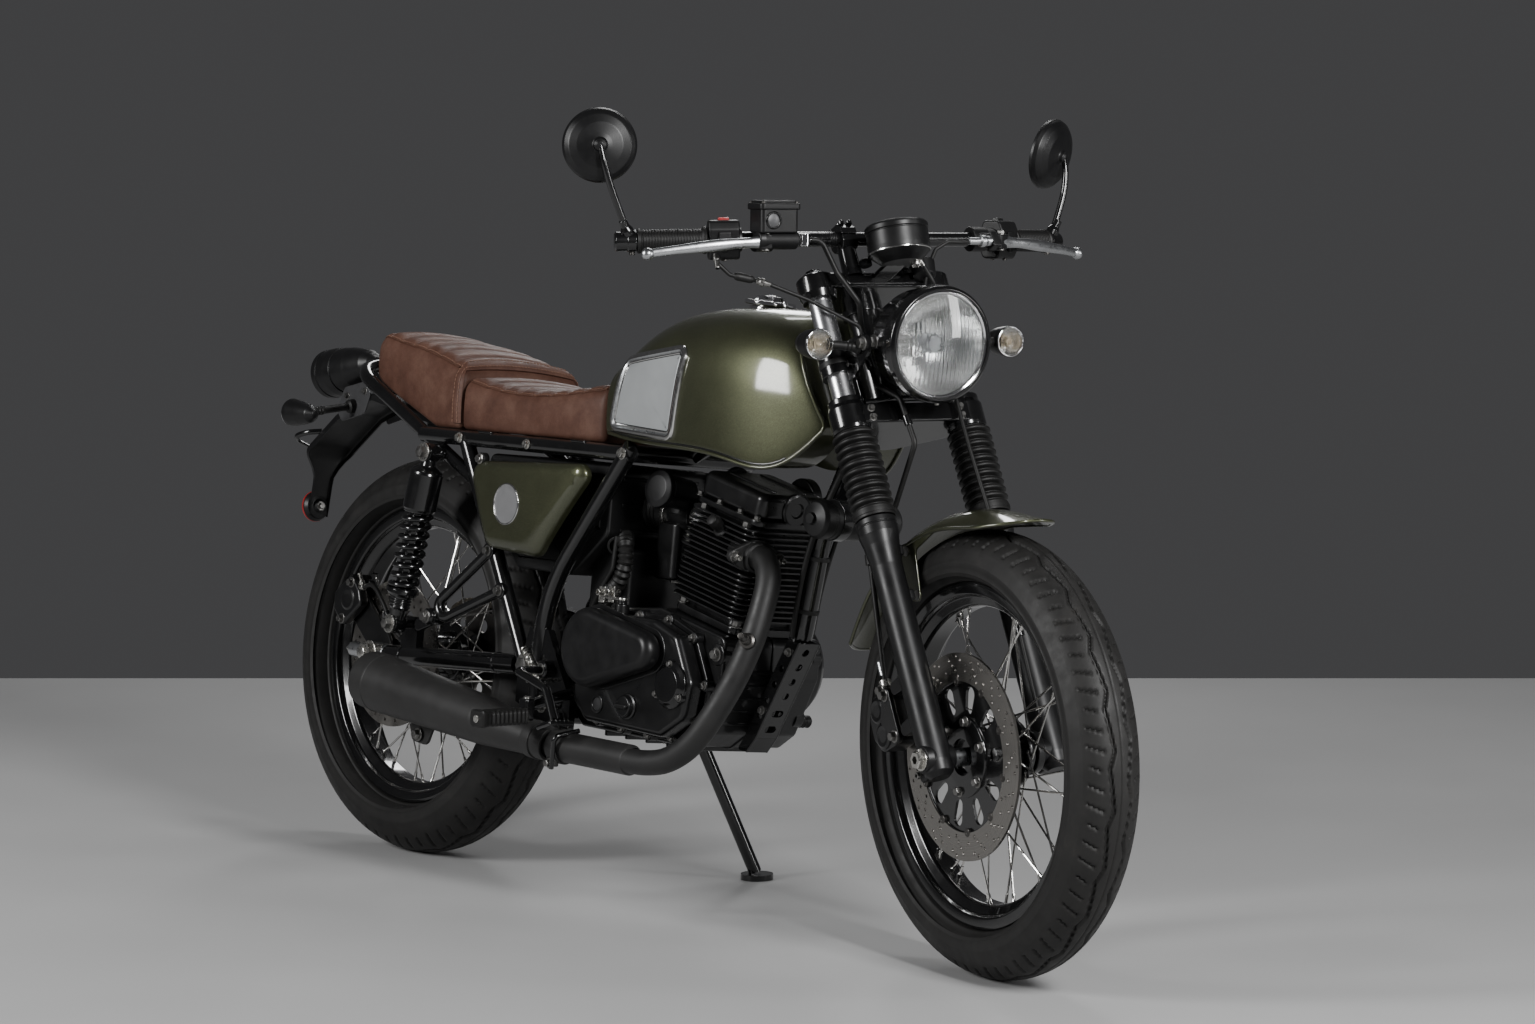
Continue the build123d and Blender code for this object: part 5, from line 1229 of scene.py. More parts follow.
# ---------------------------------------------------------------- engine
TC = radians(12)
CYL_O, CYL_X, CYL_Z = A(98, 0, 458), A(cos(TC), 0, -sin(TC)), A(sin(TC), 0, cos(TC))


def cyl(z=0.0, x=0.0, y=0.0):
    return CYL_O + CYL_X * x + LT * y + CYL_Z * z


def cyl_plane(z=0.0, x=0.0, y=0.0):
    return (cyl(z, x, y), CYL_X, LT, CYL_Z)


CASE = [(-195, 305), (-150, 264), (100, 260), (136, 284), (176, 370), (178, 430), (20, 462), (-60, 455), (-150, 440), (-195, 400)]
P = Piece("engine_case", "chassis", (0, 0, 380), ("engine_case",), "engine_black")
P.add(prism(round2(CASE, 16, 4, True), side(60), 0, 154.8, 4, 3), CAST)
P.add(prism(round2([(-86, 268), (100, 260), (136, 284), (176, 370), (178, 430), (20, 462), (-60, 455), (-86, 450)], 14, 4, True), side(95), 0, 36, 4, 3), CAST)
P.add(prism(rrect(150, 150, 16, 4), cyl_plane(-10), 0, 11.6, 2, 2), CAST)
# joint line of the halves and stiffening ribs
P.add(prism(inset(np.array(round2(CASE, 16, 4, True)), -2.2), side(2.5), 0, 5, 1, 2), CAST)
for x in (-120, -70, -20, 30, 80):                     # sump fins
    P.add(rbox((A(x, 0, 259), A(1, 0, 0), LT, A(0, 0, 1)), (5, 140, 14), 2), CAST)
for k in range(5):                                          # front ribs
    P.add(rbox((A(140 + 9.2 * k, 0, 300 + 20 * k), A(1, 0, 0), LT, A(0, 0, 1)), (10, 120, 5), 2), CAST)
for s in (-1, 1):                                           # mounting lugs with through bolts
    for x, z in ((-172, 408), (-174, 316), (134, 312), (162, 404)):
        if s > 0 and x < -86:
            continue
        P.add(lathe(A(x, s * 80, z), (0, s, 0), round2([(0, 0), (0, 17, 1), (17, 17, 2.5), (17, 0)], 1, 3), 32), CAST)
        hex_head(P, A(x, s * 97, z), (0, s, 0), 8, 7)
    P.add(lathe(A(-20, s * 30, 257), (0, 0, -1), [(0, 0), (0, 12), (4, 12), (5, 10), (5, 0)], 24), ZINC)
for x, z in ((-75, 462), (-98, 460)):                       # two cable stays on top of the case
    P.add(rbox((A(x, -104, z), A(1, 0, 0), LT, A(0, 0, 1)), (15, 28, 3), 1), ZINC)
    P.add(rbox((A(x, -116, z + 11), A(1, 0, 0), LT, A(0, 0, 1)), (15, 3, 24), 1), ZINC)
    hex_head(P, A(x, -101, z + 1.5), (0, 0, 1), 5, 4)
    P.add(lathe(A(x, -126, z + 14), (0, 1, 0), round2([(0, 3), (0, 5, .6), (24, 5, .6), (24, 3)], .5, 2), 16), ZINC)
P.done()

P = Piece("cylinder", "chassis", CYL_O, ("cylinder",), "engine_black")
P.add(prism(rrect(116, 116, 20, 5), cyl_plane(), -2, 84, 1.5, 2), CAST)
for k in range(9):
    P.add(prism(rrect(164 + 2 * (k % 2), 168, 20, 5), cyl_plane(14 + 8.4 * k), -0.2, 2.7, 0.8, 2), CAST)
for x in (-64, 64):
    for s in (-1, 1):
        hex_head(P, cyl(1.6, x, s * 64), CYL_Z, 7.5, 9)
P.done()

P = Piece("cylinder_head", "chassis", CYL_O, ("cylinder_head",), "engine_black")
P.add(prism(round2([(-70, -56), (56, -56), (56, 56), (-70, 56)], 14, 4, True), cyl_plane(), 84.3, 162, 1.2, 2), CAST)
for k in range(8):
    g = 1.0 - 0.015 * k
    P.add(prism(round2([(-96 * g, -80), (78 * g, -80), (78 * g, 80), (-96 * g, 80)], 20, 5, True), cyl_plane(90 + 8.4 * k), -0.2, 2.7, 0.8, 2), CAST)
# cam cover with its flange, rib and screws
P.add(prism(round2([(-88, -70), (70, -70), (70, 70), (-88, 70)], 18, 5, True), cyl_plane(), 156, 166, 2.5, 3), CAST)
P.add(prism(round2([(-84, -66), (66, -66), (66, 66), (-84, 66)], 16, 5, True), cyl_plane(), 165, 206, 11, 5), CAST)
for s in (-1, 1):
    P.add(rbox((cyl(205.4, -9, s * 30), CYL_X, LT, CYL_Z), (110, 7, 6), 2.5), CAST)
    for x in (-78, -30, 20, 60):
        hex_head(P, cyl(166, x, s * 66.5), CYL_Z, 5.2, 5)
    # valve adjuster caps front and rear
    P.add(lathe(cyl(186, -9 + 70 * s, 0), CYL_X * s, round2([(0, 0), (0, 26, 2), (7, 26, 2), (9, 22, 1), (9, 12, .5), (6, 10), (6, 0)], 1, 3), 40), CAST)
for s in (-1, 1):
    for x in (-58, 44):
        hex_head(P, cyl(146 + 3, x, s * 70), CYL_Z, 7, 8)
# spark plug well and cap on the right
d = unit(A(0.10, -0.90, 0.42))
p = cyl(128, -6, -58)
P.add(lathe(p, d, round2([(0, 0), (0, 16, 1), (18, 15, 2), (20, 11, 1), (24, 10, 1), (36, 10, 1), (44, 8.5, 2), (46, 0)], 1, 3), 28), RUBBER)
# cam chain side cover on the left
P.add(prism(hull2([(-10, 0, 34), (-10, 64, 34)], 26), (cyl(120, 0, 80), CYL_X, CYL_Z, -LT), -8, 10, 3, 3), CAST)
# exhaust stub with two studs
pf, pd = A(180, -57.2, 553.5), unit(A(30, -6, -4))
P.add(lathe(pf - pd * 34, pd, [(0, 0), (0, 27), (34, 27), (36, 25), (36, 19.5)], 36), CAST)
P.done()

COVER = [(-130, 302), (-95, 272), (95, 266), (150, 300), (160, 360), (120, 432), (60, 452), (-80, 452), (-130, 400)]
P = Piece("engine_covers", "chassis", (0, 0, 380), ("engine_covers",), "engine_black")
CO = np.array(round2(COVER, 26, 6, True))
P.add(prism(CO, side(-95.2), 0, 12, 2, 2), CAST)
P.add(prism(inset(CO, 6), side(-106), 0, 32, 9, 5), CAST)
for x, z in ((-122, 310), (-92, 279), (-30, 273), (34, 270), (90, 272), (142, 303), (154, 356), (120, 424), (60, 446), (-10, 446), (-76, 446), (-124, 398)):
    P.add(lathe(A(x, -96, z), (0, -1, 0), round2([(0, 0), (0, 9.5, 1), (15, 9, 1.5), (15, 0)], 1, 2), 22), CAST)
    hex_head(P, A(x, -111, z), (0, -1, 0), 5.2, 5)
EGG = hull2([(-70, 391, 61), (56, 398, 30)], 40)
P.add(prism(EGG, side(-136), 0, 33.5, 15, 7), SATIN)
P.add(prism(inset(np.array(EGG), -5), side(-134.5), 0, 4.5, 1.5, 2), CAST)
# round filter cover in front, with three screws
fc = A(112, -137.2, 352)
P.add(lathe(fc, (0, -1, 0), round2([(-3, 0), (-3, 36, 1), (4, 36, 2), (8, 30, 4), (12, 26, 2), (13, 0)], 1, 4), 56), GLOSS)
for k in range(3):
    t = radians(90 + 120 * k)
    q = fc + A(31.5 * cos(t), 0, 31.5 * sin(t))
    P.add(lathe(q, (0, -1, 0), [(0, 0), (0, 8), (6, 8), (7, 7), (7, 0)], 18), GLOSS)
    hex_head(P, q - LT * 6.6, (0, -1, 0), 4.4, 4)
# oil filler with its finger rib
oc = A(14, -137.4, 310)
P.add(lathe(oc, (0, -1, 0), round2([(-2, 0), (-2, 20, 1), (3, 20, 1), (4, 17, .6), (12, 16, 2), (13, 0)], 1, 3), 40), CAST)
P.add(rbox((oc - LT * 14, A(1, 0, 0), A(0, 0, 1), A(0, -1, 0)), (27, 7, 8), 2.5), PLASTIC)
# oil sight glass
P.add(lathe(A(-60, -137.6, 306), (0, -1, 0), round2([(-1, 0), (-1, 14, .8), (2.5, 14, .8), (3, 10.5, .4), (1.2, 10)], .5, 2), 32), CAST)
P.add(lathe(A(-60, -137.6, 306), (0, -1, 0), [(1.2, 10.2), (1.8, 6), (2, 0)], 28), DIAL)
# clutch arm and cable end on the top of the cover
P.add(lathe(A(-40, -122, 446), (0, 0, 1), round2([(0, 0), (0, 11, 1), (14, 11, 2), (15, 7, 1), (24, 7, 1), (24, 0)], 1, 3), 24), CAST)
P.add(prism(hull2([(-40, -122, 8), (-84, -118, 5)], 18), (A(0, 0, 466), A(1, 0, 0), LT, A(0, 0, 1)), 0, 4, 1, 2), ZINC)
# generator cover on the left
P.add(lathe(A(62, 95.2, 382), LT, round2([(0, 0), (0, 86, 2), (10, 86, 2), (12, 81, 2), (36, 79, 8), (50, 68, 8), (53, 44, 3), (50, 40, 2), (50, 16, 1), (54, 14, 2), (55, 0)], 2, 5), 88), CAST)
for k in range(8):
    t = radians(22 + 45 * k)
    q = A(62 + 84 * cos(t), 95.4, 382 + 84 * sin(t))
    P.add(lathe(q, LT, round2([(0, 0), (0, 9.5, 1), (11, 9, 1.5), (11, 0)], 1, 2), 20), CAST)
    hex_head(P, q + LT * 10.8, LT, 4.8, 4.5)
SC = np.array(round2([(-205, 300), (-150, 285), (-30, 285), (-30, 440), (-150, 425), (-205, 395)], 20, 5, True))
P.add(prism(SC, side(103), 0, 7.6, 2.4, 3), CAST)
P.add(prism(inset(SC, 16), side(105.5), 0, 3, 1.2, 3), CAST)
for x, z in ((-190, 312), (-192, 388), (-44, 298), (-44, 428), (-120, 418)):
    hex_head(P, A(x, 103, z), LT, 5, 4.5)
P.done()

# ---------------------------------------------------------------- intake
P = Piece("intake_and_air_box", "chassis", (-280, 0, 590), ("intake_and_air_box",), "black_plastic")
BOX = round2([(-122, 668), (-440, 668), (-440, 590), (-345, 492), (-205, 492), (-122, 560)], 14, 4, True)
P.add(prism(BOX, side(97), 0, 194, 5, 3), PLASTIC)
P.add(rbox((A(-150, 0, 490), A(1, 0, 0), LT, A(0, 0, 1)), (96, 132, 104), 9, 3), PLASTIC)
for x, y in ((-96, -72), (-112, -84)):
    P.add(tube(bend3([A(x, y, 560), A(x - 4, y, 510), A(x - 34, y, 470), A(x - 60, y + 6, 440)], 16, 6), 5.5, 12), RUBBER)
P.add(prism(inset(np.array(BOX), 20), side(97), -2.5, 196.5, 2, 2), PLASTIC)
for z in (520, 560, 600, 640):
    P.add(rbox((A(-122, 0, z + 8), A(1, 0, 0), LT, A(0, 0, 1)), (6, 150, 6), 2), PLASTIC)
ca, cb = A(-123, 0, 606), A(34, 0, 596)
cd = cb - ca
P.add(lathe(ca, cd, round2([(0, 0), (0, 36, 2), (6, 36, 2), (8, 31, 2), (12, 34, 2), (17, 31, 2), (21, 34, 2), (26, 31, 2), (30, 34, 2), (36, 31, 2), (40, 29, 1), (44, 29, 1)], 1.5, 3), 48), RUBBER)
P.add(lathe(ca, cd, round2([(42, 26), (42, 33, 1), (50, 33, 1), (50, 28)], 1, 2), 40), ZINC)
P.add(lathe(ca, cd, round2([(48, 0), (48, 28, 1), (104, 28, 1), (106, 24, 1), (157, 23.5, 1), (157, 0)], 1, 3), 44), CAST)
P.add(lathe(ca, cd, round2([(112, 22), (112, 30, 1), (119, 30, 1), (119, 22)], 1, 2), 40), ZINC)
P.add(lathe(A(-52, 0, 602), (0.06, 0, 1), round2([(0, 0), (0, 30, 2), (22, 30, 2), (24, 34, 1), (32, 34, 3), (36, 24, 3), (38, 0)], 2, 3), 44), PLASTIC)
for k in range(4):
    t = radians(45 + 90 * k)
    hex_head(P, A(-50 + 30 * cos(t), 30 * sin(t), 634), (0.06, 0, 1), 3.2, 3, washer=False)
P.add(prism(rrect(54, 56, 12, 4), (A(-66, 0, 500), A(1, 0, 0), LT, A(0, 0, 1)), 0, 88, 5, 4), CAST)
P.add(lathe(A(-66, 0, 501), (0, 0, -1), [(0, 0), (0, 10), (5, 10), (6, 8), (6, 0)], 6), ZINC)
# round diaphragm cover and ribbed breather hose ring on the right
P.add(lathe(A(-34, -18, 632), (0.1, -1, 0.12), round2([(0, 0), (0, 24, 2), (50, 25, 2), (56, 29, 1), (64, 29, 3), (68, 20, 4), (70, 0)], 2, 4), 48), SATIN)
hp = smooth_path([A(-120, -62, 560), A(-98, -78, 548), A(-92, -82, 520), A(-104, -80, 492), A(-128, -76, 476)], 60)
t = np.arange(60)
P.add(tube(hp, 11.5 + 1.6 * np.sin(t * 1.35), 20), RUBBER)
P.add(lathe(A(-123, -80, 546) + A(0, 6, 0), A(0.5, -0.6, -0.3), round2([(-4, 12), (-4, 16, 1.5), (6, 16, 1.5), (6, 12)], 1, 3), 32), RUBBER)
P.done()

# ---------------------------------------------------------------- exhaust
P = Piece("exhaust_pipe", "chassis", (100, -110, 400), ("exhaust_pipe",), "exhaust_black")
PORT = [A(184, -58, 553), A(214, -64, 549), A(238, -74, 525), A(245, -86, 485), A(243, -100, 432), A(228, -114, 374), A(203, -128, 318),
        A(171, -138, 272), A(130, -144, 244), A(84, -149, 233), A(20, -153, 232), A(-139, -162, 236)]
pipe = smooth_path(PORT, 110)
keep = [pipe[0]]
for q in pipe[1:]:                                          # even spacing along the straight runs
    d = q - keep[-1]
    n = max(int(np.linalg.norm(d) / 16), 1)
    keep += [keep[-1] + d * (k / n) for k in range(1, n)] + [q]
P.add(tube(np.array(keep), 19.0, 40), HEADER)
fl = plane(A(188, -58.8, 552.5), pd, (0, 0, 1))
P.add(prism(hull2([(0, 0, 27), (-37, 0, 10), (37, 0, 10)], 30), fl, -7, 3, 1.6, 3), HEADER)
P.add(lathe(fl[0], pd, round2([(2, 19.5), (2, 24, 1), (10, 23, 1.5), (12, 19.6)], 1, 2), 36), HEADER)
for s in (-1, 1):
    hex_head(P, fl[0] + fl[1] * 37 * s + pd * 3, pd, 6.6, 8)
    P.add(lathe(fl[0] + fl[1] * 37 * s + pd * 10, pd, [(0, 4), (10, 4), (11, 3), (11, 0)], 16), ZINC)
ca, cb = A(50, -147, 232), A(-139, -162, 236)
cd = cb - ca
P.add(lathe(ca, cd, round2([(0, 19.4), (6, 23.5, 3), (176, 23.5, 2), (178, 20)], 2, 4), 44), MUFFLER)
P.add(lathe(ca, cd, round2([(150, 23), (150, 27, 1), (172, 27, 1), (172, 23)], 1, 2), 44), MUFFLER)
x, y, z = frame_of(cd)
P.add(rbox((ca + z * 161 + A(0, -16, -24), z, A(0, 1, 0) - z * z[1], np.cross(z, A(0, 1, 0) - z * z[1])), (20, 10, 13), 2), MUFFLER)
hex_head(P, ca + z * 161 + A(0, -21, -26), (0, -1, 0), 6, 8)
# sensor boss with its plug
P.add(lathe(A(243, -101, 428), A(0.5, -0.75, 0.2), round2([(14, 0), (14, 12, 1), (24, 12, 1), (26, 8, .5), (42, 8, 1), (44, 6, 1), (60, 5, 1), (60, 0)], .6, 2), 20), DARK_STEEL)
P.done()

P = Piece("muffler", "chassis", (-360, -172, 262), ("muffler",), "exhaust_black")
ma, mb = A(-146, -162.5, 236.8), A(-600, -184, 290)
md, ML = mb - ma, float(np.linalg.norm(mb - ma))
body = [(0, 24), (0, 26.5, 1), (34, 27, 20), (150, 38, 60), (ML - 46, 46.6, 4), (ML - 44, 46.6), (ML - 43, 47.4, .5), (ML - 38, 47.4, .5), (ML - 37, 46.6, .5), (ML - 10, 46.2, 9), (ML - 1, 39, 4), (ML, 30, 2), (ML - 3, 24, 2), (ML - 40, 23)]
rr = round2(body, 2, 7)
fine = [rr[0]]
for q in rr[1:]:
    L = hypot(q[0] - fine[-1][0], q[1] - fine[-1][1])
    n = max(int(L / 18), 1)
    a0 = fine[-1]
    fine += [(a0[0] + (q[0] - a0[0]) * k / n, a0[1] + (q[1] - a0[1]) * k / n) for k in range(1, n + 1)]
P.add(lathe(ma, md, fine, 88), MUFFLER)
P.add(lathe(ma, md, [(ML - 40, 23.5), (ML - 40, 14), (ML - 6, 13.4), (ML - 5, 12), (ML - 40, 11.6), (ML - 40, 0)], 44), DARK_STEEL)
P.add(lathe(ma, md, round2([(12, 26), (12, 29.6, 1), (30, 29.6, 1), (30, 26)], 1, 2), 48), MUFFLER)
P.add(lathe(ma, md, round2([(-13, 22), (-13, 26.4, 1), (4, 27.4, 1), (14, 27.4)], 1, 3), 48), MUFFLER)
u = unit(md)
mp = lambda t, up, out: ma + u * t + A(-u[2], 0, u[0]) * up + A(0, -1, 0) * out
P.add(prism(round2([(-34, 30, 8), (34, 30, 8), (20, 78, 12), (-20, 78, 12)], 8, 4, True), (mp(334, 0, -26), u, A(-u[2], 0, u[0]), unit(np.cross(u, A(-u[2], 0, u[0])))), -3, 3, 1.4, 2), MUFFLER)
hex_head(P, mp(334, 64, -20), (0, -1, 0), 8, 8)
P.add(tube(bend3([A(-84, -150, 262), A(-90, -192, 252), A(-104, -182, 202)], 10, 6), 4.0, 12), GLOSS)
P.done()


# ---------------------------------------------------------------- fuel tank
def cubic(xs, ys):
    """Natural cubic spline through the given stations."""
    xs, ys = np.asarray(xs, float), np.asarray(ys, float)
    order = np.argsort(xs)
    xs, ys = xs[order], ys[order]
    n = len(xs)
    h = np.diff(xs)
    M = np.eye(n)
    b = np.zeros(n)
    for k in range(1, n - 1):
        M[k, k - 1:k + 2] = h[k - 1], 2 * (h[k - 1] + h[k]), h[k]
        b[k] = 6 * ((ys[k + 1] - ys[k]) / h[k] - (ys[k] - ys[k - 1]) / h[k - 1])
    m = np.linalg.solve(M, b)

    def f(x):
        k = int(np.clip(np.searchsorted(xs, x) - 1, 0, n - 2))
        a, c = xs[k + 1] - x, x - xs[k]
        return (m[k] * a ** 3 + m[k + 1] * c ** 3) / (6 * h[k]) + (ys[k] / h[k] - m[k] * h[k] / 6) * a + (ys[k + 1] / h[k] - m[k + 1] * h[k] / 6) * c
    return f


TX = (-135, -60, 60, 180, 280, 372)
t_half = cubic(TX, (107, 119.5, 130, 131, 107, 70))
t_low = cubic(TX, (714, 706.5, 702, 692, 693, 786))
t_top = cubic(TX, (836, 889, 921, 925, 911, 862))


def front_line(z):
    return 295 - 0.523 * (z - 850)


def tank_ring(x0, shrink=0.0):
    w, zb, zt = t_half(x0) - shrink, t_low(x0) + shrink * 0.6, t_top(x0) - shrink
    h = zt - zb
    wb, zc = w * 0.955, zb + 0.40 * h
    tun = min(44.0, 0.32 * h)
    ex = 2 / (2.72 - 0.4 * smooth_step((x0 - 240) / 110))
    half = [(0, zb + tun), (26, zb + tun), (33, zb + 7), (0.6 * wb, zb + 4.5), (wb - 7, zb + 3.5), (wb - 1.5, zb + 3.2)]
    for k in range(12):
        t = (k + 0.5) / 12 * pi / 2
        half.append((wb + (w - wb) * sin(t), zb + 3.6 + (zc - zb - 3.6) * (1 - cos(t))))
    for k in range(40):
        t = (k + 0.4) / 40 * pi / 2
        half.append((w * cos(t) ** ex, zc + (zt - zc) * sin(t) ** ex))
    half.append((0, zt))
    full = half + [(-y, z) for y, z in half[-2:0:-1]]
    out = []
    for y, z in full:
        f = front_line(z)
        k = 8.0
        m = min(x0, f)
        out.append((m - k * np.log(np.exp(-(x0 - m) / k) + np.exp(-(f - m) / k)), y, z))
    return np.array(out)


rings = []
for k in range(5, 0, -1):
    q = k / 5
    rr = tank_ring(-135, 13 * (1 - sqrt(max(1 - q * q, 0))))
    rr[:, 0] -= 9 * q
    rings.append(rr)
for x0 in np.linspace(-135, 372, 78):
    rings.append(tank_ring(x0))
TANK_MESH = loft(rings)
P = Piece("fuel_tank", "chassis", (100, 0, 800), ("fuel_tank",), "green_paint", 50)
P.add(TANK_MESH, PAINT)
bvh = BVHTree.FromPolygons([tuple(v) for v in TANK_MESH[0]], [tuple(f) for f in TANK_MESH[1]])


def on_tank(x, z, s, tree=None):
    hit = (tree or bvh).ray_cast(Vector((x, s * 600, z)), Vector((0, -s, 0)))
    if hit[0] is None:
        return None, None
    nrm = np.array(hit[1])
    return np.array(hit[0]), nrm if nrm[1] * s > 0 else -nrm


# rolled seam lip along the lower edge and up the front
for s in (-1, 1):
    path = []
    for x0 in np.linspace(-132, 372, 90):
        zb, w = t_low(x0), t_half(x0)
        z = zb + 3.2
        f = front_line(z)
        m = min(x0, f)
        x = m - 8.0 * np.log(np.exp(-(x0 - m) / 8.0) + np.exp(-(f - m) / 8.0))
        if x0 > f + 4:
            break
        path.append(A(x + 1.0, s * (w * 0.955 + 1.2), z))
    end = path[-1]
    for z in np.linspace(end[2] + 10, 868, 16):             # front edge
        hit, nn = on_tank(front_line(z) - 10, z, s)
        if hit is None:
            continue
        path.append(A(front_line(z) - 3.0, hit[1] - s * 3.5, z))
    P.add(tube(smooth_path(path[::3] + [path[-1]], 150), 3.1, 10), PAINT)
    # painted shadow: a black gloss line just above the lip stands in for the shade under the tank's lower edge
    low = []
    for x0 in np.linspace(-125, 285, 60):
        low.append(A(x0, s * (t_half(x0) * 0.962 - 0.6), t_low(x0) + 8.2))
    P.add(tube(np.array(low), 2.2, 8), GLOSS)


def draped(P, outline, levels, s, centre_rings=7, ref=None):
    """Concentric loops laid on the tank side: (inset, height, material of the band that starts here)."""
    base = np.array(outline)
    loops = []
    for d, hgt, mat in levels:
        L = inset(base, d) if d > 0 else base
        pts = []
        for x, z in L:
            hit, nn = on_tank(x, z, s)
            if hit is None:
                hit, nn = A(x, s * 120, z), A(0, s, 0)
            pts.append(hit + nn * hgt)
        loops.append((np.array(pts), mat, L, hgt))
    L, hgt = loops[-1][2], loops[-1][3]
    c = L.mean(axis=0)
    mat = loops[-1][1]
    for k in range(1, centre_rings):
        q = 1 - k / centre_rings
        LL = c + (L - c) * q
        pts = []
        for x, z in LL:
            hit, nn = on_tank(x, z, s)
            pts.append(hit + nn * hgt)
        loops.append((np.array(pts), mat, LL, hgt))
    n = len(base)
    for (a, mat, _, _), (b, _, _, _) in zip(loops, loops[1:]):
        V = np.concatenate([a, b])
        Fc = []
        for i in range(n):
            j = (i + 1) % n
            q = (i, j, n + j, n + i)
            Fc.append(q if s < 0 else q[::-1])
        P.add((V, Fc), mat)
    a = loops[-1][0]
    hit, nn = on_tank(c[0], c[1], s)
    V = np.concatenate([a, [hit + nn * hgt]])
    Fc = [(i, (i + 1) % n, n) if s < 0 else ((i + 1) % n, i, n) for i in range(n)]
    P.add((V, Fc), mat)


KNEE = np.array(round2([(-126, 720, 20), (54, 712, 20), (76, 862, 20), (-98, 836, 26)], 20, 8, True))
if area2(KNEE) < 0:
    KNEE = KNEE[::-1]
res = []
for k in range(len(KNEE)):                                  # even the spacing of the outline
    a, b = KNEE[k], KNEE[(k + 1) % len(KNEE)]
    n = max(int(np.linalg.norm(b - a) / 4.5), 1)
    res += [a + (b - a) * i / n for i in range(n)]
KNEE = np.array(res)
RIM_BRIGHT, RIM_DARK = ALLOY, SATIN_ALLOY
for s in (-1, 1):
    draped(P, KNEE, [(0, -1.0, RIM_BRIGHT), (0.3, 2.2, RIM_BRIGHT), (1.4, 4.2, RIM_BRIGHT), (3.2, 5.4, RIM_BRIGHT), (6.0, 5.6, RIM_BRIGHT), (8.4, 4.8, RIM_DARK), (10.2, 3.0, RIM_DARK), (11.4, 2.4, RIM_BRIGHT), (12.8, 2.6, RIM_BRIGHT), (13.8, 1.6, GLOSS), (14.6, 0.9, GLOSS), (15.2, 1.8, FROST), (16.6, 2.2, FROST), (22, 2.3, FROST)], s)
P.done(weighted=False)

P = Piece("fuel_cap", "chassis", (101, 0, 925), ("fuel_cap",), "fork_chrome")
co, cdn = A(101, 0, 920), unit(A(0.06, 0, 1))
P.add(lathe(co, cdn, round2([(0, 30), (0, 31, .5), (6, 30, 1.2), (7, 27, .8), (10, 26)], 1, 3), 64), CHROME)
P.add(lathe(co, cdn, round2([(8, 24), (8.6, 37.6, .8), (10, 39.2, 1), (13.6, 39.4, 1.5), (16, 37, 1.5), (17, 26, 3), (18, 22.6, 1), (18.4, 21.6)], 1, 3), 88), CHROME)
kn = 40
V, Fc = [], []
for t0, r0, r1 in ((16.8, 21.8, 20.6), (21.6, 21.8, 20.6), (22.8, 20.4, 19.6)):
    x, y, z = frame_of(cdn)
    for i in range(kn * 2):
        a = 2 * pi * i / (kn * 2)
        r = r0 if i % 2 else r1
        V.append(co + z * t0 + (x * cos(a) + y * sin(a)) * r)
m = kn * 2
for k in range(2):
    for i in range(m):
        j = (i + 1) % m
        Fc.append((k * m + i, k * m + j, (k + 1) * m + j, (k + 1) * m + i))
P.add((np.array(V), Fc), CHROME)
P.add(lathe(co, cdn, round2([(22.7, 20.2), (23.2, 16, 1), (21.8, 13, .8), (21.8, 7, .8), (23.6, 5, 1), (24.8, 3, .8), (24.8, 0)], .8, 3), 56), CHROME)
P.add(rbox((co + cdn * 22.6, A(1, 0, 0), LT, cdn), (24, 5, 3), 1.2), ALLOY)
P.done()

# ---------------------------------------------------------------- side covers
SCV = [(-118, 668, 18), (-437, 654, 24), (-372, 521, 26), (-245, 514, 28)]
P = Piece("side_covers", "chassis", (-270, 0, 590), ("side_covers",), "green_paint", 50)
out = np.array(round2(SCV, 20, 9, True))
if area2(out) < 0:
    out = out[::-1]
res = []
for k in range(len(out)):                                   # even the spacing of the outline
    a, b = out[k], out[(k + 1) % len(out)]
    n = max(int(np.linalg.norm(b - a) / 6), 1)
    res += [a + (b - a) * i / n for i in range(n)]
out = np.array(res)
fa, fb = np.array([-118.0, 668.0]), np.array([-245.0, 514.0])
fn = np.array([fb[1] - fa[1], -(fb[0] - fa[0])])
fn = fn / np.linalg.norm(fn)
cen = out.mean(axis=0)
if (cen - fa) @ fn < 0:
    fn = -fn


def cover_height(p, d):
    """Outward reach of the pressed cover: rolled edge, then one smooth crown."""
    h = 131 + 12 * sqrt(max(1 - (1 - min(d / 18, 1)) ** 2, 0))
    u, v = (p[0] + 282) / 185, (p[1] - 596) / 98
    df = max((p - fa) @ fn, 0.0)
    return h + 7.5 * max(1 - u * u, 0) * max(1 - v * v, 0) - 4.0 * np.exp(-(df / 20) ** 2)


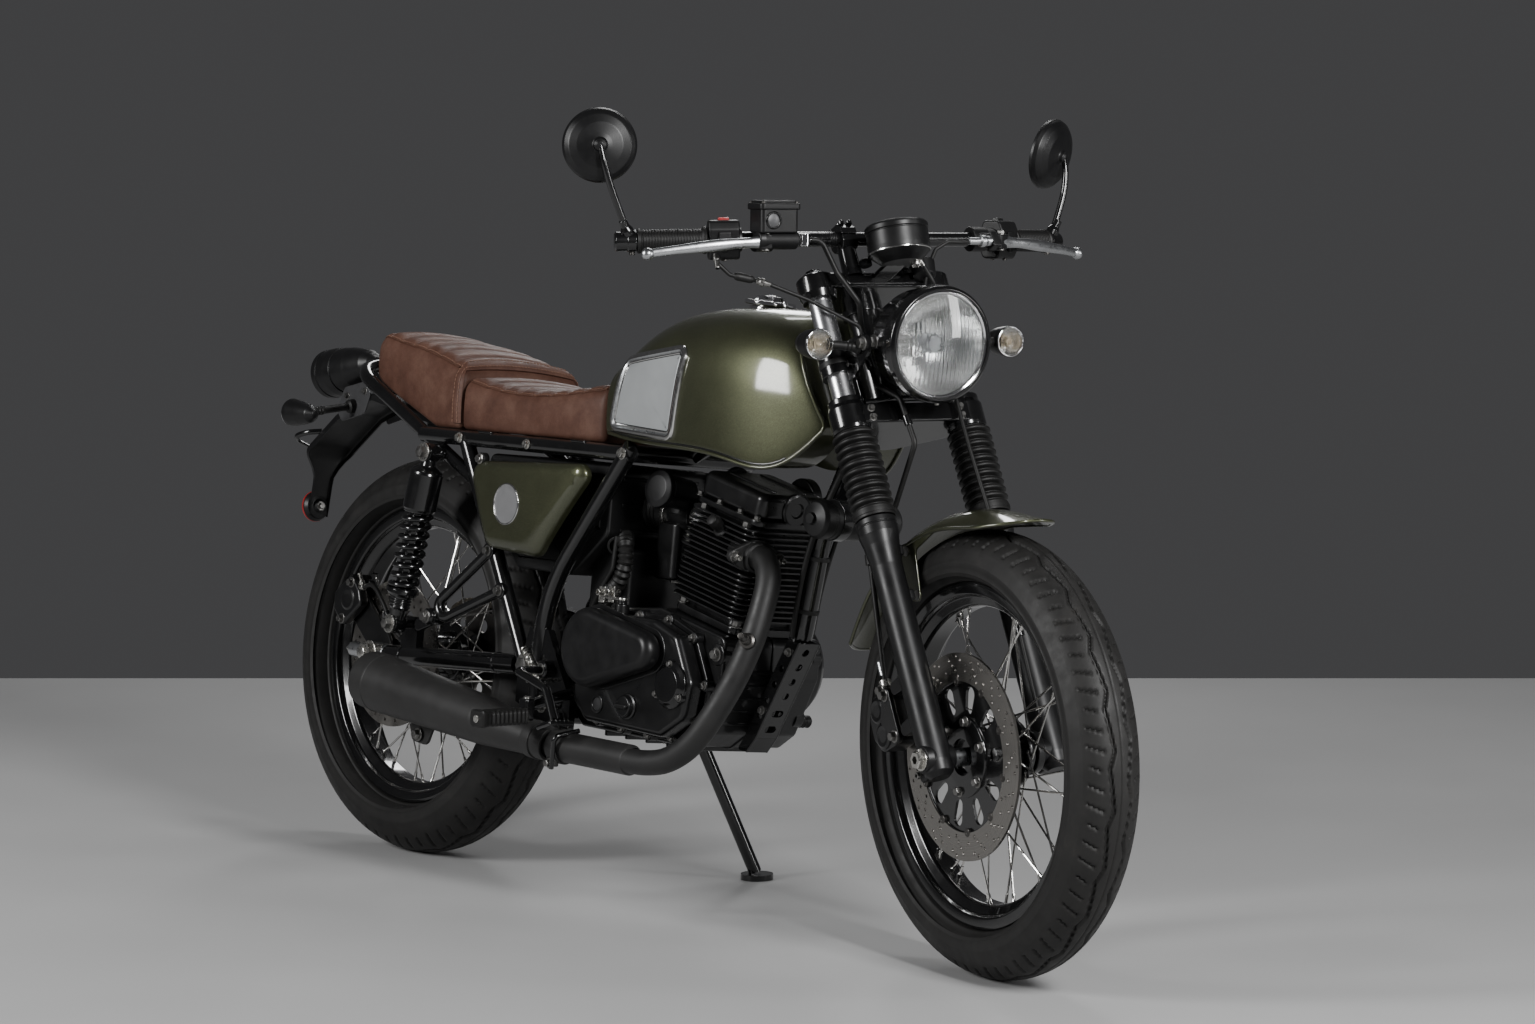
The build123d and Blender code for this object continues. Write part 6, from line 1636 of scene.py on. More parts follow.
for s in (-1, 1):
    loops = [(out, 0.0, -6.0)]
    for d in (0, 0.4, 1.2, 2.4, 4, 6, 8.5, 11, 14, 17.5, 21, 24.5, 27, 29.5, 33):
        loops.append((inset(out, d) if d > 0 else out, d, 0.0))
    L = loops[-1][0]
    for k in range(1, 9):
        q = 1 - k / 9
        loops.append((cen + (L - cen) * q, 33 + 40 * (1 - q), 0.0))
    V, Fc = [], []
    n = len(out)
    for L, d, off in loops:
        for p in L:
            V.append((p[0], s * (cover_height(p, d) + off), p[1]))
    V.append((cen[0], s * cover_height(cen, 73), cen[1]))
    m = len(loops)
    for k in range(m - 1):
        for i in range(n):
            j = (i + 1) % n
            q = (k * n + i, k * n + j, (k + 1) * n + j, (k + 1) * n + i)
            Fc.append(q if s < 0 else q[::-1])
    for i in range(n):
        q = ((m - 1) * n + i, (m - 1) * n + (i + 1) % n, m * n)
        Fc.append(q if s < 0 else q[::-1])
    P.add((np.array(V), Fc), PAINT)
    # blank round badge
    bc = np.array([-315.0, 592.0])
    bo = A(bc[0], s * (cover_height(bc, 60) - 1.0), bc[1])
    P.add(lathe(bo, (0, s, 0), round2([(-2, 33), (1.6, 33, .5), (2.6, 32.2, .5), (2.6, 30.6, .5), (1.4, 30.0)], .4, 3), 72), ALLOY)
    P.add(lathe(bo, (0, s, 0), [(1.4, 30.2), (1.7, 20), (1.9, 10), (1.9, 0)], 56), BADGE)
    q = np.array([-404.0, 661.0])
    P.add(lathe(A(-404, s * 130, 658), (0, s, 0), round2([(0, 0), (0, 10, 1), (11, 10, 1), (12, 8, .6), (12, 0)], .6, 2), 24), RUBBER)
    hex_head(P, A(-404, s * 142, 658), (0, s, 0), 6.5, 5)
P.done(weighted=False)

# ---------------------------------------------------------------- tail
P = Piece("rear_fender", "chassis", (-800, 0, 690), ("rear_fender",), "black_plastic")
FEND = [(-560, 694), (-690, 718), (-851, 746), (-950, 705), (-1036, 640), (-1050, 528)]
fp = np.array(round2(FEND, 40, 10))
res = [fp[0]]
for q in fp[1:]:
    n = max(int(np.linalg.norm(q - res[-1]) / 12), 1)
    a = res[-1]
    res += [a + (q - a) * k / n for k in range(1, n + 1)]
fp = np.array(res)
tg = np.gradient(fp, axis=0)
tg = tg / np.linalg.norm(tg, axis=1)[:, None]
nn = np.stack([tg[:, 1], -tg[:, 0]], axis=1)                # outward: up and to the rear
if nn[0][1] < 0:
    nn = -nn
sec = [(-46.5, -11), (-46.5, -4), (-45, -0.6), (-42, 1.6), (-34, 2.4), (-17, 3.0), (0, 3.2), (17, 3.0), (34, 2.4), (42, 1.6), (45, -0.6), (46.5, -4), (46.5, -11)]
sec = sec + [(y * 0.955, z - 2.6) if abs(z) < 3.5 else (y - np.sign(y) * 2.6, z) for y, z in sec[::-1]]
rings = []
for k, (p, v) in enumerate(zip(fp, nn)):
    wk = 1.0 - 0.60 * smooth_step((648 - p[1]) / 58) if p[0] < -900 else 1.0
    rings.append([A(p[0] + v[0] * z * (0.4 + 0.6 * wk), y * wk, p[1] + v[1] * z * (0.4 + 0.6 * wk)) for y, z in sec])
P.add(loft([np.array(r) for r in rings]), SATIN)
# number plate bolts on the slope, no plate fitted
pn = unit(A(-0.603, 0, 0.798))
for s in (-1, 1):
    hex_head(P, A(-993, s * 25, 672.5) + pn * 3.4, pn, 5.2, 5)
# rear reflector: black cup and bolt ahead, red face behind
rc, rd = A(-1043, 0, 545.4), unit(A(-1, 0, -0.115))
P.add(lathe(rc, rd, round2([(-4, 0), (-4, 9, 1), (0, 12, 2), (2, 22, 3), (9, 25.6, 1.5), (14, 26, .8), (15, 25, .5)], 1, 3), 56), PLASTIC)
P.add(lathe(rc, rd, round2([(11, 26), (13, 26.6, .4), (15.6, 26, .6), (16.4, 24, .8), (16.8, 10, .5), (16.8, 0)], .6, 3), 56), RED)
hex_head(P, rc - rd * 3.6, -rd, 6, 5)
# flat loop and the grey side plates under the lamp
P.add(tube(smooth_path([A(-996, -40, 674), A(-1012, -58, 670), A(-1034, -64, 662), A(-1044, -52, 654), A(-1034, -38, 646)], 30), 3.0, 10, squash=(1.0, 1.6)), GLOSS)
for s in (-1, 1):
    P.add(prism(round2([(-944, 713, 8), (-926, 752, 10), (-872, 764, 10), (-850, 744, 8), (-862, 712, 10), (-928, 694, 8)], 8, 4, True), side(s * 47.6), -1.6, 1.6, 0.8, 2), GREY)
    hex_head(P, A(-866, s * 49.2, 748), (0, s, 0), 4.6, 4.2)
    hex_head(P, A(-916, s * 49.2, 738), (0, s, 0), 4.6, 4.2)
for x, z in ((-585, 701.5), (-760, 734)):
    for s in (-1, 1):
        hex_head(P, A(x, s * 30, z), A(-0.18, 0, 1), 5, 4.5)
P.done()

P = Piece("tail_lamp", "chassis", (-950, 0, 790), ("tail_lamp",), "black_plastic")
to, td = A(-906, 0, 798), unit(A(-139, 0, -27))
P.add(lathe(to, td, round2([(0, 0), (0, 9, 2), (8, 18, 5), (22, 26, 10), (60, 35, 20), (86, 38.4, 3), (88, 38.6), (89, 37.4, .4), (91, 37.4, .4), (92, 39.2, .6), (108, 41, 4), (124, 41.4), (125, 40.4, .4), (127, 40.4, .4), (128, 41.6, .6), (138, 41.8, 1.2), (140.5, 40.6, .8), (140, 38.4)], 2, 4), 80), SATIN)
P.add(lathe(to, td, round2([(136, 39), (141, 39.4, .6), (142.4, 38.2, .6), (141, 37.0)], .4, 3), 80), CHROME)
pr = [(138, 38.4), (144, 37.6)]
for k in range(9):
    r = 36.0 - 3.9 * k
    h = 145 + 6.5 * (1 - (r / 38) ** 2)
    pr += [(h + .6, r), (h + .6, r - 1.9), (h - .5, r - 2.3), (h - .5, r - 3.5)]
pr += [(151.8, 0)]
pr = [(t, max(r, 0.0)) for t, r in pr]
P.add(lathe(to, td, pr, 72), RED_LENS)
P.add(lathe(to, td, [(137, 38), (128, 33), (116, 20), (112, 0)], 56), REFLECTOR)
P.add(lathe(to, td, round2([(112, 0), (112, 7), (126, 8, 3), (131, 4, 1), (132, 0)], 1, 3), 24), RED)
P.add(tube([A(-846, 0, 747), A(-880, 0, 768), A(-918, 0, 796)], 8.2, 20), GLOSS)
P.add(prism(round2([(-858, 738, 4), (-836, 742, 4), (-838, 756, 6), (-898, 792, 8), (-914, 786, 8)], 5, 4, True), side(14), -2.5, 2.5, 1, 2), GLOSS)
P.add(prism(round2([(-858, 738, 4), (-836, 742, 4), (-838, 756, 6), (-898, 792, 8), (-914, 786, 8)], 5, 4, True), side(-14), -2.5, 2.5, 1, 2), GLOSS)
for s in (-1, 1):
    hex_head(P, A(-900, s * 16.5, 787), (0, s, 0), 5, 4.5)
P.done()

P = Piece("rear_turn_signals", "chassis", (-900, 0, 703), ("rear_turn_signals",), "black_plastic")
for s in (-1, 1):
    bullet(P, A(-926, s * 150, 703), (-1, 0, 0), 67)
    p, q = A(-898, s * 133, 706), A(-898, s * 46.2, 722)
    L = float(np.linalg.norm(q - p))
    P.add(lathe(p, q - p, round2([(-4, 8), (6, 6.8, 1), (10, 7.6, .6), (13, 6.6, .6), (16, 7.6, .6), (19, 6.6, .6), (22, 7.6, .6), (26, 6.4, .6), (L - 14, 6.4, 1), (L - 12, 11, 1), (L - 3, 12, 1), (L, 12)], .6, 2), 28), RUBBER)
    P.add(lathe(A(-898, s * 50.6, 721), (0, -s, 0), [(0, 9), (3, 9), (3, 0)], 6), ZINC)
P.done()


# ---------------------------------------------------------------- seat
def pad_grid(L, W0, H0, step, rp_front, rp_rear, r_top, r_bot):
    """Grid over a rounded block: X along its length, Y across, Z up. Returns raw cell places, rounded places and faces."""
    nx, ny, nz = int(round(L / step)), 2 * int(round(W0 / step)), int(round(H0 / step))
    index, raw, Fc = {}, [], []

    def vid(i, j, k):
        if (i, j, k) not in index:
            index[(i, j, k)] = len(raw)
            raw.append((i * L / nx, -W0 + 2 * W0 * j / ny, k * H0 / nz, i, j, k))
        return index[(i, j, k)]
    for i in range(nx):
        for j in range(ny):
            Fc.append((vid(i, j, nz), vid(i + 1, j, nz), vid(i + 1, j + 1, nz), vid(i, j + 1, nz))[::-1])
            Fc.append((vid(i, j, 0), vid(i + 1, j, 0), vid(i + 1, j + 1, 0), vid(i, j + 1, 0)))
        for k in range(nz):
            Fc.append((vid(i, 0, k), vid(i + 1, 0, k), vid(i + 1, 0, k + 1), vid(i, 0, k + 1))[::-1])
            Fc.append((vid(i, ny, k), vid(i + 1, ny, k), vid(i + 1, ny, k + 1), vid(i, ny, k + 1)))
    for j in range(ny):
        for k in range(nz):
            Fc.append((vid(0, j, k), vid(0, j + 1, k), vid(0, j + 1, k + 1), vid(0, j, k + 1)))
            Fc.append((vid(nx, j, k), vid(nx, j + 1, k), vid(nx, j + 1, k + 1), vid(nx, j, k + 1))[::-1])

    def plan(X, Y):
        sy = -1.0 if Y < 0 else 1.0
        ay = abs(Y)
        for rp, ex in ((rp_rear, L - X), (rp_front, X)):
            if ex < rp and ay > W0 - rp:
                a, b = 1 - ex / rp, (ay - (W0 - rp)) / rp
                a2, b2 = a * sqrt(1 - b * b / 2), b * sqrt(1 - a * a / 2)
                hh = hypot(a2, b2)
                sx = 1.0 if rp is rp_rear and ex == L - X else -1.0
                cx = (L - rp) if sx > 0 else rp
                n = (sx * a2 / hh, sy * b2 / hh) if hh > 1e-9 else (0.0, sy)
                return cx + sx * rp * a2, sy * (W0 - rp + rp * b2), rp * (1 - hh), n
        e, n = min((W0 - ay, (0.0, sy)), (L - X, (1.0, 0.0)), (X, (-1.0, 0.0)))
        return X, Y, e, n
    pos = []
    for X, Y, Z, i, j, k in raw:
        x, y, e, n = plan(X, Y)
        if k == nz or k == 0:
            r = r_top if k == nz else r_bot
            sg = 1 if k == nz else -1
            z0 = H0 - r if k == nz else r
            if e < r:
                th = radians(45 + 45 * e / r)
                bx, by = x + n[0] * e, y + n[1] * e
                x, y = bx - n[0] * r * (1 - cos(th)), by - n[1] * r * (1 - cos(th))
                z = z0 + sg * r * sin(th)
            else:
                z = Z
        else:
            z = Z
            if Z > H0 - r_top:
                th = radians(45 * (Z - (H0 - r_top)) / r_top)
                x, y, z = x - n[0] * r_top * (1 - cos(th)), y - n[1] * r_top * (1 - cos(th)), H0 - r_top + r_top * sin(th)
            elif Z < r_bot:
                th = radians(45 * (r_bot - Z) / r_bot)
                x, y, z = x - n[0] * r_bot * (1 - cos(th)), y - n[1] * r_bot * (1 - cos(th)), r_bot - r_bot * sin(th)
        pos.append((x, y, z))
    return raw, np.array(pos), Fc, index, (nx, ny, nz)


def inflate(o, weight, cap):
    """Swells a pad under pressure with its seams held, and keeps the result as plain mesh."""
    me = o.data
    n = len(me.vertices)
    rest = np.empty(n * 3)
    me.vertices.foreach_get("co", rest)
    rest = rest.reshape(-1, 3)
    g = o.vertex_groups.new(name="held")
    for val in np.unique(weight):
        if val > 0:
            g.add([int(k) for k in np.nonzero(weight == val)[0]], float(val), "REPLACE")
    m = o.modifiers.new("swell", "CLOTH")
    c = m.settings
    c.quality = 6
    c.mass = 0.25
    c.tension_stiffness = c.compression_stiffness = 22
    c.shear_stiffness = 12
    c.bending_stiffness = 1.2
    c.use_pressure = True
    c.uniform_pressure_force = 4.0
    c.vertex_group_mass = "held"
    c.pin_stiffness = 1.0
    c.effector_weights.gravity = 0.0
    m.collision_settings.use_collision = False
    m.collision_settings.use_self_collision = False
    m.point_cache.frame_start, m.point_cache.frame_end = 1, 20
    sc = bpy.context.scene
    for f in range(1, 21):
        sc.frame_set(f)
    ev = o.evaluated_get(bpy.context.evaluated_depsgraph_get())
    got = np.empty(n * 3)
    ev.data.vertices.foreach_get("co", got)
    d = got.reshape(-1, 3) - rest
    L = np.linalg.norm(d, axis=1)
    print("seat swell, mm: largest %.1f mean %.1f" % (L.max() * 1000, L.mean() * 1000))
    f = np.where(L > 1e-9, cap * np.tanh(L / cap) / np.maximum(L, 1e-9), 1.0)
    o.modifiers.remove(m)
    o.vertex_groups.remove(g)
    sc.frame_set(1)
    me.vertices.foreach_set("co", (rest + d * f[:, None]).ravel())
    me.update()


def vertex_normals(V, Fc):
    N = np.zeros_like(V)
    q = np.array(Fc)
    a, b, c, d = (V[q[:, k]] for k in range(4))
    n = np.cross(c - a, d - b)
    for k in range(4):
        np.add.at(N, q[:, k], n)
    return N / np.maximum(np.linalg.norm(N, axis=1), 1e-12)[:, None]


def stitches(P, path, up, pitch=6.6, length=4.3, r=0.62):
    """Short thread stitches along a path, lying on the leather."""
    path = np.asarray(path)
    seg = np.linalg.norm(np.diff(path, axis=0), axis=1)
    s = np.concatenate([[0], np.cumsum(seg)])
    for k in range(int(s[-1] / pitch)):
        t0 = k * pitch + 1.0
        a = np.array([np.interp(t0, s, path[:, c]) for c in range(3)])
        b = np.array([np.interp(t0 + length, s, path[:, c]) for c in range(3)])
        n = np.array([np.interp(t0, s, up[:, c]) for c in range(3)])
        m = (a + b) / 2 + n * 0.35
        P.add(tube([a - n * 0.5, a + n * 0.2, m, b + n * 0.2, b - n * 0.5], [r * .7, r, r, r, r * .7], 6), THREAD)


def make_pad(name, x0, L, W0, H0, low, top, half, crown, bulge, channels, arch, rear_r, replaces):
    step = 5.0
    raw, pos, Fc, index, (nx, ny, nz) = pad_grid(L, W0, H0, step, 10.0, rear_r, 24.0, 9.0)
    raw = np.array(raw)
    V = np.empty_like(pos)
    for q, (X, Y, Z) in enumerate(pos):
        fy = Y / W0
        x = x0 - X + arch * (fy * fy - 0.4) * smooth_step(min(X, L - X) / 40)
        lo, hi = low(x), top(x)
        zz = Z / H0
        y = Y * half(x) / W0 + np.sign(Y) * bulge * sin(pi * min(max(zz, 0), 1)) * smooth_step(abs(fy))
        V[q] = (x, y, lo + (hi - lo) * zz + crown * (1 - fy * fy) * smooth_step(zz))
    i, j, k = raw[:, 3].astype(int), raw[:, 4].astype(int), raw[:, 5].astype(int)
    on_top = k == nz
    cols = [int(round(c / (L / nx))) for c in channels]
    chan = on_top & np.isin(i, cols)
    seam = on_top & ((j == 0) | (j == ny) | (i == nx) | (i == 0))
    weight = np.zeros(len(V))
    weight[k <= 2] = 1.0
    weight[seam] = 0.96
    weight[chan] = 0.92
    weight[i == 0] = 1.0
    P = Piece(name, "chassis", (x0 - L / 2, 0, 760), replaces, "brown_leather", 180)
    P.add((V, Fc), LEATHER)
    o = P.done(weighted=False)
    org = np.array(P.origin)
    inflate(o, weight, 0.0065)
    co = np.empty(len(V) * 3)
    o.data.vertices.foreach_get("co", co)
    V = co.reshape(-1, 3) * 1000 + org
    # sewn channels and pinched seams
    N = vertex_normals(V, Fc)
    depth = np.zeros(len(V))
    colx = np.abs(i[:, None] - np.array(cols)[None, :]).min(axis=1)
    edge = np.minimum(np.minimum(j, ny - j), nx - i)
    fade = smooth_step((edge + 1.5) / 4)
    depth = np.where(on_top, np.where(colx == 0, 4.6, np.where(colx == 1, 0.9, 0.0)) * fade, 0.0)
    depth = depth - np.where(on_top & (colx >= 2), 0.9 * np.minimum(colx - 1, 2) / 2, 0.0) * fade
    depth = depth + np.where(seam, 1.5, 0.0)
    V = V - N * depth[:, None]
    o.data.vertices.foreach_set("co", ((V - org) / 1000).ravel())
    cr = o.data.attributes.new("crease_edge", "FLOAT", "EDGE")
    ev = np.empty(len(o.data.edges) * 2, np.int32)
    o.data.edges.foreach_get("vertices", ev)
    ev = ev.reshape(-1, 2)
    val = np.zeros(len(ev), np.float32)
    val[chan[ev[:, 0]] & chan[ev[:, 1]] & (i[ev[:, 0]] == i[ev[:, 1]])] = 0.75
    val[seam[ev[:, 0]] & seam[ev[:, 1]]] = 0.6
    cr.data.foreach_set("value", val)
    o.data.update()
    return o, V, vertex_normals(V, Fc), index, (nx, ny, nz)


f_top = cubic((-145, -190, -300, -420, -505), (791, 783, 770, 774, 788))
f_half = cubic((-138, -180, -260, -400, -500), (104, 111, 115, 116, 116))
front = make_pad("seat", -139.5, 358.0, 115.0, 85.0, lambda x: 701.0, f_top, f_half, 7.0, 3.0,
                 [22 + 41 * q for q in range(9) if 22 + 41 * q < 350], 9.0, 12.0, ("seat",))
r_top = cubic((-500, -560, -640, -720, -765, -802), (799, 816, 832, 842, 843, 818))
r_low = lambda x: 701.0 + 0.0 if x > -575 else 701.0 + (-575 - x) * 0.345
r_half = cubic((-498, -560, -640, -720, -802), (117, 113, 107, 101, 96))
rear = make_pad("seat_hump", -499.5, 301.0, 112.0, 100.0, r_low, r_top, r_half, 8.0, 3.0,
                [52 + 41 * q for q in range(6) if 52 + 41 * q < 292], 16.0, 58.0, ())

P = Piece("seat_trim", "chassis", (-480, 0, 770), (), "brown_leather", 50)
for (o, V, N, index, (nx, ny, nz)), a0, round_end in ((front, 1, False), (rear, 6, True)):
    runs = []
    if round_end:
        ids = [index[(q, 0, nz)] for q in range(a0, nx)] + [index[(nx, q, nz)] for q in range(ny + 1)] + [index[(q, ny, nz)] for q in range(nx - 1, a0 - 1, -1)]
        runs.append((ids, [index[(min(q, nx - 1), 1, nz)] for q in range(a0, nx)] + [index[(nx - 1, min(max(q, 1), ny - 1), nz)] for q in range(ny + 1)] + [index[(q, ny - 1, nz)] for q in range(nx - 1, a0 - 1, -1)]))
    else:
        for jj, j1 in ((0, 1), (ny, ny - 1)):
            runs.append(([index[(q, jj, nz)] for q in range(a0, nx)], [index[(q, j1, nz)] for q in range(a0, nx)]))
    for ids, above in runs:
        line, nrm = V[ids], N[ids]
        P.add(tube(smooth_path(line[::2] + nrm[::2] * 0.9, len(line) * 2), 1.5, 8), PIPING)
        stitches(P, V[above] * 0.8 + line * 0.2 + N[above] * 0.25, N[above])
# the stitched band that wraps the front edge of the hump
o, V, N, index, (nx, ny, nz) = rear
rows = []
for c in range(0, 6):
    ring = [index[(c, 0, q)] for q in range(2, nz)] + [index[(c, q, nz)] for q in range(ny + 1)] + [index[(c, ny, q)] for q in range(nz - 1, 1, -1)]
    rows.append(ring)
B = []
for c, ring in enumerate(rows):
    h = (2.2, 3.4, 3.6, 3.6, 3.4, 2.4)[c]
    base = V[ring] + N[ring] * h
    if c == 0:
        B.append(V[ring] - N[ring] * 1.0 + A(2.2, 0, 0))
        base = base + A(2.4, 0, 0)
    B.append(base)
B.append(V[rows[-1]] - N[rows[-1]] * 0.6)
B = np.array(B)
nb, nr = B.shape[:2]
Fc = []
for a in range(nb - 1):
    for b in range(nr - 1):
        Fc.append((a * nr + b, a * nr + b + 1, (a + 1) * nr + b + 1, (a + 1) * nr + b))
P.add((B.reshape(-1, 3), Fc), LEATHER)
for c in (2, 5):
    ring = rows[c - 1] if c == 2 else rows[4]
    stitches(P, V[ring] + N[ring] * 3.7, N[ring])
P.done(weighted=False)

# ---------------------------------------------------------------- running gear
P = Piece("rear_shocks", "chassis", (-530, 0, 520), ("rear_shocks",), "frame_black")
for s in (-1, 1):
    a, b = A(-530, s * 147, 660), A(-586, s * 147, 380)
    d, L = unit(b - a), float(np.linalg.norm(b - a))
    for c in (a, b):                                        # eyes with rubber bushes
        P.add(lathe(c - LT * 11, LT, round2([(0, 8), (0, 15, 1.5), (22, 15, 1.5), (22, 8)], 1, 3), 36), GLOSS)
        P.add(lathe(c - LT * 12.5, LT, round2([(0, 0), (0, 10.5, 1), (25, 10.5, 1), (25, 0)], 1, 2), 28), RUBBER)
    P.add(lathe(a, d, round2([(11, 0), (11, 11, 2), (22, 13, 3), (30, 26, 3), (34, 27.4, 2), (92, 27.4, 2), (96, 25, 1.5), (96, 0)], 1.5, 4), 56), GLOSS)
    P.add(lathe(a, d, [(90, 14), (230, 13.4)], 32), GLOSS)
    P.add(coil(a + d * 94, a + d * 228, 21.3, 4.3, 9.5, 10, 28, 0.75), GLOSS)
    P.add(lathe(a, d, round2([(224, 14), (226, 26.5, 1), (232, 27, 1), (236, 24, 1.5), (238, 18, 1), (241, 18, .8), (243, 16, .8), (246, 18, .8), (248, 16, .8), (251, 18, .8), (253, 16, .8), (256, 17.6, .8), (260, 15, 1), (L - 16, 14, 2), (L - 8, 12, 1), (L - 8, 0)], 1, 3), 44), GLOSS)
    for c in (a, b):
        P.add(lathe(c + LT * s * 13, (0, s, 0), [(0, 8), (0, 15), (2.2, 15), (2.6, 14), (2.6, 0)], 32), ZINC)
        hex_head(P, c + LT * s * 15.4, (0, s, 0), 9.5, 9.5, washer=False, dome=True)
P.done()

P = Piece("rear_axle", "chassis", R, ("rear_axle",), "zinc_steel")
P.add(lathe(R, LT, [(-146, 0), (-146, 8.6), (-145, 10), (145, 10), (146, 8.6), (146, 0)], 36), ZINC)
for s in (-1, 1):
    P.add(lathe(R + LT * s * 126.4, (0, s, 0), [(0, 10), (0, 19.5), (2.4, 19.5), (3, 18.6), (3, 10)], 40), ZINC)
    P.add(lathe(R + LT * s * 129.2, (0, s, 0), [(0, 10), (0, 17.4), (9.6, 17.4), (11.8, 15.2), (11.8, 10)], 6), ZINC)
    c = A(-650, s * 110, 325)
    pr = [(0, 14), (0, 17, 1), (44, 17, 2), (48, 14.6, 2), (96, 12.6, 2), (100, 12.2, .6), (101, 9, .5), (117, 3.2, 1), (118, 0)]
    P.add(lathe(c, (-1, 0, 0), round2(pr, .8, 3), 44), SATIN_ALLOY)
    P.add(lathe(c + A(-98, 0, 0), (-1, 0, 0), [(0, 5), (0, 11.5), (5.4, 11.5), (6.4, 10.4), (6.4, 5)], 6), ZINC)
    # axle carrier plate with its slot marks
    P.add(rbox((A(-681.5, s * 124.4, 325), A(1, 0, 0), A(0, 0, 1), A(0, -1, 0)), (60, 32, 3.6), 1.5), ZINC)
    for k in range(5):
        P.add(rbox((A(-660 + 4 * k - 8, s * 126.6, 337.6), A(1, 0, 0), A(0, 0, 1), A(0, -1, 0)), (0.8, 5, 1.2), 0.2, 1), DARK_STEEL)
    P.add(lathe(R + LT * s * 60, (0, s, 0), round2([(0, 10), (0, 15, 1), (32, 15, 1), (32, 10)], .8, 2), 32), SATIN_ALLOY)
P.done()

P = Piece("rear_caliper", "chassis", (-783, -84, 402), ("rear_caliper",), "engine_black")
RX, RZ = A(0.74, 0, 0.67), A(-0.67, 0, 0.74)
RX, RZ = unit(RX), unit(RZ)
rc = A(-783, 0, 402)
rcp = lambda y: (rc + A(0, y, 0), RX, RZ, A(0, -1, 0))
ol = round2([(-36, -26, 9), (30, -30, 10), (38, -8, 12), (36, 28, 10), (-20, 34, 14), (-38, 12, 12)], 10, 5, True)
P.add(prism(ol, rcp(-92), 0, 18, 5, 4), CAST)
P.add(prism(round2([(-30, -24, 8), (26, -26, 8), (30, 26, 8), (-22, 30, 8)], 8, 4, True), rcp(-60), 0, 13, 3, 3), CAST)
P.add(prism(round2([(-28, 17, 5), (28, 23, 5), (30, 35, 5), (-22, 37, 5)], 5, 4, True), rcp(-62), 0, 40, 3, 3), CAST)
P.add(lathe(rc + A(0, -108, 0) + RX * 4, (0, -1, 0), round2([(-2, 20), (2, 19, 1.4), (3.4, 15, 1), (2.6, 8, .6), (2.6, 0)], 1, 3), 36), CAST)
for x, z in ((-28, -16), (28, 16)):
    hex_head(P, rc + RX * x + RZ * z + A(0, -109, 0), (0, -1, 0), 6.5, 6.5)
# carrier that reaches down to the axle
P.add(prism(hull2([(-783, 402, 26), (-702, 336, 26)], 26), side(-84), 0, 7, 1.6, 2), CAST)
P.add(lathe(A(-757, -98, 430), A(-0.3, -0.2, 1), round2([(0, 5), (7, 5, 1), (8, 3.2, .5), (16, 3.2, .6), (17, 4.2, .5), (20, 4.2, .5), (21, 2.4)], .4, 2), 16), ZINC)
# hose from the caliper to a clip on the arm
hp = smooth_path([rc + RX * 30 + RZ * 4 + A(0, -100, 0), A(-742, -104, 428), A(-712, -108, 432), A(-676, -112, 408), A(-640, -113, 370), A(-600, -112, 346)], 40)
P.add(tube(hp, 4.2, 12), RUBBER)
P.add(lathe(hp[0], hp[2] - hp[0], round2([(-8, 0), (-8, 8, 1), (4, 8, 1), (6, 5.6, .6), (20, 5.6, .6), (21, 4.4)], .6, 2), 20), ZINC)
for k in (28, 37):
    P.add(lathe(hp[k], hp[k + 1] - hp[k - 1], round2([(-5, 4), (-5, 6.4, .8), (5, 6.4, .8), (5, 4)], .6, 2), 18), GLOSS)
P.done()

# ---------------------------------------------------------------- chain
P = Piece("drive_chain", "chassis", (-420, 80, 335), ("drive_chain",), "chain_steel")
CR, CF = np.array([-681.5, 325.0]), np.array([-150.0, 345.0])
rr_, rf_ = 92.0, 37.0
dv = CF - CR
D = float(np.linalg.norm(dv))
ang = atan2(dv[1], dv[0])
off = atan2(rr_ - rf_, sqrt(D * D - (rr_ - rf_) ** 2))
tan_l = sqrt(D * D - (rr_ - rf_) ** 2)
a_up, a_dn = ang + pi / 2 - off, ang - pi / 2 + off
seg = [("line", CR + rr_ * np.array([cos(a_up), sin(a_up)]), CF + rf_ * np.array([cos(a_up), sin(a_up)]), tan_l),
       ("arc", CF, rf_, a_up, a_dn, rf_ * (a_up - a_dn)),
       ("line", CF + rf_ * np.array([cos(a_dn), sin(a_dn)]), CR + rr_ * np.array([cos(a_dn), sin(a_dn)]), tan_l),
       ("arc", CR, rr_, a_dn, a_up - 2 * pi, rr_ * (a_dn - a_up + 2 * pi))]
total = sum(q[-1] for q in seg)


def chain_at(t):
    t = t % total
    for q in seg:
        if t <= q[-1]:
            if q[0] == "line":
                return q[1] + (q[2] - q[1]) * t / q[-1]
            a = q[3] + (q[4] - q[3]) * t / q[-1]
            return q[1] + q[2] * np.array([cos(a), sin(a)])
        t -= q[-1]
    return seg[0][1]


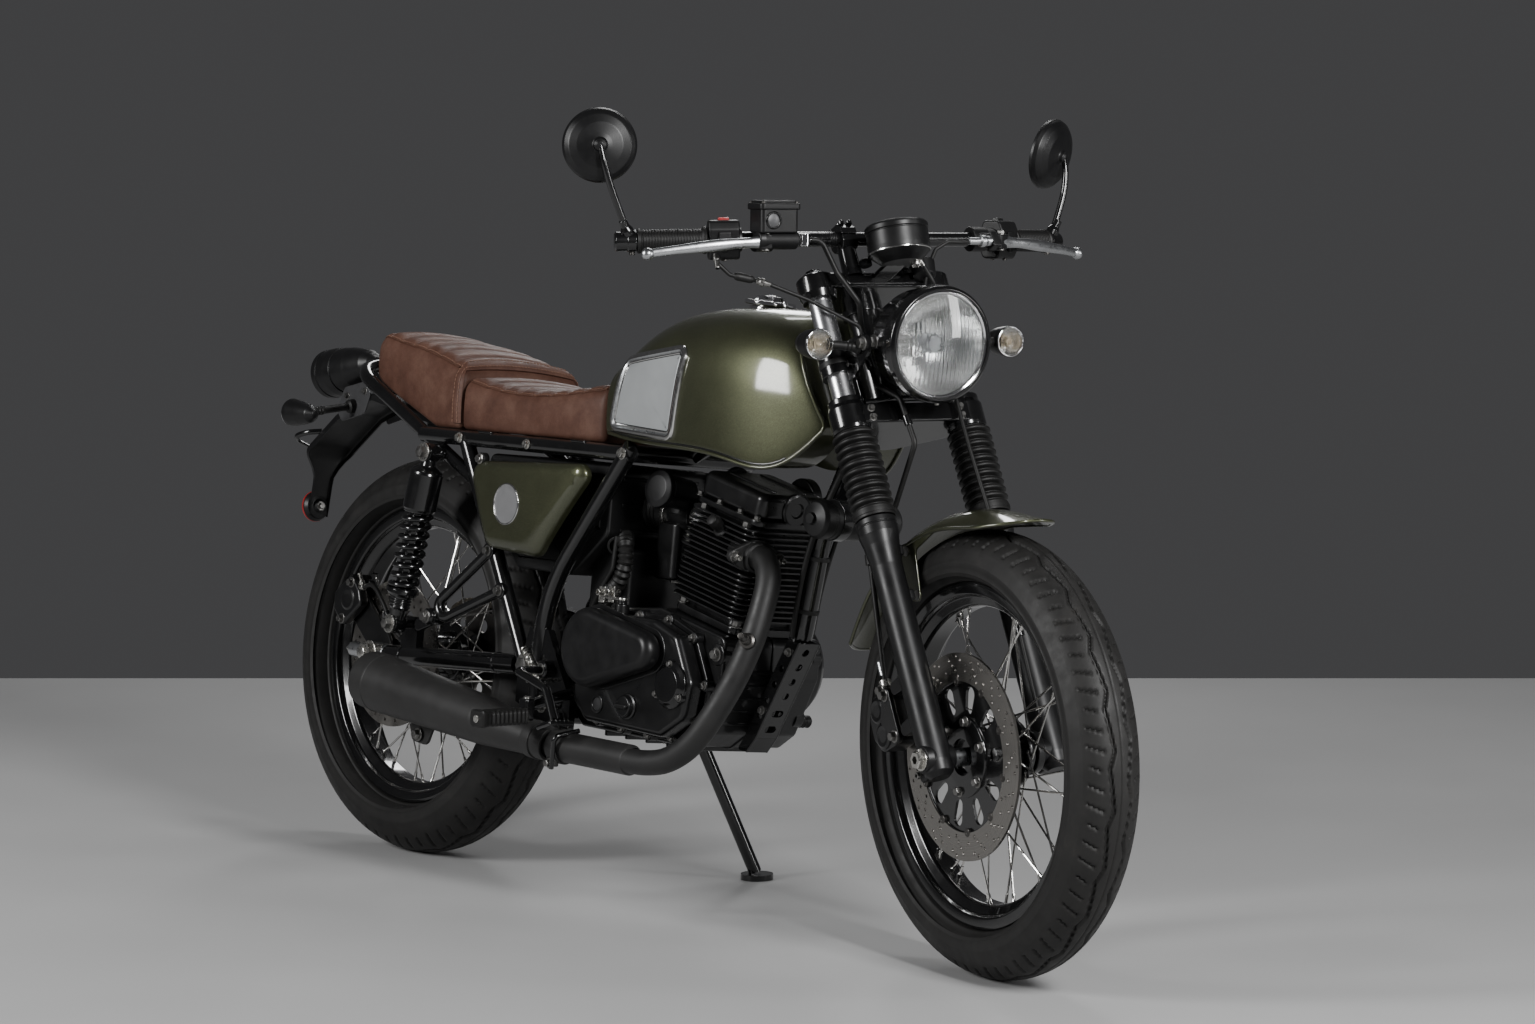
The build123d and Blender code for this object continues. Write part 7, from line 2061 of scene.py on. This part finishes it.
links = 2 * int(round(total / 12.7 / 2))
pts = [chain_at(total * k / links) for k in range(links)]
for k in range(links):
    p, q = pts[k], pts[(k + 1) % links]
    d = q - p
    L = float(np.linalg.norm(d))
    pl_x = A(d[0] / L, 0, d[1] / L)
    pl_z = A(-pl_x[2], 0, pl_x[0])
    o = A(p[0], 0, p[1])
    ys = ((85.0, 86.4), (73.6, 75.0)) if k % 2 else ((83.2, 84.6), (75.4, 76.8))
    ol = hull2([(0, 0, 5.0), (L, 0, 5.0)], 10)
    ol = [(x, z * (1 - 0.16 * sin(pi * min(max(x / L, 0), 1)))) for x, z in ol]
    for y0, y1 in ys:
        P.add(prism(ol, (o + A(0, y1, 0), pl_x, pl_z, unit(np.cross(pl_x, pl_z))), 0, y1 - y0, 0.3, 1), CHAIN)
    P.add(lathe(o + A(0, 73.0, 0), LT, [(0, 0), (0, 1.8), (14, 1.8), (14, 0)], 8), CHAIN)
    P.add(lathe(o + A(0, 77.0, 0), LT, [(0, 0), (0, 3.9), (6, 3.9), (6, 0)], 10), CHAIN)
# front sprocket
ol = []
for k in range(17):
    for da, r in ((-0.30, 33.5), (-0.12, 40.0), (0.12, 40.0), (0.30, 33.5)):
        a = 2 * pi * (k + da) / 17
        ol.append((CF[0] + r * cos(a), CF[1] + r * sin(a)))
P.add(prism(ol, side(83), 0, 6, 0.5, 1), DARK_STEEL)
hex_head(P, A(CF[0], 83, CF[1]), LT, 13, 8)
P.done()

# ---------------------------------------------------------------- footpegs and pedals
P = Piece("footpegs", "chassis", (-150, 0, 290), ("footpegs",), "black_rubber")
for s in (-1, 1):
    a, b = A(-149, s * 198, 278), A(-142, s * 306, 271)
    d, L = unit(b - a), float(np.linalg.norm(b - a))
    P.add(tube(bend3([A(-152, s * 119, 312), A(-151, s * 178, 298), A(-150, s * 206, 290)], 14, 6), 9.0, 20), GLOSS)
    P.add(rbox((A(-150, s * 203, 287), A(1, 0, 0), LT * 1.0, A(0, 0, 1)), (22, 18, 34), 4, 3), GLOSS)
    P.add(lathe(A(-150, s * 203, 268), (0, 0, 1), [(0, 0), (0, 6), (38, 6), (39, 5), (39, 0)], 20), ZINC)
    # ribbed rubber with a square end
    xa, ya, za = frame_of(d)
    rings = []
    for k in range(45):
        t = 12 + (L - 16) * k / 44
        g = 1.0 - (0.10 if (k % 4) in (2, 3) and 2 < k < 38 else 0.0)
        w, h = 15.5 * g, 12.5 * g
        if k > 39:
            w, h = 16.5, 13.5
        if k in (0, 44):
            w, h = w - 2, h - 2
        ring = np.array([a + d * t + xa * u + ya * v for u, v in rrect(2 * w, 2 * h, 6, 3)])
        rings.append(ring)
    P.add(loft(rings), RUBBER)
    P.add(lathe(b - d * 5, d, [(0, 0), (0, 6), (2.6, 6), (3.4, 5), (3.4, 0)], 18), ZINC)
P.done()

P = Piece("pillion_brackets", "chassis", (-430, 0, 430), ("pillion_brackets",), "frame_black")
for s in (-1, 1):
    loop = bend3([A(-376, s * 128, 515), A(-536, s * 170, 358), A(-339, s * 128, 455)], 22, 12)
    P.add(tube(loop, 8.6, 22), GLOSS)
    c = A(-475, s * 140, 401)
    P.add(lathe(c, (0, s, 0), round2([(0, 0), (0, 13.5, 1.5), (26, 13.5, 1.5), (30, 11, 1), (30, 0)], 1, 3), 36), GLOSS)
    P.add(prism(hull2([(-475, 401, 14), (-505, 386, 10)], 20), side(s * 158), -4, 4, 1.2, 2), GLOSS)
    hex_head(P, A(-475, s * 170, 401), (0, s, 0), 8, 7)
    for q in (A(-376, s * 128, 515), A(-339, s * 128, 455)):
        P.add(lathe(q - LT * s * 4, (0, s, 0), round2([(0, 0), (0, 13, 1), (9, 13, 1.5), (9, 0)], 1, 3), 28), GLOSS)
        hex_head(P, q + LT * s * 5, (0, s, 0), 6.5, 6)
P.done()

P = Piece("foot_levers", "chassis", (-80, 0, 310), ("foot_levers",), "zinc_steel")
pedal = bend3([A(-200, -124.3, 345), A(-200, -190, 342), A(-120, -192, 322), A(-84, -200, 278)], 14, 6)
P.add(tube(pedal, np.linspace(7.6, 6.0, len(pedal)), 16, squash=(1.15, 0.85)), GLOSS)
P.add(lathe(A(-200, -124.3, 345), (0, -1, 0), round2([(0, 0), (0, 14, 1), (18, 14, 2), (20, 11, 1), (20, 0)], 1, 3), 32), GLOSS)
hex_head(P, A(-200, -144, 345), (0, -1, 0), 7, 6.5)
P.add(rbox((A(-76, -204, 270), unit(A(0.94, -0.1, 0.3)), LT, unit(np.cross(unit(A(0.94, -0.1, 0.3)), LT))), (40, 46, 7), 2.5, 3), GLOSS)
for k in range(5):
    P.add(rbox((A(-76, -204 + 8 * (k - 2), 274.6), unit(A(0.94, -0.1, 0.3)), LT, unit(np.cross(unit(A(0.94, -0.1, 0.3)), LT))), (34, 3, 3), 1), GLOSS)
# pedal rod with its return spring
P.add(tube([A(-200, -150, 330), A(-246, -132, 322)], 3.2, 12), ZINC)
P.add(coil(A(-206, -142, 330), A(-262, -132, 372), 5.2, 1.1, 14, 6, 14), ZINC)
shift = bend3([A(-70, 103.2, 330), A(-70, 134, 330), A(-30, 166, 312), A(12, 172, 294)], 12, 6)
P.add(tube(shift, np.linspace(7.4, 5.8, len(shift)), 16), GLOSS)
P.add(lathe(A(-70, 103.4, 330), LT, round2([(0, 0), (0, 13, 1), (14, 13, 2), (15, 10, 1), (15, 0)], 1, 3), 30), GLOSS)
hex_head(P, A(-56, 112, 330), (1, 0, 0), 4.6, 5)
pr = [(0, 0), (0, 8, 1)]
for k in range(8):
    pr += [(6 + 6 * k, 10.4, .8), (9 + 6 * k, 9.0, .8)]
pr += [(58, 10.4, 2), (61, 8, 2), (61, 0)]
P.add(lathe(A(12, 166, 294), LT, round2(pr, .8, 2), 28), RUBBER)
P.done()

# ---------------------------------------------------------------- engine guard
P = Piece("engine_guard", "chassis", (200, 0, 350), ("engine_guard",), "frame_black")
GL = [A(257, 0, 432), A(205, 0, 336), A(177, 0, 283), A(158, 0, 260)]
for s in (-1, 1):
    ol = round2([(257, 432, 3), (205, 336, 20), (177, 283, 20), (158, 260, 3), (138, 262, 3), (152, 283, 16), (181, 338, 20), (233, 436, 3)], 4, 4, True)
    g = unit(A(-52, 0, -96))
    holes = [circle(5.0, 18, 243.5 + g[0] * q, 428 + g[2] * q) for q in (14, 42, 70, 98, 126)]
    P.add(drilled(ol, holes, side(s * 19.8), -1.2, 1.2), GLOSS)
    P.add(tube(bend3([A(257, s * 19.6, 432), A(205, s * 19.6, 336), A(177, s * 19.6, 283), A(158, s * 19.6, 260)], 30, 8), 1.9, 10), GLOSS)
    for q in (8, 112):
        hex_head(P, A(240 + g[0] * q, s * 21, 424 + g[2] * q), (0, s, 0), 5.0, 4.6)
for (a, b), holes in zip(zip(GL, GL[1:]), ((16, 42, 68, 94), (16, 44), ())):
    d = unit(b - a)
    L = float(np.linalg.norm(b - a))
    ol = [(-20, 0), (20, 0), (20, L), (-20, L)]
    cut = [circle(6.2, 20, 0, q) for q in holes] if len(holes) != 2 else [hull2([(-5, q, 6), (5, q, 6)], 12) for q in holes]
    P.add(drilled(ol, cut, (a, LT, d, unit(np.cross(LT, d))), -1.3, 1.3), GLOSS)
P.done()

P = Piece("vapour_canister", "chassis", (338, 0, 620), ("vapour_canister",), "black_plastic")
P.add(lathe(A(338, -92, 620), LT, round2([(0, 0), (0, 8, 1), (6, 9, 1), (10, 25, 4), (16, 29, 3), (30, 29), (31, 28, .4), (34, 28, .4), (35, 29), (136, 29), (137, 28, .4), (140, 28, .4), (141, 29), (156, 29, 3), (162, 24, 3), (166, 8, 1), (170, 8, 1), (170, 0)], 1.5, 4), 56), PLASTIC)
for y in (-40, 30):
    P.add(lathe(A(338, y, 620), LT, round2([(-9, 28.6), (-9, 30.8, .6), (9, 30.8, .6), (9, 28.6)], .5, 2), 56), GLOSS)
    P.add(rbox((A(310, y, 618), A(1, 0, 0), LT, A(0, 0, 1)), (16, 18, 26), 3), GLOSS)
P.done()

# ---------------------------------------------------------------- details carried by the frame, swingarm, cables and stand
P = Piece("frame_fittings", "chassis", (0, 0, 500), (), "frame_black")
HD = UP
for a, r in ((541, 30.5), (713, 30.5)):                     # bearing cups of the head tube
    P.add(lathe(sp(a - 8 if a < 600 else a - 10, -OFFSET), UP, round2([(0, 26), (0, r, 1.5), (18, r, 1.5), (18, 26)], 1, 3), 48), GLOSS)
for s in (-1, 1):
    # gusset plates behind the head tube
    g = sp(575, -OFFSET - 20)
    ol = round2([(g[0] - 4, g[2] - 10, 5), (g[0] - 44, g[2] + 62, 5), (g[0] - 86, g[2] + 40, 8), (g[0] - 40, g[2] - 70, 8)], 6, 4, True)
    P.add(prism(ol, side(s * 15), -2, 2, 0.8, 2), GLOSS)
    # bolts through the frame
    for x, z, y, r in ((-258, 345, 130.2, 14), (-215, 290, 124.2, 9), (-165, 275, 124.2, 8), (-60, 688, 131, 7), (-300, 688, 131, 6), (-478, 688, 131, 6.5)):
        if r >= 9:
            P.add(lathe(A(x, s * y, z), (0, s, 0), round2([(0, 0), (0, r * 1.5, 1), (2.4, r * 1.5, 1), (3, r * 1.35, .6), (3, 0)], .6, 2), 32), ZINC)
            hex_head(P, A(x, s * (y + 2.8), z), (0, s, 0), r, 8, washer=False, dome=True)
        else:
            hex_head(P, A(x, s * y, z), (0, s, 0), r, r * .8, ZINC if r < 8 else GLOSS, dome=r >= 8)
    # black dome bolts on the pivot plates
    for x, z in ((-240, 385), (-222, 318), (-176, 296)):
        P.add(lathe(A(x, s * 123.6, z), (0, s, 0), round2([(0, 0), (0, 11, 1), (4, 10, 3), (8, 4, 3), (9, 0)], 1, 4), 28), GLOSS)
    # shock studs' collars
    P.add(lathe(A(-530, s * 126, 660), (0, s, 0), round2([(0, 0), (0, 12, 1), (8, 11, 1.5), (8, 0)], 1, 2), 28), GLOSS)
    # seat rail tabs
    for x in (-180, -420):
        P.add(rbox((A(x, s * 118, 700), A(1, 0, 0), LT, A(0, 0, 1)), (34, 16, 4), 1.5), GLOSS)
# weld beads where tubes meet
for c, d, r in ((sp(585, -OFFSET) + A(0, 0, 0), sp(585, -OFFSET) - A(262, 0, 590), 17.5), (A(352, 0, 842), A(352, 0, 842) - A(60, 0, 752), 17.5)):
    q = c - unit(d) * 26
    P.add(lathe(q, d, round2([(-3, r - 1), (0, r + 2.2, 2), (4, r - 1)], 2, 3), 40), GLOSS)
# loom and ties down the front tube
loom = smooth_path([A(346, -17, 742), A(310, -22, 668), A(276, -23, 600), A(256, -22, 540), A(246, -22, 480), A(240, -20, 440)], 60)
P.add(tube(loom, 4.2, 12), RUBBER)
loom2 = smooth_path([A(342, 19, 742), A(312, 22, 668), A(276, 23, 600), A(252, 21, 520), A(238, 20, 440)], 60)
P.add(tube(loom2, 3.4, 12), RUBBER)
path = bend3([sp(585, -OFFSET), A(262, 0, 590), A(238, 0, 440), A(190, 0, 345)], 110, 16)
path = np.array(path)
for z in (640, 560, 480):
    k = int(np.argmin(np.abs(path[:, 2] - z)))
    k = min(max(k, 1), len(path) - 2)
    t = path[k + 1] - path[k - 1]
    f = (z - path[k][2]) / t[2] if abs(t[2]) > 1 else 0
    c = path[k] + t * f
    P.add(lathe(c, t, round2([(-3, 17), (-3, 19.6, .5), (3, 19.6, .5), (3, 17)], .4, 2), 36), RUBBER)
P.done()

P = Piece("swingarm_fittings", "chassis", (-480, 0, 340), (), "frame_black")
for s in (-1, 1):
    P.add(lathe(A(-258, s * 104, 345), (0, s, 0), round2([(0, 14), (0, 21, 1.5), (7, 21, 1.5), (7, 14)], 1, 3), 40), GLOSS)
    hex_head(P, A(-586, s * 163.4, 380) - LT * s * 0.6, (0, s, 0), 4, 2, DARK_STEEL)
    for x in (-352, -604):
        z = 343.5 + (x + 300) / (-350) * (325 - 343.5)
        P.add(lathe(A(x, s * 110, z), A(-350, 0, -18.5), round2([(-3, 15.6), (-1, 17.2, 1.2), (2, 17.2, 1.2), (4, 15.6)], 1, 2), 36), GLOSS)
for x in (-350, -500, -620):                                # chain guard screws
    z = 412 + (x + 332) / (-308) * 32
    hex_head(P, A(x, 97.4, z - 6), LT, 4, 3.6)
P.done()

P = Piece("cable_ends", "steering", F, (), "black_rubber")
for q0, q1, r in ((sp(780, 4, -253), sp(769, 5, -255), 5.0), (sp(737, 96, 22), sp(690, 96, 40), 4.6)):
    P.add(lathe(q0, q1 - q0, round2([(-3, 0), (-3, r, .6), (7, r, .6), (8, r - 1.2, .5), (20, r - 1.4, .6), (21, 3.1)], .5, 2), 18), BOLT)
P.add(lathe(sp(748, 5, -232), sp(740, 8, -204) - sp(748, 5, -232), round2([(0, 3), (2, 5.2, 1), (6, 6.0, 1), (24, 6.0, 1), (28, 5.2, 1), (30, 3.2)], .6, 2), 18), RUBBER)
P.add(lathe(sp(738, 9.5, -200), sp(727, 18, -184) - sp(738, 9.5, -200), round2([(0, 3), (1, 5.0, .6), (5, 5.0, .6), (7, 6.2, .5), (12, 6.2, .5), (13, 4.6, .6), (22, 3.2)], .6, 2), 18), BOLT)
for q0, q1 in ((sp(640, 2, -44), sp(572, 4, -40)), (sp(533, 42, -32), sp(462, 42, -26)), (sp(300, 40, 72), sp(40, 30, 70))):
    c = q0 * 0.5 + q1 * 0.5
    P.add(lathe(c, q1 - q0, round2([(-8, 3), (-8, 6, 1), (8, 6, 1), (8, 3)], .6, 2), 18), GLOSS)
P.add(lathe(sp(330, -64, -80), sp(152, -96, -86) - sp(330, -64, -80), round2([(-6, 3), (-6, 7.4, 1), (10, 7.4, 1), (10, 3)], .6, 2), 20), RUBBER)
P.done()

P = Piece("stand_fittings", "side_stand", (-172, 148, 268), (), "zinc_steel")
hg = unit(A(0, 0.9465, 0.323))
pv = A(-172, 148, 268)
hex_head(P, pv + hg * 15, hg, 9, 8)
P.done()

for name, mat in (("frame", GLOSS), ("swingarm", GLOSS), ("control_cables", RUBBER), ("side_stand", GLOSS)):
    o = NODES[name]
    o.data.materials.clear()
    o.data.materials.append(mat)
    w = o.modifiers.new("weighted", "WEIGHTED_NORMAL")
    w.keep_sharp = True

# ---------------------------------------------------------------- floor, light and camera
FLOOR = surface("floor", (0.40, 0.40, 0.40), 0.66, spec=0.25, vary=0.03, vscale=1.2, rvary=0.04, grain=0.05, gscale=160, gdist=0.0008)
CEN = Vector((0.0, 0.0, 0.55))
cam_dir = Vector((cos(radians(139.8057)), sin(radians(139.8057)), 0.0))
cam_right = Vector((cam_dir.y, -cam_dir.x, 0.0))


def flat_floor():
    """A flat pale floor that ends a little way behind the motorcycle."""
    V, Fc = [], []
    depth = (-9.0, -6.0, -3.0, -1.0, 0.5, 1.6, 2.55)
    for d in depth:
        for w in np.linspace(-9, 9, 13):
            p = cam_dir * d + cam_right * float(w)
            V.append((p.x, p.y, 0.0))
    for a in range(len(depth) - 1):
        for b in range(12):
            Fc.append((a * 13 + b, (a + 1) * 13 + b, (a + 1) * 13 + b + 1, a * 13 + b + 1)[::-1])
    me = bpy.data.meshes.new("studio_floor")
    me.from_pydata(V, [], Fc)
    me.materials.append(FLOOR)
    me.update()
    o = bpy.data.objects.new("studio_floor", me)
    bpy.context.scene.collection.objects.link(o)
    o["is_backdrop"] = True
    return o


flat_floor()


def area(name, pos, look, w, h, watts, color=(1, 1, 1), spread=180):
    d = bpy.data.lights.new(name, "AREA")
    d.shape, d.size, d.size_y = "RECTANGLE", w, h
    d.energy, d.color = watts, color
    d.spread = radians(spread)
    o = bpy.data.objects.new(name, d)
    bpy.context.scene.collection.objects.link(o)
    o.location = pos
    o.rotation_euler = (Vector(look) - Vector(pos)).to_track_quat("-Z", "Y").to_euler()
    o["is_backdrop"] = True
    return o


area("key_soft", (3.9, -0.7, 2.4), (0.1, 0, 0.6), 0.75, 1.4, 185)
area("top_soft", (-0.9, 1.3, 3.0), (0, 0, 0.5), 1.6, 0.3, 16)
area("side_strip", (-0.9, -4.0, 2.3), (-0.3, 0, 0.5), 1.0, 1.6, 150)
area("back_rim", (-2.6, 2.3, 2.4), (-0.2, 0, 0.6), 0.5, 1.2, 18)
area("front_fill", (4.4, 2.2, 1.5), (0.5, 0, 0.6), 0.5, 1.8, 55)

world = bpy.data.worlds.new("studio_world")
bpy.context.scene.world = world
world.use_nodes = True
bg = world.node_tree.nodes.get("Background")
bg.inputs["Color"].default_value = (0.058, 0.058, 0.060, 1)
bg.inputs["Strength"].default_value = 1.0

cam = bpy.data.cameras.new("photo_camera")
cam.lens, cam.sensor_width = 99.62, 36.0
cam.clip_end = 100.0
co = bpy.data.objects.new("photo_camera", cam)
bpy.context.scene.collection.objects.link(co)
co.location = (5.0201, -4.1535, 1.2184)
yaw, pit = radians(139.8057), radians(-5.4129)
fwd = Vector((cos(yaw) * cos(pit), sin(yaw) * cos(pit), sin(pit)))
co.rotation_euler = fwd.to_track_quat("-Z", "Y").to_euler()
bpy.context.scene.camera = co
co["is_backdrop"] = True

bpy.context.view_layer.update()
lo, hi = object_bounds()
